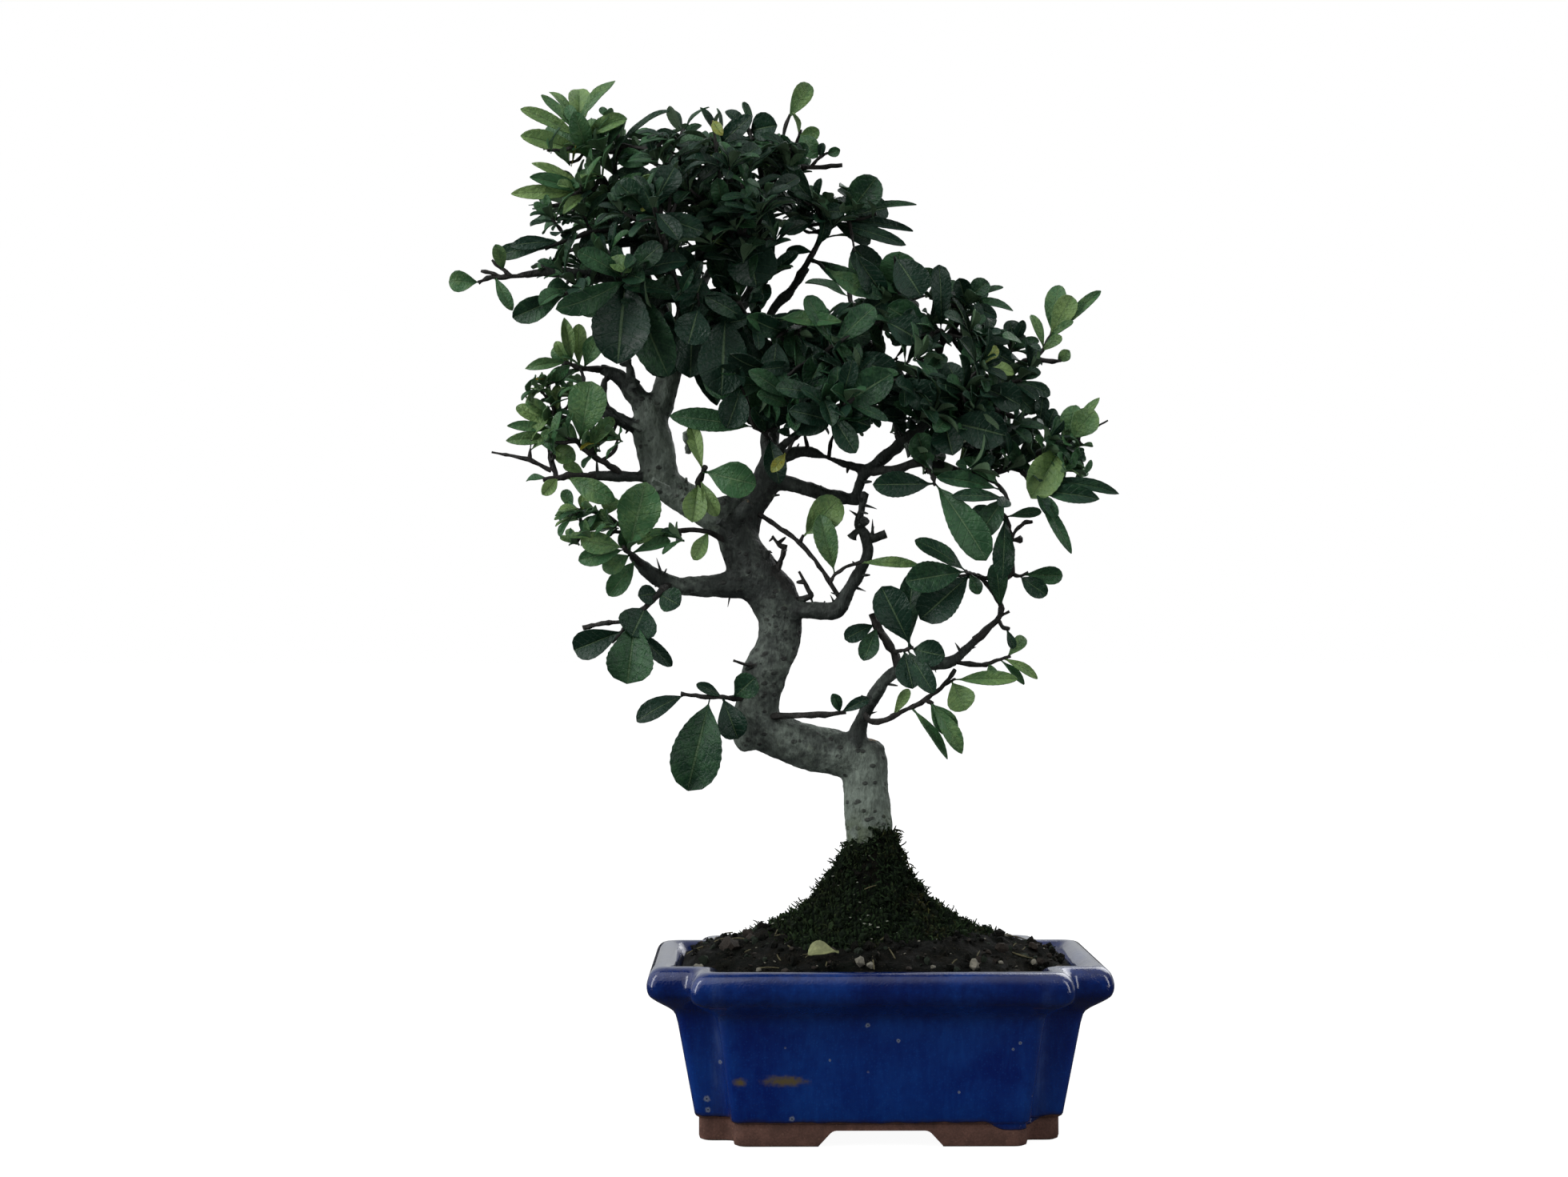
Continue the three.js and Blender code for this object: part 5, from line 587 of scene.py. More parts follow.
def clamp(value, low=0.0, high=1.0):
    """A value kept between two."""
    return min(max(value, low), high)


def jitter(draw, reach):
    """A short way to anywhere."""
    return Vector([draw.uniform(-reach, reach) for _ in range(3)])


def smooth(low, high, value):
    """Rises smoothly from 0 at low to 1 at high."""
    share = clamp((value - low) / (high - low))
    return share * share * (3 - 2 * share)


def seen(x, z, y):
    """The point at a depth that shows at a place on the upright plane."""
    stretch = (y - EYE.y) / -EYE.y
    return Vector((lerp(EYE.x, x, stretch), y, lerp(EYE.z, z, stretch)))


def shown(point):
    """Where a point shows on the upright plane: its x and z there."""
    stretch = (point.y - EYE.y) / -EYE.y
    return EYE.x + (point.x - EYE.x) / stretch, EYE.z + (point.z - EYE.z) / stretch


class Curve:
    """A smooth curve through points, with a radius at each."""

    def __init__(self, points, radii):
        self.points = points
        self.radii = radii

    def point(self, share):
        points = self.points
        last = len(points) - 1
        place = last * clamp(share)
        index = min(int(place), last - 1)
        weight = place - index
        here, there = points[index], points[index + 1]
        before = points[index - 1] if index > 0 else 2 * here - there
        after = points[index + 2] if index + 1 < last else 2 * there - here
        leave = 0.5 * (there - before)
        arrive = 0.5 * (after - here)
        bend = 3 * (there - here) - 2 * leave - arrive
        turn = 2 * (here - there) + leave + arrive
        return here + weight * (leave + weight * (bend + weight * turn))

    def tangent(self, share):
        step = 0.0001
        return (self.point(min(share + step, 1)) - self.point(max(share - step, 0))).normalized()

    def radius(self, share):
        last = len(self.radii) - 1
        place = last * clamp(share)
        index = min(int(place), last - 1)
        return lerp(self.radii[index], self.radii[index + 1], smooth(0, 1, place - index))


def seen_curve(points):
    """A curve through points given as [x, z, depth, radius]."""
    return Curve([seen(x, z, y) for x, z, y, _ in points], [point[3] for point in points])


def skin(bm, rings, capped=True):
    """A skin over rings of equal counts: a circle's edges, extruded from ring to ring."""
    turn = bm.verts.layers.int.get("turn") or bm.verts.layers.int.new("turn")
    loop = bmesh.ops.create_circle(bm, segments=len(rings[0]), radius=1)["verts"]
    for index, vert in enumerate(loop):
        vert[turn] = index
    edges = list({edge for vert in loop for edge in vert.link_edges})
    ends = [loop]
    made = list(loop)
    for vert in loop:
        vert.co = rings[0][vert[turn]]
    for ring in rings[1:]:
        grown = bmesh.ops.extrude_edge_only(bm, edges=edges)["geom"]
        loop = [item for item in grown if isinstance(item, bmesh.types.BMVert)]
        new = set(loop)
        edges = list({edge for vert in loop for edge in vert.link_edges if edge.other_vert(vert) in new})
        for vert in loop:
            vert.co = ring[vert[turn]]
        made.extend(loop)
    ends.append(loop)
    if capped:
        for end in ends:
            bm.faces.new(sorted(end, key=lambda vert: vert[turn]))
    faces = list({face for vert in made for face in vert.link_faces})
    bmesh.ops.recalc_face_normals(bm, faces=faces)
    return made, faces


def tube_rings(curve, sides, steps, swell=0.0):
    """Rings square to a curve, with its radius and a few swells."""
    rings = []
    side = Vector((0, 1, 0))
    for step in range(steps + 1):
        share = step / steps
        along = curve.tangent(share)
        if abs(side.dot(along)) > 0.95:
            side = Vector((1, 0, 0))
        side = square_to(side, along)
        other = side.cross(along)
        centre = curve.point(share)
        ring = []
        for index in range(sides):
            angle = 2 * math.pi * index / sides
            way = side * math.cos(angle) + other * math.sin(angle)
            radius = curve.radius(share)
            grown = radius * (1 + swell * noise.noise((centre + way * radius) * 0.35))
            ring.append(centre + way * grown)
        rings.append(ring)
    return rings


def tube(bm, curve, sides, steps, swell=0.0, material=0):
    """A closed tube along a curve."""
    verts, faces = skin(bm, tube_rings(curve, sides, steps, swell))
    for face in faces:
        face.material_index = material
    return verts


def linked(bm, name):
    """An object in the scene from a bmesh, which is used up."""
    mesh = bpy.data.meshes.new(name)
    bm.to_mesh(mesh)
    bm.free()
    made = bpy.data.objects.new(name, mesh)
    bpy.context.scene.collection.objects.link(made)
    return made


def settled(bm, modifiers, others=()):
    """The bmesh with modifiers applied; others are the objects that they use."""
    work = linked(bm, "work")
    for kind, settings in modifiers:
        modifier = work.modifiers.new(kind.title(), kind)
        for name, value in settings.items():
            setattr(modifier, name, value)
    result = bmesh.new()
    result.from_object(work, bpy.context.evaluated_depsgraph_get())
    for used in (work, *others):
        data = used.data
        bpy.data.objects.remove(used)
        bpy.data.meshes.remove(data)
    return result


def float_layer(bm, name):
    """A float attribute of the vertices, made where there is none."""
    return bm.verts.layers.float.get(name) or bm.verts.layers.float.new(name)


def tree_of(points):
    """A search tree over points, which finds the nearest ones by their index."""
    tree = kdtree.KDTree(len(points))
    for index, point in enumerate(points):
        tree.insert(point, index)
    tree.balance()
    return tree


def square_to(way, axis):
    """The way turned square to an axis, of length 1."""
    return (way - axis * way.dot(axis)).normalized()


def make_piece(name, bm, materials, slot, replaced=(), crease=180):
    """An object of the frame from a bmesh in millimetres round the middle of the pot's foot."""
    bmesh.ops.transform(bm, matrix=TO_FRAME, verts=bm.verts[:])
    piece = linked(bm, name)
    piece.data.shade_smooth()
    if crease < 180:
        piece.data.set_sharp_from_angle(angle=math.radians(crease))
    for material in materials:
        piece.data.materials.append(material)
    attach(piece, "root")
    if replaced:
        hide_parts(*replaced)
    return piece


class Value:
    """What a socket puts out; arithmetic on it adds the nodes that it takes."""

    def __init__(self, nodes, socket):
        self.nodes = nodes
        self.socket = socket

    def __add__(self, other):
        return self.nodes.math("ADD", self, other)

    def __sub__(self, other):
        return self.nodes.math("SUBTRACT", self, other)

    def __rsub__(self, other):
        return self.nodes.math("SUBTRACT", other, self)

    def __mul__(self, other):
        return self.nodes.math("MULTIPLY", self, other)

    def __truediv__(self, other):
        return self.nodes.math("DIVIDE", self, other)

    def __lt__(self, other):
        return self.nodes.math("LESS_THAN", self, other)

    def __abs__(self):
        return self.nodes.math("ABSOLUTE", self)


class Nodes:
    """The nodes of a material, a world or a group, added and wired in one go."""

    def __init__(self, tree):
        self.tree = tree
        self.place = None

    def add(self, kind, sockets=None, **settings):
        node = self.tree.nodes.new("ShaderNode" + kind)
        for name, value in settings.items():
            setattr(node, name, value)
        for name, value in (sockets or {}).items():
            self.feed(node.inputs[name], value)
        return node

    def read(self, output, kind, sockets=None, **settings):
        """What a new node puts out."""
        return Value(self, self.add(kind, sockets, **settings).outputs[output])

    def feed(self, socket, value):
        if isinstance(value, Value):
            self.tree.links.new(value.socket, socket)
        else:
            socket.default_value = value

    def math(self, operation, *values):
        node = self.add("Math", operation=operation)
        for socket, value in zip(node.inputs, values):
            self.feed(socket, value)
        return Value(self, node.outputs[0])

    def mix(self, share, low, high):
        """A colour between two."""
        colours = [value if isinstance(value, Value) else (*value, 1) for value in (low, high)]
        node = self.add("Mix", data_type="RGBA")
        for index, value in zip((0, 6, 7), (share, *colours)):
            self.feed(node.inputs[index], value)
        return Value(self, node.outputs[2])

    def range(self, value, low, high, to_low=0.0, to_high=1.0):
        """A value brought smoothly from one range to another, and kept in it."""
        sockets = {"Value": value, "From Min": low, "From Max": high, "To Min": to_low, "To Max": to_high}
        return self.read(0, "MapRange", sockets, interpolation_type="SMOOTHSTEP")

    def noise(self, scale, detail=3.0, place=None):
        return self.read(0, "TexNoise", {"Vector": place or self.place, "Scale": scale, "Detail": detail})

    def stretched(self, place, stretch):
        return self.read(0, "VectorMath", {0: place, 1: stretch}, operation="MULTIPLY")

    def separate(self, place):
        """The x, y and z of a place."""
        node = self.add("SeparateXYZ", {0: place})
        return [Value(self, part) for part in node.outputs]

    def group(self, group, **sockets):
        node = self.add("Group", sockets, node_tree=group)
        return [Value(self, output) for output in node.outputs]


def emptied(owner):
    """The nodes of a material or a world, with none in it yet."""
    owner.use_nodes = True
    owner.node_tree.nodes.clear()
    return Nodes(owner.node_tree)


class Surface(Nodes):
    """The nodes of a material round its main shader, with the place on the object."""

    def __init__(self, name, looks):
        self.material = bpy.data.materials.new(name)
        super().__init__(emptied(self.material).tree)
        self.looks = looks
        self.shader = self.add("BsdfPrincipled")
        self.add("OutputMaterial", {"Surface": Value(self, self.shader.outputs[0])})
        self.place = self.read("Object", "TexCoord")

    def attribute(self, name):
        return self.read("Fac", "Attribute", attribute_name=name)

    def mottle(self, scale, fine, low, high, place=None):
        """Clouds, as a mask."""
        return self.group(self.looks["mottle"], Place=place or self.place, Scale=scale, Fine=fine,
                          Low=low, High=high)[0]

    def specks(self, scale, size, share, stretch=(1, 1, 1)):
        """Specks, as a mask."""
        return self.group(self.looks["specks"], Place=self.place, Scale=scale, Size=size,
                          Share=share, Stretch=stretch)[0]

    def veins(self):
        """A leaf's midrib and its side veins, as masks."""
        return self.group(self.looks["veins"], Place=self.read(0, "UVMap", uv_map="UVMap"))

    def set(self, name, value):
        self.feed(self.shader.inputs[name], value)

    def finish(self, colour, rough, relief, depth):
        """Sets the shader, with a relief from 0 to 1 times a depth in metres, and gives the material."""
        self.set("Base Color", colour)
        self.set("Roughness", rough)
        self.set("Normal", self.read(0, "Bump", {"Height": relief, "Distance": depth, "Strength": 1.0}))
        return self.material


def new_group(name, takes, gives):
    """A group, its nodes, the values that it takes and the sockets that it puts out."""
    group = bpy.data.node_groups.new(name, "ShaderNodeTree")
    for label, kind, value in takes:
        socket = group.interface.new_socket(label, in_out="INPUT", socket_type="NodeSocket" + kind)
        if value is not None:
            socket.default_value = value
    for label in gives:
        group.interface.new_socket(label, in_out="OUTPUT", socket_type="NodeSocketFloat")
    nodes = Nodes(group)
    taken = {socket.name: Value(nodes, socket) for socket in group.nodes.new("NodeGroupInput").outputs}
    return group, nodes, taken, group.nodes.new("NodeGroupOutput").inputs


def mottle_group(name):
    """Clouds of two sizes over each other, as a mask from 0 to 1."""
    takes = [("Place", "Vector", None), ("Scale", "Float", 100.0), ("Fine", "Float", 5.0),
             ("Low", "Float", 0.35), ("High", "Float", 0.65)]
    group, nodes, taken, given = new_group(name, takes, ["Mask"])
    coarse = nodes.noise(taken["Scale"], place=taken["Place"])
    fine = nodes.noise(taken["Scale"] * taken["Fine"], place=taken["Place"])
    nodes.feed(given["Mask"], nodes.range(coarse * 0.6 + fine * 0.4, taken["Low"], taken["High"]))
    return group


def speck_group(name):
    """Round or stretched specks strewn at random, as a mask from 0 to 1."""
    takes = [("Place", "Vector", None), ("Scale", "Float", 300.0), ("Size", "Float", 0.25),
             ("Share", "Float", 0.3), ("Stretch", "Vector", (1, 1, 1))]
    group, nodes, taken, given = new_group(name, takes, ["Mask"])
    place = nodes.stretched(taken["Place"], taken["Stretch"])
    cells = nodes.add("TexVoronoi", {"Vector": place, "Scale": taken["Scale"]}).outputs
    near = nodes.range(Value(nodes, cells["Distance"]), taken["Size"] * 0.6, taken["Size"], 1, 0)
    draw = nodes.read(0, "SeparateColor", {"Color": Value(nodes, cells["Color"])})
    nodes.feed(given["Mask"], near * (draw < taken["Share"]))
    return group


def vein_group(name):
    """A leaf's midrib and side veins, from its UV map: across in X, along in Y."""
    takes = [("Place", "Vector", None), ("Veins", "Float", 8.0)]
    group, nodes, taken, given = new_group(name, takes, ["Midrib", "Veins"])
    across, along, _ = nodes.separate(taken["Place"])
    aside = abs(across - 0.5)
    width = along * -0.022 + 0.05
    nodes.feed(given["Midrib"], nodes.range(aside / width, 0.45, 1.0, 1, 0))
    wave = nodes.math("SINE", (along - aside * 0.32) * taken["Veins"] * (2 * math.pi))
    nodes.feed(given["Veins"], nodes.range(wave, 0.86, 1.0))
    return group


def dimmed(colour, share):
    return tuple(part * share for part in colour)


def spot_distance(look, x, z, spot):
    """How far a place lies from a spot on the pot's front, as a share of the spot's half sizes."""
    at_x, at_z, half_x, half_z = spot
    across = (x - (POT_CENTRE.x + at_x * MM)) / (half_x * MM)
    up = (z - at_z * MM) / (half_z * MM)
    return look.math("SQRT", across * across + up * up)


def glaze_material(looks, pot):
    """Cobalt glaze, thick and thin, with a painted highlight down the notch folds and painted shade over the
    lip, that ends in a wandering edge above the bare clay foot.
    """
    look = Surface("pot_glaze_and_clay", looks)
    x, y, z = look.separate(look.place)
    in_front = y < POT_CENTRE.y
    drip = look.range(abs(x - (POT_CENTRE.x + DRIP_X * MM)), 0.006, 0.014, 1, 0) * in_front * -pot.drip
    edge = (look.noise(90, 2) - 0.5) * 0.0032 + drip + pot.glaze_edge
    glazed = look.range(z - edge, -0.0002, 0.0003)
    clouds = look.mottle(45, 6, 0.38, 0.66)
    streaks = look.mottle(260, 3, 0.42, 0.7, look.stretched(look.place, (1, 1, 0.12)))
    freckles = look.specks(900, 0.4, 0.45)
    drifts = look.range(look.noise(22, 2), 0.4, 0.65)
    thin = clouds * 0.22 + streaks * 0.2 + freckles * 0.22 + drifts * 0.25
    colour = look.mix(thin, pot.glaze, pot.glaze_thin)
    # Painted highlight: a pale, streaked line down the glaze along each notch's fold.
    fold = abs(abs(x - POT_CENTRE.x) - FOLD_X * MM)
    painted_fold_highlight = look.range(fold, 0.0005, 0.0045, 1, 0) * (streaks + 0.35)
    colour = look.mix(painted_fold_highlight * 0.4, colour, tint(74, 96, 150))
    # Painted shade: above 50 mm, over the cove and the lip, the glaze is darkened against the light that
    # falls there from above, broken by its clouds.
    painted_lip_shade = look.range(z, 0.05, 0.062) * (1.0 - clouds * 0.5)
    colour = look.mix(painted_lip_shade * 0.7, colour, tint(1, 20, 74))
    iron = 0.0
    for smear in IRON_SMEARS:
        away = spot_distance(look, x, z, smear) + look.noise(500) * 1.1
        iron = look.math("MAXIMUM", iron, look.range(away, 0.8, 1.8, 0.9, 0))
    colour = look.mix(iron * in_front, colour, pot.iron)
    pits = look.specks(85, 0.06, 0.2)
    colour = look.mix(pits * 0.35, colour, tint(120, 130, 160))
    for at_x, at_z, radius in GLAZE_PITS:
        away = spot_distance(look, x, z, (at_x, at_z, radius, radius)) * (look.noise(1500) + 0.4)
        hole = look.range(away, 0.15, 0.3, 1, 0) * in_front
        ring = look.range(away, 0.6, 1.2, 0.7, 0) * in_front - hole
        colour = look.mix(ring, colour, tint(150, 160, 176))
        colour = look.mix(hole, colour, tint(10, 10, 16))
    near_edge = look.range(z - edge, 0.0002, 0.0022, 0.55, 0)
    colour = look.mix(near_edge, colour, tint(40, 34, 50))
    grit = look.mottle(160, 7, 0.35, 0.7)
    clay = look.mix(grit, dimmed(pot.clay, 0.55), pot.clay)
    clay = look.mix(look.specks(650, 0.3, 0.2) * 0.5, clay, tint(140, 108, 90))
    gloss = (clouds * 0.1 + pits * 0.4) * 0.5 + 0.045
    rough = glazed * (gloss - 0.85) + 0.85
    look.set("Coat Weight", glazed)
    look.set("Coat Roughness", 0.03)
    relief = glazed * (look.noise(240, 2) * 0.16 - pits * 0.5 + 0.6) + grit * 0.2
    return look.finish(look.mix(glazed, clay, colour), rough, relief, 0.0006)


def bark_material(looks, wood):
    """Grey bark with breathing spots, pale low on the trunk and brown on twigs."""
    look = Surface("living_bark", looks)
    pale, girth = look.attribute("pale"), look.attribute("girth")
    clouds = look.mottle(70, 5, 0.36, 0.66)
    grain = look.mottle(420, 3, 0.36, 0.68, look.stretched(look.place, (1, 1, 0.4)))
    colour = look.mix(look.range(pale + (clouds - 0.5) * 0.5, 0.0, 1.0), wood.bark, wood.bark_pale)
    colour = look.mix(look.range(girth, 0.02, 0.2), wood.twig, colour)
    colour = look.mix(grain * 0.5, colour, dimmed(wood.bark, 0.45))
    gathered = look.range(look.noise(150), 0.42, 0.56)
    spots = look.specks(250, 0.44, 0.6, (1, 1, 1.5)) * gathered * look.range(girth, 0.2, 0.6)
    colour = look.mix(spots * 0.8, colour, wood.lenticel)
    lichen = look.mottle(130, 4, 0.56, 0.72) * look.range(girth, 0.2, 0.6, 0, 0.3)
    colour = look.mix(lichen, colour, tint(120, 132, 112))
    cracks = look.range(look.noise(330, 6), 0.5, 0.66) * look.range(pale, 0.3, 0.8, 0.75, 0.15)
    colour = look.mix(cracks, colour, dimmed(wood.bark, 0.3))
    height = look.separate(look.place)[2]
    mossy = look.range(height, 0.124, 0.146, 1, 0) * look.range(look.noise(160, 4), 0.4, 0.6)
    colour = look.mix(mossy * 0.7, colour, tint(74, 88, 46))
    relief = grain * -0.35 + spots * 0.5 + clouds * 0.5
    return look.finish(colour, grain * 0.2 + 0.62, relief, 0.0008)


def cut_material(looks, wood):
    """A sawn end: pale wood under darker clouds."""
    look = Surface("cut_wood", looks)
    clouds = look.mottle(300, 4, 0.3, 0.7)
    colour = look.mix(clouds, dimmed(wood.cut, 0.5), wood.cut)
    return look.finish(colour, clouds * 0.15 + 0.75, clouds, 0.0004)


def leaf_colour(look, leaf):
    """A leaf's colour, from painted shade through dark to fresh to yellow with its own tone, and the clouds
    in it.
    """
    clouds = look.mottle(140, 5, 0.34, 0.7)
    own = look.attribute("tone") + (clouds - 0.5) * 0.18
    # Painted shade: tones below 0.1 darken the old-leaf colour to about half, for the shaded leaves deep in
    # the crown.
    colour = look.mix(look.range(own, -0.2, 0.1), dimmed(leaf.dark, 0.55), leaf.dark)
    colour = look.mix(look.range(own, 0.1, 0.5), colour, leaf.green)
    colour = look.mix(look.range(own, 0.5, 1.0), colour, leaf.fresh)
    return look.mix(look.range(own, 1.1, 1.4), colour, leaf.yellow), clouds


def leaf_material(looks, leaf):
    """The glossy upper side of a leaf."""
    look = Surface("leaf_upper_side", looks)
    colour, clouds = leaf_colour(look, leaf)
    midrib, veins = look.veins()
    colour = look.mix(veins * 0.06, colour, leaf.rib)
    colour = look.mix(midrib * 0.4, colour, leaf.rib)
    look.set("Specular IOR Level", 0.42)
    rough = (clouds + look.noise(900)) * 0.12 + (1 - leaf.gloss - 0.06)
    return look.finish(colour, rough, midrib * -0.6 + veins * -0.3 + clouds * 0.8, 0.0006)


def leaf_under_material(looks, leaf):
    """The matt, paler lower side of a leaf."""
    look = Surface("leaf_lower_side", looks)
    colour, clouds = leaf_colour(look, leaf)
    midrib, veins = look.veins()
    colour = look.mix(0.55, colour, leaf.under)
    colour = look.mix(look.math("MAXIMUM", midrib, veins) * 0.4, colour, leaf.rib)
    return look.finish(colour, clouds * 0.15 + 0.6, midrib * 0.8 + veins * 0.4, 0.0004)


def soil_material(looks, ground):
    """Dark moist soil with dry crumbs and specks of grit."""
    look = Surface("soil", looks)
    grit = look.specks(900, 0.35, 0.3)
    colour = look.mix(look.mottle(110, 6, 0.4, 0.72), ground.soil, ground.soil_dry)
    colour = look.mix(grit * 0.4, colour, tint(84, 76, 60))
    colour = look.mix(look.mottle(75, 5, 0.5, 0.66) * 0.5, colour, ground.moss)
    moist = look.range(look.noise(40), 0.45, 0.6)
    colour = look.mix(moist * 0.5, colour, dimmed(ground.soil, 0.4))
    look.set("Specular IOR Level", 0.15)
    return look.finish(colour, moist * -0.2 + 0.95, look.noise(1500, 4) + grit * 0.5, 0.0009)


def moss_material(looks, ground):
    """Moss, dark in its depth, green or dried ochre at its tips."""
    look = Surface("moss", looks)
    across = look.separate(look.place)[0]
    right = look.range(across, POT_CENTRE.x - 0.012, POT_CENTRE.x + 0.016, 0.3, 1)
    dry = look.mottle(55, 7, 0.48, 0.66) * right
    ends = look.mix(dry, ground.moss_tip, ground.moss_dry)
    deep = look.mix(dry, ground.moss, ground.soil)
    clump = look.range(look.noise(700, 2), 0.3, 0.7, 0.35, 1.0)
    look.set("Specular IOR Level", 0.15)
    colour = look.mix(look.attribute("tip") * clump, deep, ends)
    return look.finish(colour, clump * -0.15 + 1.0, look.noise(2200), 0.0005)


def speckled_material(looks, name, colour, scale, rough):
    """A dull surface of one colour with darker clouds, for pebbles, straw and chips."""
    look = Surface(name, looks)
    clouds = look.mottle(scale, 5, 0.3, 0.7)
    return look.finish(look.mix(clouds, dimmed(colour, 0.5), colour), clouds * -0.12 + rough, clouds, 0.0003)


def screen_material(looks):
    """Black moulded plastic, faintly scuffed."""
    look = Surface("screen_plastic", looks)
    scuff = look.mottle(200, 5, 0.45, 0.75)
    colour = look.mix(scuff, tint(26, 28, 26), tint(60, 62, 58))
    return look.finish(colour, scuff * 0.25 + 0.5, look.noise(3000), 0.0001)


def notched_outline(half_x, half_y, notch, corner, straight, arc=5):
    """A rectangle with a right-angle notch in each corner, every corner rounded."""
    outline = []
    for side_x, side_y in ((1, -1), (1, 1), (-1, 1), (-1, -1)):
        corners = [
            (half_x - corner, half_y - notch - corner, 0, 1),
            (half_x - notch + corner, half_y - notch + corner, -math.pi / 2, -1),
            (half_x - notch - corner, half_y - corner, 0, 1),
        ]
        points = []
        for x, y, start, turn in corners:
            for step in range(arc):
                angle = start + turn * step / (arc - 1) * math.pi / 2
                at_x, at_y = x + corner * math.cos(angle), y + corner * math.sin(angle)
                points.append((side_x * at_x, side_y * at_y))
        if side_x * side_y < 0:
            points.reverse()
        outline.extend(points)
        x, y = outline[-1]
        for step in range(1, straight):
            share = 1 - 2 * step / straight
            outline.append((x * share, y) if side_x * side_y > 0 else (x, y * share))
    return outline


def pot_ring(pot, inset, z, straight=6):
    """The pot's outline at a height, in from the outline of its lip."""
    notch = lerp(pot.foot_notch, pot.lip_notch, clamp(z * MM / pot.height)) / MM
    half_x, half_y = pot.width / 2 / MM - inset, pot.depth / 2 / MM - inset
    outline = notched_outline(half_x, half_y, notch, pot.corner / MM, straight)
    return [Vector((x, y, z)) for x, y in outline]


def inner_inset(pot, z):
    """How far the pot's inner face lies in from the lip at a height."""
    low, high = POT_BODY[1], POT_BODY[-1]
    return lerp(low[0], high[0], (z - low[1]) / (high[1] - low[1])) + pot.wall / MM


def rounded_profile(points, steps=3):
    """More points along a smooth line through the given ones."""
    curve = Curve([Vector((inset, z, 0)) for inset, z in points], [1] * len(points))
    count = steps * (len(points) - 1)
    return [tuple(curve.point(step / count)[:2]) for step in range(count + 1)]


def arch_cutter(arch, height, length, turned):
    """A prism that cuts an arch between two feet."""
    top, bottom = arch
    bm = bmesh.new()
    outline = [(-bottom / 2, -1), (bottom / 2, -1), (bottom / 2, 0), (top / 2, height), (-top / 2, height),
               (-bottom / 2, 0)]
    rings = [[Vector((x, y, z)) for x, z in outline] for y in (-length / 2, length / 2)]
    skin(bm, rings)
    if turned:
        bmesh.ops.rotate(bm, matrix=Matrix.Rotation(math.pi / 2, 3, "Z"), verts=bm.verts[:])
    folds = [e for e in bm.edges if e.calc_face_angle(0) < 1.2 and e.calc_length() > length / 2]
    bmesh.ops.bevel(bm, geom=folds, offset=1.6, affect="EDGES", segments=3, profile=0.5, material=-1)
    return linked(bm, "cutter")


def drain_cutter(side):
    """A cylinder that cuts the drain hole on one side."""
    bm = bmesh.new()
    bmesh.ops.create_cone(bm, cap_ends=True, segments=32, radius1=DRAIN_RADIUS, radius2=DRAIN_RADIUS,
                          depth=3 * FLOOR_TOP)
    bmesh.ops.translate(bm, vec=(side * DRAIN_SPACING / 2, 0, FLOOR_TOP), verts=bm.verts[:])
    return linked(bm, "cutter")


def build_pot(settings, looks):
    """The pot, with its arches cut between the feet and two drain holes."""
    inner = [(inner_inset(settings, z), z) for z in (POT_BODY[-1][1], 40, 28, FLOOR_TOP)]
    profile = POT_FOOT + POT_BODY[:-1] + rounded_profile(POT_LIP) + inner
    bm = bmesh.new()
    skin(bm, [pot_ring(settings, inset, z) for inset, z in profile])
    cutters = [
        arch_cutter(FRONT_ARCH, settings.arch / MM, settings.depth / MM * 1.2, False),
        arch_cutter(SIDE_ARCH, settings.arch / MM, settings.width / MM * 1.2, True),
        drain_cutter(-1),
        drain_cutter(1),
    ]
    steps = [("BOOLEAN", {"operation": "DIFFERENCE", "object": cutter}) for cutter in cutters]
    bm = settled(bm, steps, cutters)
    return make_piece("glazed_pot", bm, [glaze_material(looks, settings)], "glaze", ["pot"], crease=38)


def from_trunk(x, y):
    """How far a place lies from the trunk, in the mound's own stretched measure."""
    return math.hypot(x - TRUNK_X, y / MOUND_SQUEEZE)


def mound_height(ground, x, y):
    """Height of the smooth mound at a place."""
    away = from_trunk(x, y)
    share = min(away / MOUND_REACH, 1)
    rise = ground.peak / MM * math.exp(-max(away - MOUND_TRUNK, 0) / MOUND_FALL)
    near = max(math.hypot(x - TRUNK_X, y), 1)
    lean = LEAN_FRONT * max(-y, 0) / near + LEAN_LEFT * min(x - TRUNK_X, 0) / near
    rise += lean * math.exp(-max(near - MOUND_TRUNK, 0) / LEAN_FALL)
    return ground.edge / MM + ground.swell / MM * (1 - share * share) + rise


def clods(x, y):
    """How the bare soil rises and falls over the mound."""
    return 0.9 * math.sin(x * 0.31 + 1) * math.sin(y * 0.27) + 0.6 * math.sin(x * 0.11 - y * 0.17)


def moss_edge(x, y):
    """How far the moss goes out from the trunk on the side of a place."""
    angle = math.atan2(y, x)
    return MOSS_REACH * (1 + 0.09 * math.sin(3 * angle + 1) + 0.06 * math.sin(5 * angle))


def soil_height(ground, x, y):
    """Height of the soil at a place, lower where moss lies on it."""
    cover = clamp((moss_edge(x, y) - from_trunk(x, y)) / 12)
    return mound_height(ground, x, y) + clods(x, y) * (1 - cover) - ground.moss_depth / MM * cover


def moss_height(ground, x, y):
    """Height of the moss at a place, which sinks into the soil at its edge."""
    end = clamp((from_trunk(x, y) - moss_edge(x, y) + 7) / 7, 0, 2)
    return mound_height(ground, x, y) + 0.5 * clods(y * 2, x * 2) - 2.4 * end


def crumbled(x, y):
    """The roughness of loose soil at a place."""
    place = Vector((x, y, 0))
    coarse = 1.7 * abs(noise.noise(place * 0.22)) + 1.1 * noise.noise(place * 0.5)
    return coarse + 0.8 * abs(noise.noise(place * 1.1)) + 0.3 * noise.noise(place * 2.6) - 0.6


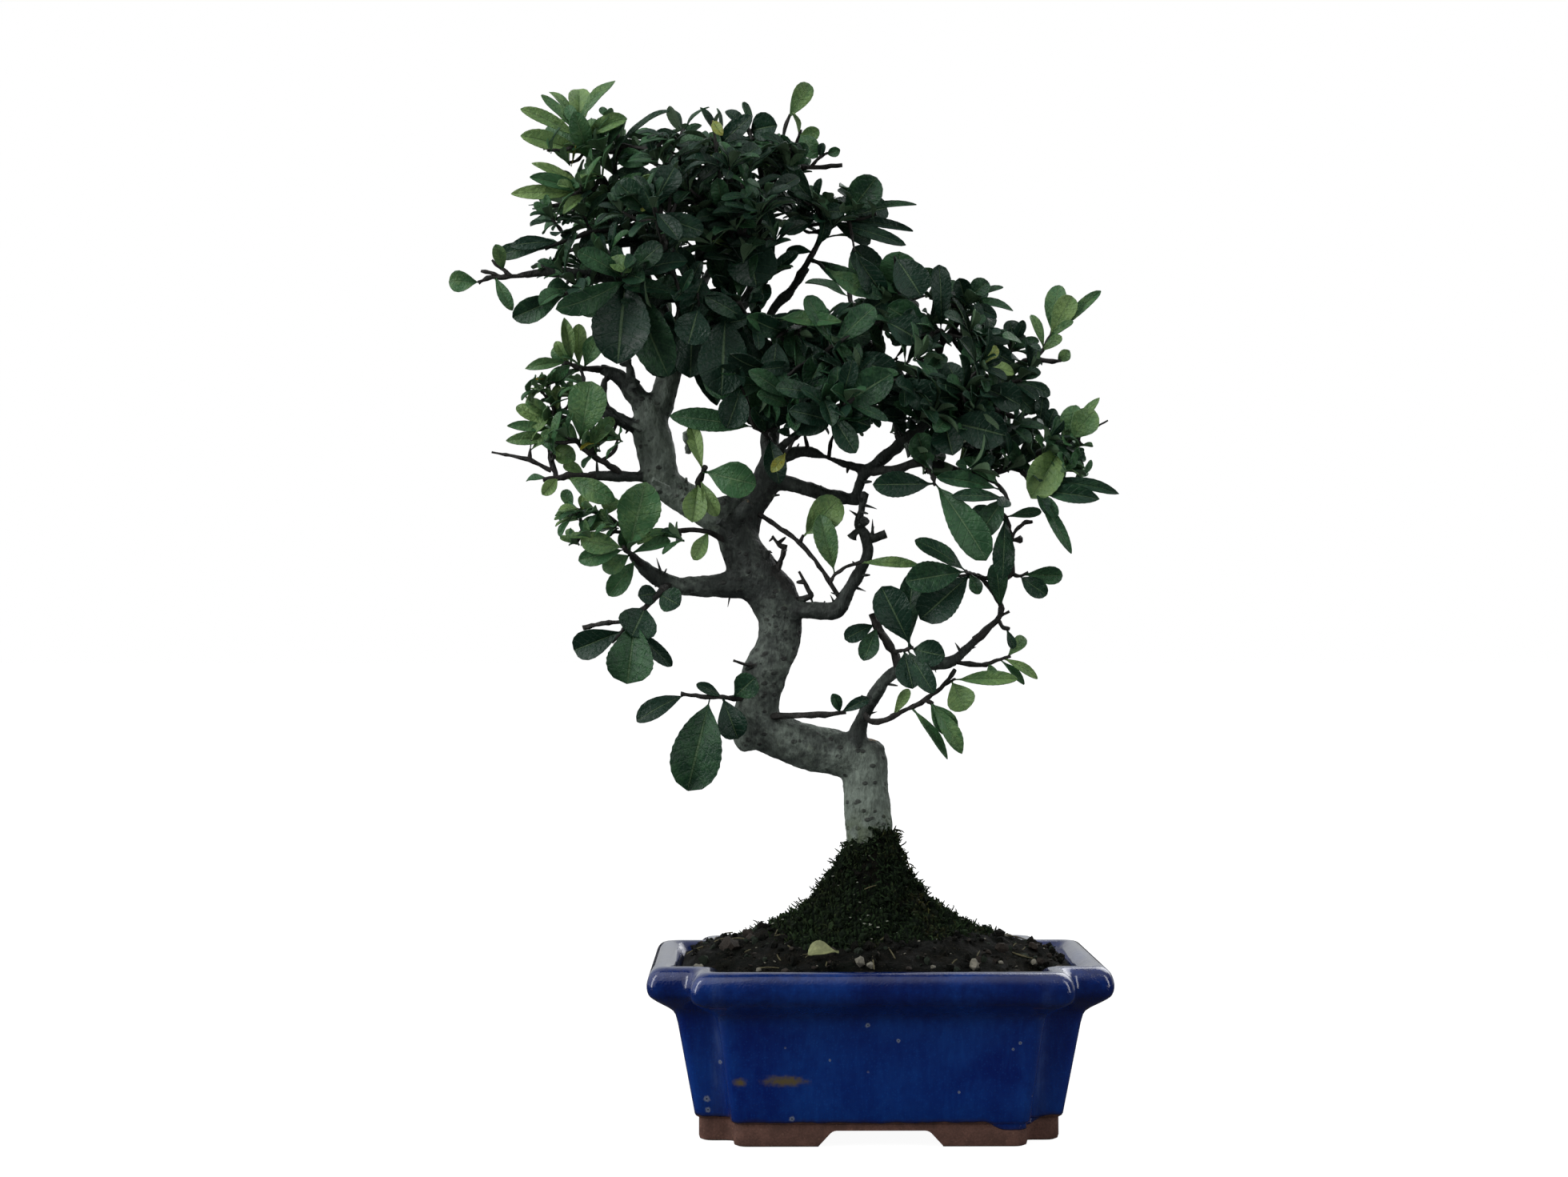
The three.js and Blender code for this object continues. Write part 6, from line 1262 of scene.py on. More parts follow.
def build_soil(settings, ground, looks):
    """The soil in the pot, heaped to the trunk, with its crumbled top."""
    bottom, top = FLOOR_TOP + GAP, POT_BODY[-1][1]
    rim = ground.edge / MM - 1.2
    straight = 40
    sides = [(inner_inset(settings, z) + GAP, z) for z in (bottom, top)]
    sides += [(SOIL_RIM_INSET, 70), (SOIL_RIM_INSET, rim)]
    rings = [pot_ring(settings, inset, z, straight) for inset, z in sides]
    plan = pot_ring(settings, SOIL_RIM_INSET + 2, rim, straight)
    turns = 56
    for turn in range(turns, 0, -1):
        share = turn / turns
        ring = []
        for corner in plan:
            x, y = lerp(TRUNK_X, corner.x, share), corner.y * share
            near_wall = smooth(0.93, 1.0, share)
            z = soil_height(ground, x, y) + crumbled(x, y) * 0.9
            ring.append(Vector((x, y, lerp(z, min(z, rim + 0.6), near_wall))))
        rings.append(ring)
    bm = bmesh.new()
    skin(bm, rings)
    return make_piece("potting_soil", bm, [soil_material(looks, ground)], "soil", ["soil"])


def scattered(bm, place, size, draw, fine=1, flat=1.0, material=0):
    """A crumb or pebble: a ball of few faces, knocked out of round."""
    ball = bmesh.ops.create_icosphere(bm, subdivisions=fine, radius=1)["verts"]
    stretch = Vector((size * draw.uniform(0.7, 1.3), size * draw.uniform(0.7, 1.3), size * flat))
    turn = Matrix.Rotation(draw.uniform(0, math.tau), 3, "Z")
    turn = turn @ Matrix.Rotation(draw.uniform(-0.5, 0.5), 3, "X")
    seed = Vector((draw.uniform(0, 99), draw.uniform(0, 99), 0))
    for vert in ball:
        lump = 1 + 0.6 * noise.noise(vert.co * 1.3 + seed)
        vert.co = place + turn @ Vector([part * far * lump for part, far in zip(vert.co, stretch)])
    for face in {face for vert in ball for face in vert.link_faces}:
        face.material_index = material
    return ball


def joined_chunks(chunks):
    """One bmesh from several made apart, which is quicker than growing one."""
    whole = bmesh.new()
    for chunk in chunks:
        mesh = bpy.data.meshes.new("chunk")
        chunk.to_mesh(mesh)
        chunk.free()
        whole.from_mesh(mesh)
        bpy.data.meshes.remove(mesh)
    return whole


def on_open_soil(draw):
    """A place on the soil, seldom on the moss."""
    while True:
        x, y = draw.uniform(-82, 82), draw.uniform(-60, 60)
        in_corner = abs(x) > 64 and abs(y) > 42
        if not in_corner and (from_trunk(x, y) > moss_edge(x, y) - 5 or draw.random() < 0.06):
            return x, y


def build_litter(ground, looks):
    """Crumbs, pebbles, chips of bark and straw that lie on the soil."""
    draw = random.Random(SEEDS["litter"])
    chunks = []
    for _ in range(math.ceil(ground.crumbs / CRUMBS_AT_ONCE)):
        bm = bmesh.new()
        for _ in range(CRUMBS_AT_ONCE):
            x, y = on_open_soil(draw)
            size = 0.4 + 1.7 * draw.random() ** 2.5
            kind = draw.choices((0, 2, 4, 1), (60, 16, 20, 3))[0]
            size = min(size, 0.7) if kind == 1 else size
            place = Vector((x, y, soil_height(ground, x, y) + crumbled(x, y) + size * 0.35))
            scattered(bm, place, size, draw, flat=(0.4 if kind == 2 else 0.7) * size, material=kind)
        chunks.append(bm)
    bm = bmesh.new()
    for x, y, size in PEBBLES:
        place = Vector((x, y, soil_height(ground, x, y) + size * 0.5))
        scattered(bm, place, size, draw, fine=2, flat=0.6 * size, material=1)
    for x, y, size in CHIPS:
        place = Vector((x, y, soil_height(ground, x, y) + 1.4))
        scattered(bm, place, size * 0.55, draw, fine=2, flat=0.9, material=2)
    for _ in range(STRAWS):
        x, y = on_open_soil(draw)
        turn, reach = draw.uniform(0, math.tau), draw.uniform(1.5, 5)
        points = []
        for step in (-1, 0, 1):
            at_x, at_y = x + step * reach * math.cos(turn), y + step * reach * math.sin(turn)
            lift = 1.1 + draw.uniform(0, 0.8)
            height = max(soil_height(ground, at_x, at_y), moss_height(ground, at_x, at_y))
            points.append(Vector((at_x, at_y, height + lift)))
        tube(bm, Curve(points, [0.28, 0.32, 0.2]), 4, 4, material=3)
    chunks.append(bm)
    materials = [
        soil_material(looks, ground),
        speckled_material(looks, "pebble", ground.pebble, 500, 0.7),
        speckled_material(looks, "bark_chip", tint(46, 37, 28), 300, 0.9),
        speckled_material(looks, "straw", ground.straw, 400, 0.8),
        speckled_material(looks, "moss_crumb", tint(22, 38, 20), 600, 0.95),
    ]
    return make_piece("soil_litter", joined_chunks(chunks), materials, "soil", crease=30)


def build_moss(ground, looks):
    """Moss over the mound: a skin whose every cell stands up as a tuft."""
    draw = random.Random(SEEDS["moss"])
    bm = bmesh.new()
    half_x, half_y = MOSS_REACH + 10, (MOSS_REACH + 10) * MOUND_SQUEEZE
    cell = 1.7
    columns, rows = round(2 * half_x / cell), round(2 * half_y / cell)
    bmesh.ops.create_grid(bm, x_segments=columns, y_segments=rows, size=1)
    away = []
    for vert in bm.verts:
        x, y = TRUNK_X + vert.co.x * half_x, vert.co.y * half_y
        reach = from_trunk(x, y)
        if reach > moss_edge(x, y) + 5 or reach < MOSS_HOLE:
            away.append(vert)
        vert.co = Vector((x, y, moss_height(ground, x, y)))
    bmesh.ops.delete(bm, geom=away, context="VERTS")
    for _ in range(2):
        steep = [edge for edge in bm.edges if edge.calc_length() > 2.4]
        bmesh.ops.subdivide_edges(bm, edges=steep, cuts=1, use_grid_fill=True)
    bmesh.ops.triangulate(bm, faces=[face for face in bm.faces if len(face.verts) > 4])
    for vert in bm.verts:
        x, y = vert.co.x + draw.uniform(-0.4, 0.4), vert.co.y + draw.uniform(-0.4, 0.4)
        vert.co = Vector((x, y, moss_height(ground, x, y)))
    bm.normal_update()
    for vert in bm.verts:
        lump = 2.2 * noise.noise(vert.co * 0.16) + 1.6 * noise.noise(vert.co * 0.45)
        vert.co += vert.normal * (lump - 0.6)
    bmesh.ops.recalc_face_normals(bm, faces=bm.faces[:])
    if sum(face.normal.z for face in bm.faces) < 0:
        bmesh.ops.reverse_faces(bm, faces=bm.faces[:])
    tip = float_layer(bm, "tip")
    tops = bm.faces[:]
    bmesh.ops.inset_individual(bm, faces=tops, thickness=0.14, depth=0)
    poked = bmesh.ops.poke(bm, faces=tops)
    for vert in poked["verts"]:
        height = ground.tuft / MM * draw.uniform(0.2, 0.9)
        lean = jitter(draw, 1) * 0.8
        vert.co += vert.normal * height * 0.7 + Vector((0, 0, height * 0.5)) + lean
        vert[tip] = draw.uniform(0.3, 1)
    border = [edge for edge in bm.edges if edge.is_boundary]
    sunk = bmesh.ops.extrude_edge_only(bm, edges=border)["geom"]
    hem = [item for item in sunk if isinstance(item, bmesh.types.BMVert)]
    bmesh.ops.translate(bm, vec=(0, 0, -ground.moss_depth / MM), verts=hem)
    return make_piece("moss_cover", bm, [moss_material(looks, ground)], "moss", ["moss"], crease=25)


def on_moss(draw):
    """A place on the moss, thicker strewn near the trunk."""
    while True:
        turn, reach = draw.uniform(0, math.tau), lerp(10, MOSS_REACH + 2, draw.random() ** 0.8)
        x, y = TRUNK_X + reach * math.cos(turn), reach * math.sin(turn) * MOUND_SQUEEZE
        if reach < moss_edge(x, y) + 2:
            return x, y


def slope_at(ground, x, y):
    """The way that the mound faces at a place."""
    step = 0.5
    fall_x = (mound_height(ground, x - step, y) - mound_height(ground, x + step, y)) / (2 * step)
    fall_y = (mound_height(ground, x, y - step) - mound_height(ground, x, y + step)) / (2 * step)
    return Vector((fall_x, fall_y, 1)).normalized()


def moss_spot(ground, draw):
    """A place in the moss and the way it faces: mostly on the mound, some of it up the trunk."""
    if draw.random() < CLIMB_SHARE:
        turn = draw.uniform(0, math.tau)
        top = MOSS_CLIMB + 5 * math.cos(turn) - 2 * math.sin(turn) + draw.uniform(-3, 0)
        outward = Vector((math.cos(turn), math.sin(turn), 0))
        height = draw.uniform(CLIMB_FROM, top)
        return Vector((TRUNK_X, 0, height)) + outward * lerp(*CLIMB_OUT, (height - 95) / 33), outward
    x, y = on_moss(draw)
    return Vector((x, y, moss_height(ground, x, y))), slope_at(ground, x, y)


def build_sprigs(ground, looks):
    """Clumps and loose strands of moss, and pale bits that catch the light."""
    draw = random.Random(SEEDS["sprigs"])
    chunks = []
    for _ in range(ground.sprigs // SPRIGS_AT_ONCE):
        bm = bmesh.new()
        tip = float_layer(bm, "tip")
        for kind in range(SPRIGS_AT_ONCE):
            foot, outward = moss_spot(ground, draw)
            shade = draw.uniform(0, 0.75) ** 1.5
            if kind % 3 == 0:
                size = 0.6 + 1.1 * draw.random() ** 2
                made = scattered(bm, foot + outward * size * 0.3, size, draw, flat=size * 0.8)
            else:
                shade = draw.uniform(0.2, 1)
                way = (outward * draw.uniform(0.1, 0.6) + jitter(draw, 1)).normalized()
                reach = draw.uniform(1.4, 3.8)
                bend = foot + outward * 1.2 + way * reach * 0.5 + jitter(draw, 0.8)
                end = foot + outward + way * reach
                made = tube(bm, Curve([foot, bend, end], [0.3, 0.36, 0.14]), 3, 3)
            for vert in made:
                vert[tip] = shade
        chunks.append(bm)
    bm = bmesh.new()
    for _ in range(PALE_BITS):
        foot, outward = moss_spot(ground, draw)
        scattered(bm, foot + outward * 1.2, draw.uniform(0.3, 0.8), draw, flat=0.4, material=1)
    chunks.append(bm)
    pale_bit = speckled_material(looks, "pale_bit", tint(168, 172, 156), 500, 0.8)
    materials = [moss_material(looks, ground), pale_bit]
    return make_piece("moss_sprigs", joined_chunks(chunks), materials, "moss", crease=40)


# The bark's swells, as how close they lie and how high they are, and where spurs grow: above a
# height, on limbs under a radius.
BARK_SWELLS = [(0.06, 1.5), (0.12, 1.0), (0.3, 0.5), (1.0, 0.22)]
SPURS_ABOVE = 175
SPURS_UNDER = 8


def limb_curves():
    """The limbs as curves."""
    return [seen_curve(points) for points in LIMBS]


def thorn_curve(thorn):
    """A thorn as a curve that tapers to its point."""
    x, z, depth, tip_x, tip_z = thorn
    foot, tip = seen(x, z, depth), seen(tip_x, tip_z, depth - 2)
    return Curve([foot, foot.lerp(tip, 0.5) + Vector((0, 0, 0.2)), tip], [1.0, 0.65, 0.12])


def build_wood(wood, looks):
    """Trunk, limbs, twigs, stubs and thorns, the thick ones grown together without a seam."""
    curves = limb_curves()
    thick = [curve for curve in curves if max(curve.radii) >= 2.6]
    bm = bmesh.new()
    for curve in thick:
        tube(bm, curve, 18, 8 * (len(curve.points) - 1))
    bm = settled(bm, [("REMESH", {"mode": "VOXEL", "voxel_size": wood.voxel / MM})])
    axes = {"use_axis_x": True, "use_axis_y": True, "use_axis_z": True}
    for _ in range(2):
        bmesh.ops.smooth_vert(bm, verts=bm.verts[:], factor=0.5, **axes)
    bm.normal_update()
    for vert in bm.verts:
        swell = sum(noise.noise(vert.co * scale) * depth for scale, depth in BARK_SWELLS)
        vert.co += vert.normal * swell * wood.knobs / MM
    grown = bm
    bm = bmesh.new()
    for curve in curves:
        if curve not in thick:
            tube(bm, curve, 8, 5 * (len(curve.points) - 1), swell=0.5)
    for thorn in THORNS:
        tube(bm, thorn_curve(thorn), 6, 4)
    draw = random.Random(SEEDS["spurs"])
    for _ in range(wood.spurs):
        curve = draw.choices(curves, [len(curve.points) for curve in curves])[0]
        share = draw.uniform(0.1, 0.95)
        girth, foot, along = curve.radius(share), curve.point(share), curve.tangent(share)
        side = along.cross(jitter(draw, 1)).normalized()
        if foot.z > SPURS_ABOVE and girth < SPURS_UNDER:
            reach = girth + draw.uniform(1.2, 4.2)
            radius = draw.uniform(0.45, 1.1)
            tip = foot + (side + along * draw.uniform(-0.2, 0.6)).normalized() * reach
            tube(bm, Curve([foot, foot.lerp(tip, 0.6), tip], [radius * 1.4, radius, radius * 0.5]), 5, 3)
    for x, z, depth, tip_x, tip_z, radius in STUBS:
        foot, tip = seen(x, z, depth), seen(tip_x, tip_z, depth - 5)
        bend = foot.lerp(tip, 0.5) + Vector((0.6, 0, 0.9))
        tube(bm, Curve([foot, bend, tip], [radius * 1.25, radius * 0.8, radius]), 9, 8, swell=1.2)
    bm = joined_chunks([grown, bm])
    girth, pale = float_layer(bm, "girth"), float_layer(bm, "pale")
    samples = []
    for curve in curves:
        count = 6 * (len(curve.points) - 1)
        samples.extend((curve.point(step / count), curve.radius(step / count)) for step in range(count + 1))
    tree = tree_of([point for point, _ in samples])
    for vert in bm.verts:
        near = [(away, samples[index][1]) for _, index, away in tree.find_n(vert.co, 14)]
        radius = min((abs(away - radius), radius) for away, radius in near)[1]
        vert[girth] = clamp((radius - 1) / 8)
        height = vert.co.z
        tall = lerp(lerp(0.85, 0.42, smooth(150, 172, height)), 0.0, smooth(205, 245, height))
        tall += 0.06 + 0.75 * smooth(66, 76, -vert.co.x) * smooth(212, 236, height)
        vert[pale] = clamp(tall + 0.3 * noise.noise(vert.co * 0.06)) * smooth(2, 7, radius)
    cuts = [(seen(x, z, depth), radius) for x, z, depth, radius in CUTS]
    for face in bm.faces:
        middle = face.calc_center_median()
        for place, radius in cuts:
            if (middle - place).length < radius and abs(face.normal.z) > 0.75:
                face.material_index = 1
    materials = [bark_material(looks, wood), cut_material(looks, wood)]
    return make_piece("trunk_and_limbs", bm, materials, "bark", ["wood"], crease=50)


Leaf = namedtuple("Leaf", "foot along up length width tone")

# How far out on its stem the last leaf stands, and how leaves are shifted along it and in depth.
END_OF_STEM = 0.96
STAGGER = 0.04
STAGGER_STEPS = 5
KEY_SHIFTS = [0, -4, 4, -8, 8, -12, 12]
TRIES = 6
LEAVES_AT_ONCE = 24
TWIG_GIRTH = 0.03
CROWN_X = -50

# Tones of the leaves that the solids have and of those added to them, and how near, in metres, a
# leaf's tip has to lie to a corner of its solid.
KEPT_TONES = {"dark": 0.12, "fresh": 0.62}
ADDED_TONES = {"dark": 0.12, "fresh": 0.6}
SAME_PLACE = 0.00008

# Where the rows of a blade's mesh lie, from foot to tip.
ROWS = [0, 0.05, 0.1, 0.2, 0.34, 0.5, 0.66, 0.8, 0.91, 0.97, 1]


def leant(axis, upright, turn, lean):
    """A way at an angle from an axis, turned about it."""
    side = axis.cross(upright).normalized()
    other = side.cross(axis)
    way = axis * math.cos(lean) + (side * math.cos(turn) + other * math.sin(turn)) * math.sin(lean)
    return way.normalized()


def stem_place(curves, place, step):
    """Where on the stems a leaf stands, and the way that its stem runs there."""
    index = max(math.ceil(place) - 1, 0)
    share = max((place - index) * END_OF_STEM - STAGGER * (step % STAGGER_STEPS), 0.2)
    return curves[index].point(share), curves[index].tangent(share)


def key_leaf(curves, key, step, shift, tone):
    """A listed leaf, its tip moved in depth by a shift."""
    place, x, z, depth, width, roll = key
    foot = stem_place(curves, place, step)[0]
    along = seen(x, z, depth + shift) - foot
    length = along.length
    along.normalize()
    facing = square_to((EYE - foot).normalized(), along)
    across = along.cross(facing)
    turn = math.radians(roll) * (-1 if across.z < 0 else 1)
    return Leaf(foot, along, facing * math.cos(turn) + across * math.sin(turn), length, width, tone)


def rule_leaf(curves, size, step, count, draws, attempt, tone):
    """A leaf set by rule along the stems, from four draws; each attempt turns it further."""
    each = math.ceil(count / len(curves))
    share = 1 - 0.72 * (step // len(curves)) / each
    foot, along = stem_place(curves, (step % len(curves)) + share, step + 2)
    length = size * (0.7 + 0.5 * draws[0]) * (1 - 0.06 * attempt)
    turn = step * GOLDEN_ANGLE + 0.5 * draws[1] + attempt * 1.3
    lean = lerp(1.15, 0.5, share) + 0.5 * (draws[2] - 0.5)
    way = leant(along, Vector((0.1, 0, 1)), turn, lean)
    outward = Vector((foot.x - CROWN_X, foot.y, 0)).normalized()
    up = Vector((0, 0, 0.6)) + 0.4 * outward + Vector((0, -draws[3], 0))
    width = length * lerp(0.36, 0.5, draws[3])
    return Leaf(foot, way, square_to(up, way), length, width, tone)


def add_leaf(bm, leaf, draw, material=1):
    """A leaf with a stalk, a fold at its midrib, an arch, a twist and a waved, toothed edge."""
    hero = leaf.length > 26
    columns = 6 if hero else 4
    rows = 24 if hero else len(ROWS) - 1
    tone = float_layer(bm, "tone")
    uv = bm.loops.layers.uv.get("UVMap") or bm.loops.layers.uv.new("UVMap")
    grid = bmesh.ops.create_grid(bm, x_segments=columns, y_segments=rows, size=1)["verts"]
    across = leaf.along.cross(leaf.up)
    stalk = 0.09 if leaf.length > 9 else 0.04
    fold = draw.uniform(0.2, 0.6)
    arch = 0.22 + draw.uniform(-0.06, 0.16)
    curl = draw.uniform(-0.02, 0.14)
    twist = draw.uniform(-0.5, 0.5)
    wave = draw.uniform(0.01, 0.07) * leaf.width
    phase = draw.uniform(0, math.tau)
    blunt = draw.uniform(0.42, 0.62) if leaf.width / leaf.length > 0.3 else draw.uniform(0.6, 0.85)
    slope = draw.uniform(0.85, 1.15)
    peak = slope / (slope + blunt)
    most = peak ** slope * (1 - peak) ** blunt
    places = {}
    for vert in grid:
        aside = vert.co.x
        row = round((vert.co.y + 1) / 2 * rows)
        share = row / rows if hero else ROWS[row]
        grown = clamp((share - stalk) / (1 - stalk))
        outline = grown ** slope * (1 - grown) ** blunt / most
        tooth = 1 + (0.035 if row % 2 else 0) * hero
        half = max(outline * leaf.width / 2 * tooth, 0.32 if share < 0.6 else 0.12)
        edge = abs(aside) * half
        turned = twist * (share - 0.4)
        lift = arch * share * (1 - share) * leaf.length - curl * share ** 3 * leaf.length
        lift += fold * edge + wave * aside * aside * math.sin(11 * share + phase + (1 if aside > 0 else 0))
        flat = aside * half
        at_side = flat * math.cos(turned) - fold * 0.3 * edge * math.sin(turned)
        lift += flat * math.sin(turned)
        vert.co = leaf.foot + leaf.along * share * leaf.length + across * at_side + leaf.up * lift
        vert[tone] = leaf.tone
        places[vert] = ((aside + 1) / 2, share)
    faces = list({face for vert in grid for face in vert.link_faces})
    for face in faces:
        face.material_index = material
        for loop in face.loops:
            loop[uv].uv = places[loop.vert]
    for face in faces:
        face.normal_update()
    if sum(face.normal.dot(leaf.up) for face in faces) < 0:
        bmesh.ops.reverse_faces(bm, faces=faces)
    return faces


def thickened(bm, faces, leaf_settings, under):
    """Gives blades their thickness; what is made is their lower side."""
    made = bmesh.ops.solidify(bm, geom=faces, thickness=leaf_settings.thickness / MM)["geom"]
    for item in made:
        if isinstance(item, bmesh.types.BMFace):
            item.material_index = under


def kept_leaves(number, spray, curves):
    """The leaves of a leafy stem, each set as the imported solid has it."""
    node = f"leafy_stem_{number:02d}"
    mesh = frame["nodes"][node].data
    tree = tree_of([vert.co for vert in mesh.vertices])
    tone_name, more, size, _, keys = spray
    tone = KEPT_TONES[tone_name]
    draw = seeded(number)
    vary = random.Random(number)
    ways = []
    for step, key in enumerate(keys):
        own = tone + vary.uniform(-0.1, 0.26)
        ways.append([key_leaf(curves, key, step, shift, own) for shift in KEY_SHIFTS])
    for step in range(more):
        draws = [draw() for _ in range(4)]
        own = tone + vary.uniform(-0.1, 0.26)
        ways.append([rule_leaf(curves, size, step, more, draws, attempt, own) for attempt in range(TRIES)])
    kept = []
    for options in ways:
        for leaf in options:
            tip = TO_FRAME @ (leaf.foot + leaf.along * leaf.length)
            if tree.find(tip)[2] < SAME_PLACE:
                kept.append(leaf)
                break
    return kept


def is_open(point):
    """True where the background is to show."""
    x, z = shown(point)
    return any(math.hypot(x - at_x, z - at_z) < radius for at_x, at_z, radius in OPENINGS)


def in_masses(point, room):
    """True in a mass of the crown, or in as much room round it."""
    x, z = shown(point)
    return any(math.hypot((x - at_x) / half_x, (z - at_z) / half_z) < room
               for at_x, at_z, half_x, half_z, *_ in MASSES)


def blocks_view(leaf):
    """True if a leaf would hide an opening."""
    across = leaf.along.cross(leaf.up) * leaf.width * 0.4
    middle = leaf.foot + leaf.along * leaf.length * 0.6
    tip = leaf.foot + leaf.along * leaf.length
    return any(is_open(point) for point in (middle, middle + across, middle - across, tip))


def dressed_stem(curves, leaves, draw, settings):
    """Stems and leaves in one mesh; the bark's attributes go on the stems."""
    chunks = []
    for start in range(0, len(leaves), LEAVES_AT_ONCE):
        bm = bmesh.new()
        blades = []
        for leaf in leaves[start:start + LEAVES_AT_ONCE]:
            blades.extend(add_leaf(bm, leaf, draw))
        thickened(bm, blades, settings, 2)
        chunks.append(bm)
    bm = bmesh.new()
    float_layer(bm, "tone")
    float_layer(bm, "pale")
    girth = float_layer(bm, "girth")
    for curve in curves:
        for vert in tube(bm, curve, 7, 5 * (len(curve.points) - 1), swell=0.7):
            vert[girth] = TWIG_GIRTH
    return joined_chunks([*chunks, bm])


def build_leafy_stem(number, spray, settings, materials):
    """A leafy stem with the leaves of its solid and a few more."""
    curves = [seen_curve(points) for points in spray[3]]
    leaves = kept_leaves(number, spray, curves)
    draw = random.Random(100 + number)
    size = max(spray[2], 12)
    count = 4 * len(curves)
    for step in range(count):
        draws = [draw.random() for _ in range(4)]
        tone = ADDED_TONES[spray[0]] + draw.uniform(-0.12, 0.2)
        leaf = rule_leaf(curves, size * 0.85, step + 1, count, draws, 0, tone)
        if not blocks_view(leaf) and in_masses(leaf.foot + leaf.along * leaf.length, 1.1):
            leaves.append(leaf)
    bm = dressed_stem(curves, leaves, draw, settings)
    name, node = f"leafy_twig_{number:02d}", f"leafy_stem_{number:02d}"
    return make_piece(name, bm, materials, "leaf_" + spray[0], [node], crease=50)


def rosette_leaf(foot, axis, size, step, count, draw, tone):
    """A leaf of a rosette: the outer ones wide and long, the inner ones upright and short."""
    inner = step / max(count - 1, 1)
    turn = step * GOLDEN_ANGLE + draw.uniform(-0.3, 0.3)
    lean = lerp(1.35, 0.4, inner) + draw.uniform(-0.2, 0.2)
    way = leant(axis, Vector((0.1, 0.2, 1)), turn, lean)
    up = axis + Vector((draw.uniform(-0.5, 0.5), draw.uniform(-0.9, 0.3), draw.uniform(0, 0.5)))
    length = size * lerp(1.15, 0.65, inner) * draw.uniform(0.8, 1.2)
    width = length * draw.uniform(0.27, 0.42)
    return Leaf(foot - axis * 2.5 * (1 - inner), way, square_to(up, way), length, width, tone)


def build_single_leaves(samples, tree, settings, materials):
    """Large leaves that stand alone, each on a stalk from the nearest wood."""
    draw = random.Random(SEEDS["single"])
    stalks, leaves = [], []
    for foot_x, foot_z, tip_x, tip_z, depth, width, tone in BIG_LEAVES:
        foot, tip = seen(foot_x, foot_z, depth), seen(tip_x, tip_z, depth - draw.uniform(0, 8))
        start = samples[tree.find(foot)[1]]
        stalks.append(Curve([start, start.lerp(foot, 0.6) + Vector((0, 0, 1)), foot], [0.9, 0.7, 0.6]))
        along = (tip - foot).normalized()
        up = EYE - foot + Vector((draw.uniform(-300, 300), 0, draw.uniform(0, 500)))
        leaves.append(Leaf(foot, along, square_to(up, along), (tip - foot).length, width, tone))
    bm = dressed_stem(stalks, leaves, draw, settings)
    return make_piece("single_leaves", bm, materials, "leaf_dark", crease=50)


def build_rosettes(settings, materials):
    """Single leaves, then rosettes on short spurs, which fill the crown from front to back."""
    curves = limb_curves() + [seen_curve(points) for spray in SPRAYS for points in spray[3]]
    samples = [curve.point(step / 30) for curve in curves for step in range(6, 31)]
    tree = tree_of(samples)
    build_single_leaves(samples, tree, settings, materials)
    for number, mass in enumerate(MASSES, start=1):
        at_x, at_z, half_x, half_z, front, back, rosettes, size, tone, hang = mass
        draw = random.Random(500 + number)
        spurs, leaves = [], []
        for _ in range(round(rosettes * settings.rosettes)):
            turn, reach = draw.uniform(0, math.tau), math.sqrt(draw.random())
            depth = draw.uniform(front, back)
            aside, up = half_x * reach * math.cos(turn), half_z * reach * math.sin(turn)
            centre = seen(at_x + aside, at_z + up, depth)
            foot = samples[tree.find(centre)[1]]
            outward = Vector((centre.x - CROWN_X, centre.y, 0)) * 0.012
            axis = Vector((draw.uniform(-0.4, 0.4), draw.uniform(-0.5, 0.2), lerp(0.9, -0.5, hang))) + outward
            axis.normalize()
            reach = max((centre - foot).length, 5)
            centre = foot + (centre - foot).normalized() * reach
            bend = foot.lerp(centre, 0.55) - axis * 0.15 * reach
            spurs.append(Curve([foot, bend, centre], [0.95, 0.8, 0.6]))
            count = draw.randint(3, 4) if hang > 0.5 else draw.randint(7, 10)
            for step in range(count):
                # Tones below 0.1 darken the leaf with painted shade.
                own = tone + draw.uniform(-0.2, 0.3) + (draw.random() < 0.012)
                leaf = rosette_leaf(centre, axis, size, step, count, draw, own)
                if not blocks_view(leaf) and in_masses(leaf.foot + leaf.along * leaf.length, 1.12):
                    leaves.append(leaf)
        bm = dressed_stem(spurs, leaves, draw, settings)
        slot = "leaf_fresh" if tone > 0.4 else "leaf_dark"
        make_piece(f"rosettes_{number:02d}", bm, materials, slot, crease=50)


def build_fallen_leaf(ground, settings, looks):
    """The yellow leaf that lies on the soil in front."""
    feet = []
    for x, y in (FALLEN["foot"], FALLEN["tip"]):
        feet.append(Vector((x, y, mound_height(ground, x, y) + FALLEN["clear"])))
    along = feet[1] - feet[0]
    length = along.length
    along.normalize()
    up = square_to(Vector((0, -0.75, 0.66)), along)
    leaf = Leaf(feet[0], along, up, length, FALLEN["width"], 1.15)
    bm = bmesh.new()
    blades = add_leaf(bm, leaf, random.Random(SEEDS["fallen"]), 0)
    thickened(bm, blades, settings, 0)
    materials = [speckled_material(looks, "dry_leaf", tint(158, 164, 112), 120, 0.7)]
    return make_piece("yellow_leaf", bm, materials, "leaf_dry", ["fallen_leaf"], crease=50)


# How far the camera looks up and to the right, in degrees, and the soft lamps as place, aim, size
# and power.
CAMERA_UP = 1.22
CAMERA_RIGHT = 0.59
LAMPS = [
    ("window_left", (-1.4, -0.75, 0.9), (0, 0, 0.1), (0.45, 2.2), 15),
    ("window_right", (1.3, -0.95, 0.8), (0, 0, 0.1), (0.3, 2.0), 8),
    ("rim", (0.9, 1.2, 1.2), (0, 0, 0.25), (1.2, 1.2), 8),
]

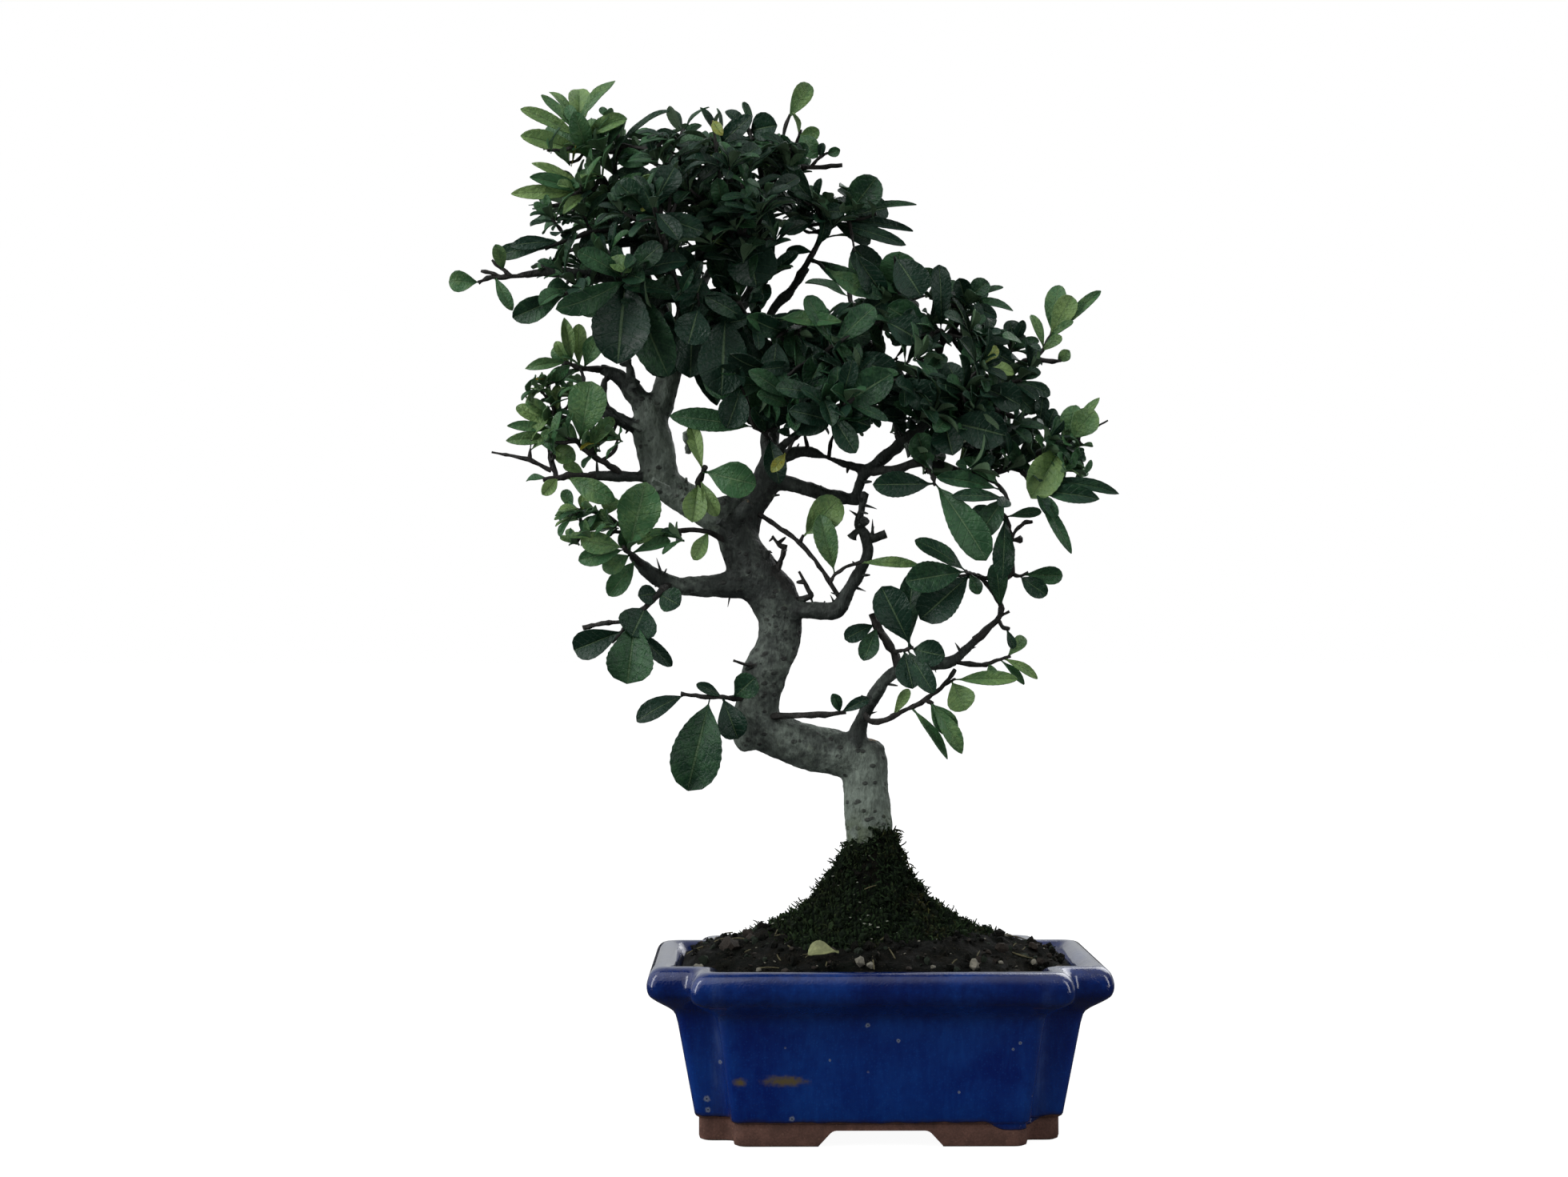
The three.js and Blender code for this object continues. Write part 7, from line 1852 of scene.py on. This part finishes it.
# Where the key light comes from, the light of the room's dark side, how much of its own light the
# floor gives back, and how bright its glow is to the camera and how much of the floor glows.
KEY_FROM = (-0.85, -0.3, 0.75)
DARK_SIDE = 0.05
FLOOR_BOUNCE = 0.28
FLOOR_GLOW = 1.28
FLOOR_GLOWS = 0.74


def build_floor(stage):
    """A wide pale floor, which glows to the camera and throws little light back."""
    bm = bmesh.new()
    bmesh.ops.create_grid(bm, x_segments=1, y_segments=1, size=30)
    floor = linked(bm, "floor")
    material = bpy.data.materials.new("floor_paper")
    nodes = emptied(material)
    direct, mirrored = (nodes.read(ray, "LightPath") for ray in ("Is Camera Ray", "Is Glossy Ray"))
    bounced = [dimmed(stage.floor, share) for share in (FLOOR_BOUNCE, 0.2 * FLOOR_BOUNCE)]
    colour = nodes.mix(direct, nodes.mix(mirrored, *bounced), stage.floor)
    paper = nodes.read(0, "BsdfDiffuse", {"Color": colour})
    glow = nodes.read(0, "Emission", {"Color": (1, 1, 1, 1), "Strength": FLOOR_GLOW})
    mixed = nodes.read(0, "MixShader", {0: direct * FLOOR_GLOWS, 1: paper, 2: glow})
    nodes.add("OutputMaterial", {"Surface": mixed})
    floor.data.materials.append(material)


def build_world(stage):
    """White to the camera, and an even light from above and behind."""
    world = bpy.data.worlds.new("studio")
    nodes = emptied(world)
    direct = nodes.read("Is Camera Ray", "LightPath")
    _, back, up = nodes.separate(nodes.read("Generated", "TexCoord"))
    lit = nodes.math("MAXIMUM", nodes.range(up, 0.4, 1.0), nodes.range(back, -0.2, 0.8))
    strength = lit * stage.sky + DARK_SIDE
    room = nodes.read(0, "Background", {"Color": (0.94, 0.97, 1, 1), "Strength": strength})
    white = nodes.read(0, "Background", {"Color": (1, 1, 1, 1), "Strength": 1.0})
    mixed = nodes.read(0, "MixShader", {0: direct, 1: room, 2: white})
    nodes.add("OutputWorld", {"Surface": mixed})
    bpy.context.scene.world = world


def build_lamps(stage):
    """The soft key light and the lamps that show in the glaze."""
    objects = bpy.context.scene.collection.objects
    sun = bpy.data.lights.new("key", "SUN")
    sun.energy = stage.key
    sun.angle = math.radians(90)
    lamp = bpy.data.objects.new("key", sun)
    lamp.rotation_euler = Vector(KEY_FROM).to_track_quat("Z", "Y").to_euler()
    objects.link(lamp)
    for name, place, aim, size, power in LAMPS:
        light = bpy.data.lights.new(name, "AREA")
        light.shape = "RECTANGLE"
        light.size, light.size_y = size
        light.energy = power
        lamp = bpy.data.objects.new(name, light)
        lamp.location = place
        lamp.rotation_euler = (Vector(aim) - Vector(place)).to_track_quat("-Z", "Y").to_euler()
        objects.link(lamp)


def build_camera(stage):
    """The camera at the photograph's place."""
    camera = bpy.data.cameras.new("camera")
    camera.lens = stage.lens
    camera.sensor_width = 36
    camera.sensor_fit = "HORIZONTAL"
    eye = bpy.data.objects.new("camera", camera)
    eye.location = TO_FRAME @ EYE
    eye.rotation_euler = (math.radians(90 + CAMERA_UP), 0, math.radians(-CAMERA_RIGHT))
    bpy.context.scene.collection.objects.link(eye)
    bpy.context.scene.camera = eye


def shared_looks():
    """The node groups that materials share, made once."""
    makers = {"mottle": mottle_group, "specks": speck_group, "veins": vein_group}
    groups = bpy.data.node_groups
    return {key: groups.get("Bonsai " + key) or make("Bonsai " + key) for key, make in makers.items()}


def leaf_materials(context):
    """Bark of the stems, then the upper and lower side of the leaves, made once."""
    names = ("living_bark", "leaf_upper_side", "leaf_lower_side")
    if not bpy.data.materials.get(names[1]):
        looks = shared_looks()
        leaf_material(looks, context.scene.bonsai_leaf)
        leaf_under_material(looks, context.scene.bonsai_leaf)
    if not bpy.data.materials.get(names[0]):
        bark_material(shared_looks(), context.scene.bonsai_wood)
    return [bpy.data.materials[name] for name in names]


class BonsaiStage(bpy.types.Operator):
    """Sets the floor, the light and the camera"""

    bl_idname = "bonsai.stage"
    bl_label = "Stage"

    def execute(self, context):
        context.scene.view_settings.view_transform = "Standard"
        for build in (build_floor, build_world, build_lamps, build_camera):
            build(context.scene.bonsai_stage)
        return {"FINISHED"}


class BonsaiPot(bpy.types.Operator):
    """Makes the glazed pot and finishes its drain screens"""

    bl_idname = "bonsai.pot"
    bl_label = "Pot"

    def execute(self, context):
        looks = shared_looks()
        build_pot(context.scene.bonsai_pot, looks)
        screen = screen_material(looks)
        for side in ("left", "right"):
            node = frame["nodes"][f"drain_screen_{side}"]
            for slot in node.material_slots:
                slot.material = screen
        return {"FINISHED"}


class BonsaiGround(bpy.types.Operator):
    """Makes the soil, the moss, the litter and the fallen leaf"""

    bl_idname = "bonsai.ground"
    bl_label = "Soil and moss"

    def execute(self, context):
        looks = shared_looks()
        ground = context.scene.bonsai_ground
        build_soil(context.scene.bonsai_pot, ground, looks)
        build_moss(ground, looks)
        build_sprigs(ground, looks)
        build_litter(ground, looks)
        build_fallen_leaf(ground, context.scene.bonsai_leaf, looks)
        return {"FINISHED"}


class BonsaiWood(bpy.types.Operator):
    """Makes the trunk, limbs, twigs and thorns"""

    bl_idname = "bonsai.wood"
    bl_label = "Wood"

    def execute(self, context):
        build_wood(context.scene.bonsai_wood, shared_looks())
        return {"FINISHED"}


class BonsaiLeafyStems(bpy.types.Operator):
    """Makes the leafy stems, each in the place of its solid"""

    bl_idname = "bonsai.leafy_stems"
    bl_label = "Leafy stems"

    def execute(self, context):
        materials = leaf_materials(context)
        for number, spray in enumerate(SPRAYS, start=1):
            build_leafy_stem(number, spray, context.scene.bonsai_leaf, materials)
        return {"FINISHED"}


class BonsaiRosettes(bpy.types.Operator):
    """Makes the further rosettes that fill the crown"""

    bl_idname = "bonsai.rosettes"
    bl_label = "Rosettes"

    def execute(self, context):
        build_rosettes(context.scene.bonsai_leaf, leaf_materials(context))
        return {"FINISHED"}


STEPS = (BonsaiStage, BonsaiPot, BonsaiGround, BonsaiWood, BonsaiLeafyStems, BonsaiRosettes)


class BonsaiPanel(bpy.types.Panel):
    """Lists the pieces and the settings"""

    bl_idname = "BONSAI_PT_pieces"
    bl_label = "Firethorn bonsai"
    bl_space_type = "VIEW_3D"
    bl_region_type = "UI"
    bl_category = "Bonsai"

    def draw(self, context):
        layout = self.layout
        for step in STEPS:
            layout.operator(step.bl_idname)
        for name in SETTINGS:
            box = layout.box()
            settings = getattr(context.scene, name)
            for key in settings.__annotations__:
                box.prop(settings, key)


SETTINGS = {
    "bonsai_pot": BonsaiPotSettings,
    "bonsai_ground": BonsaiGroundSettings,
    "bonsai_wood": BonsaiWoodSettings,
    "bonsai_leaf": BonsaiLeafSettings,
    "bonsai_stage": BonsaiStageSettings,
}


def register():
    for cls in (*SETTINGS.values(), *STEPS, BonsaiPanel):
        bpy.utils.register_class(cls)
    for name, cls in SETTINGS.items():
        setattr(bpy.types.Scene, name, PointerProperty(type=cls))


def unregister():
    for name in SETTINGS:
        delattr(bpy.types.Scene, name)
    for cls in reversed((*SETTINGS.values(), *STEPS, BonsaiPanel)):
        bpy.utils.unregister_class(cls)


def main():
    register()
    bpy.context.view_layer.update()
    for step in STEPS:
        group, name = step.bl_idname.split(".")
        getattr(getattr(bpy.ops, group), name)()


if __name__ == "__main__":
    main()
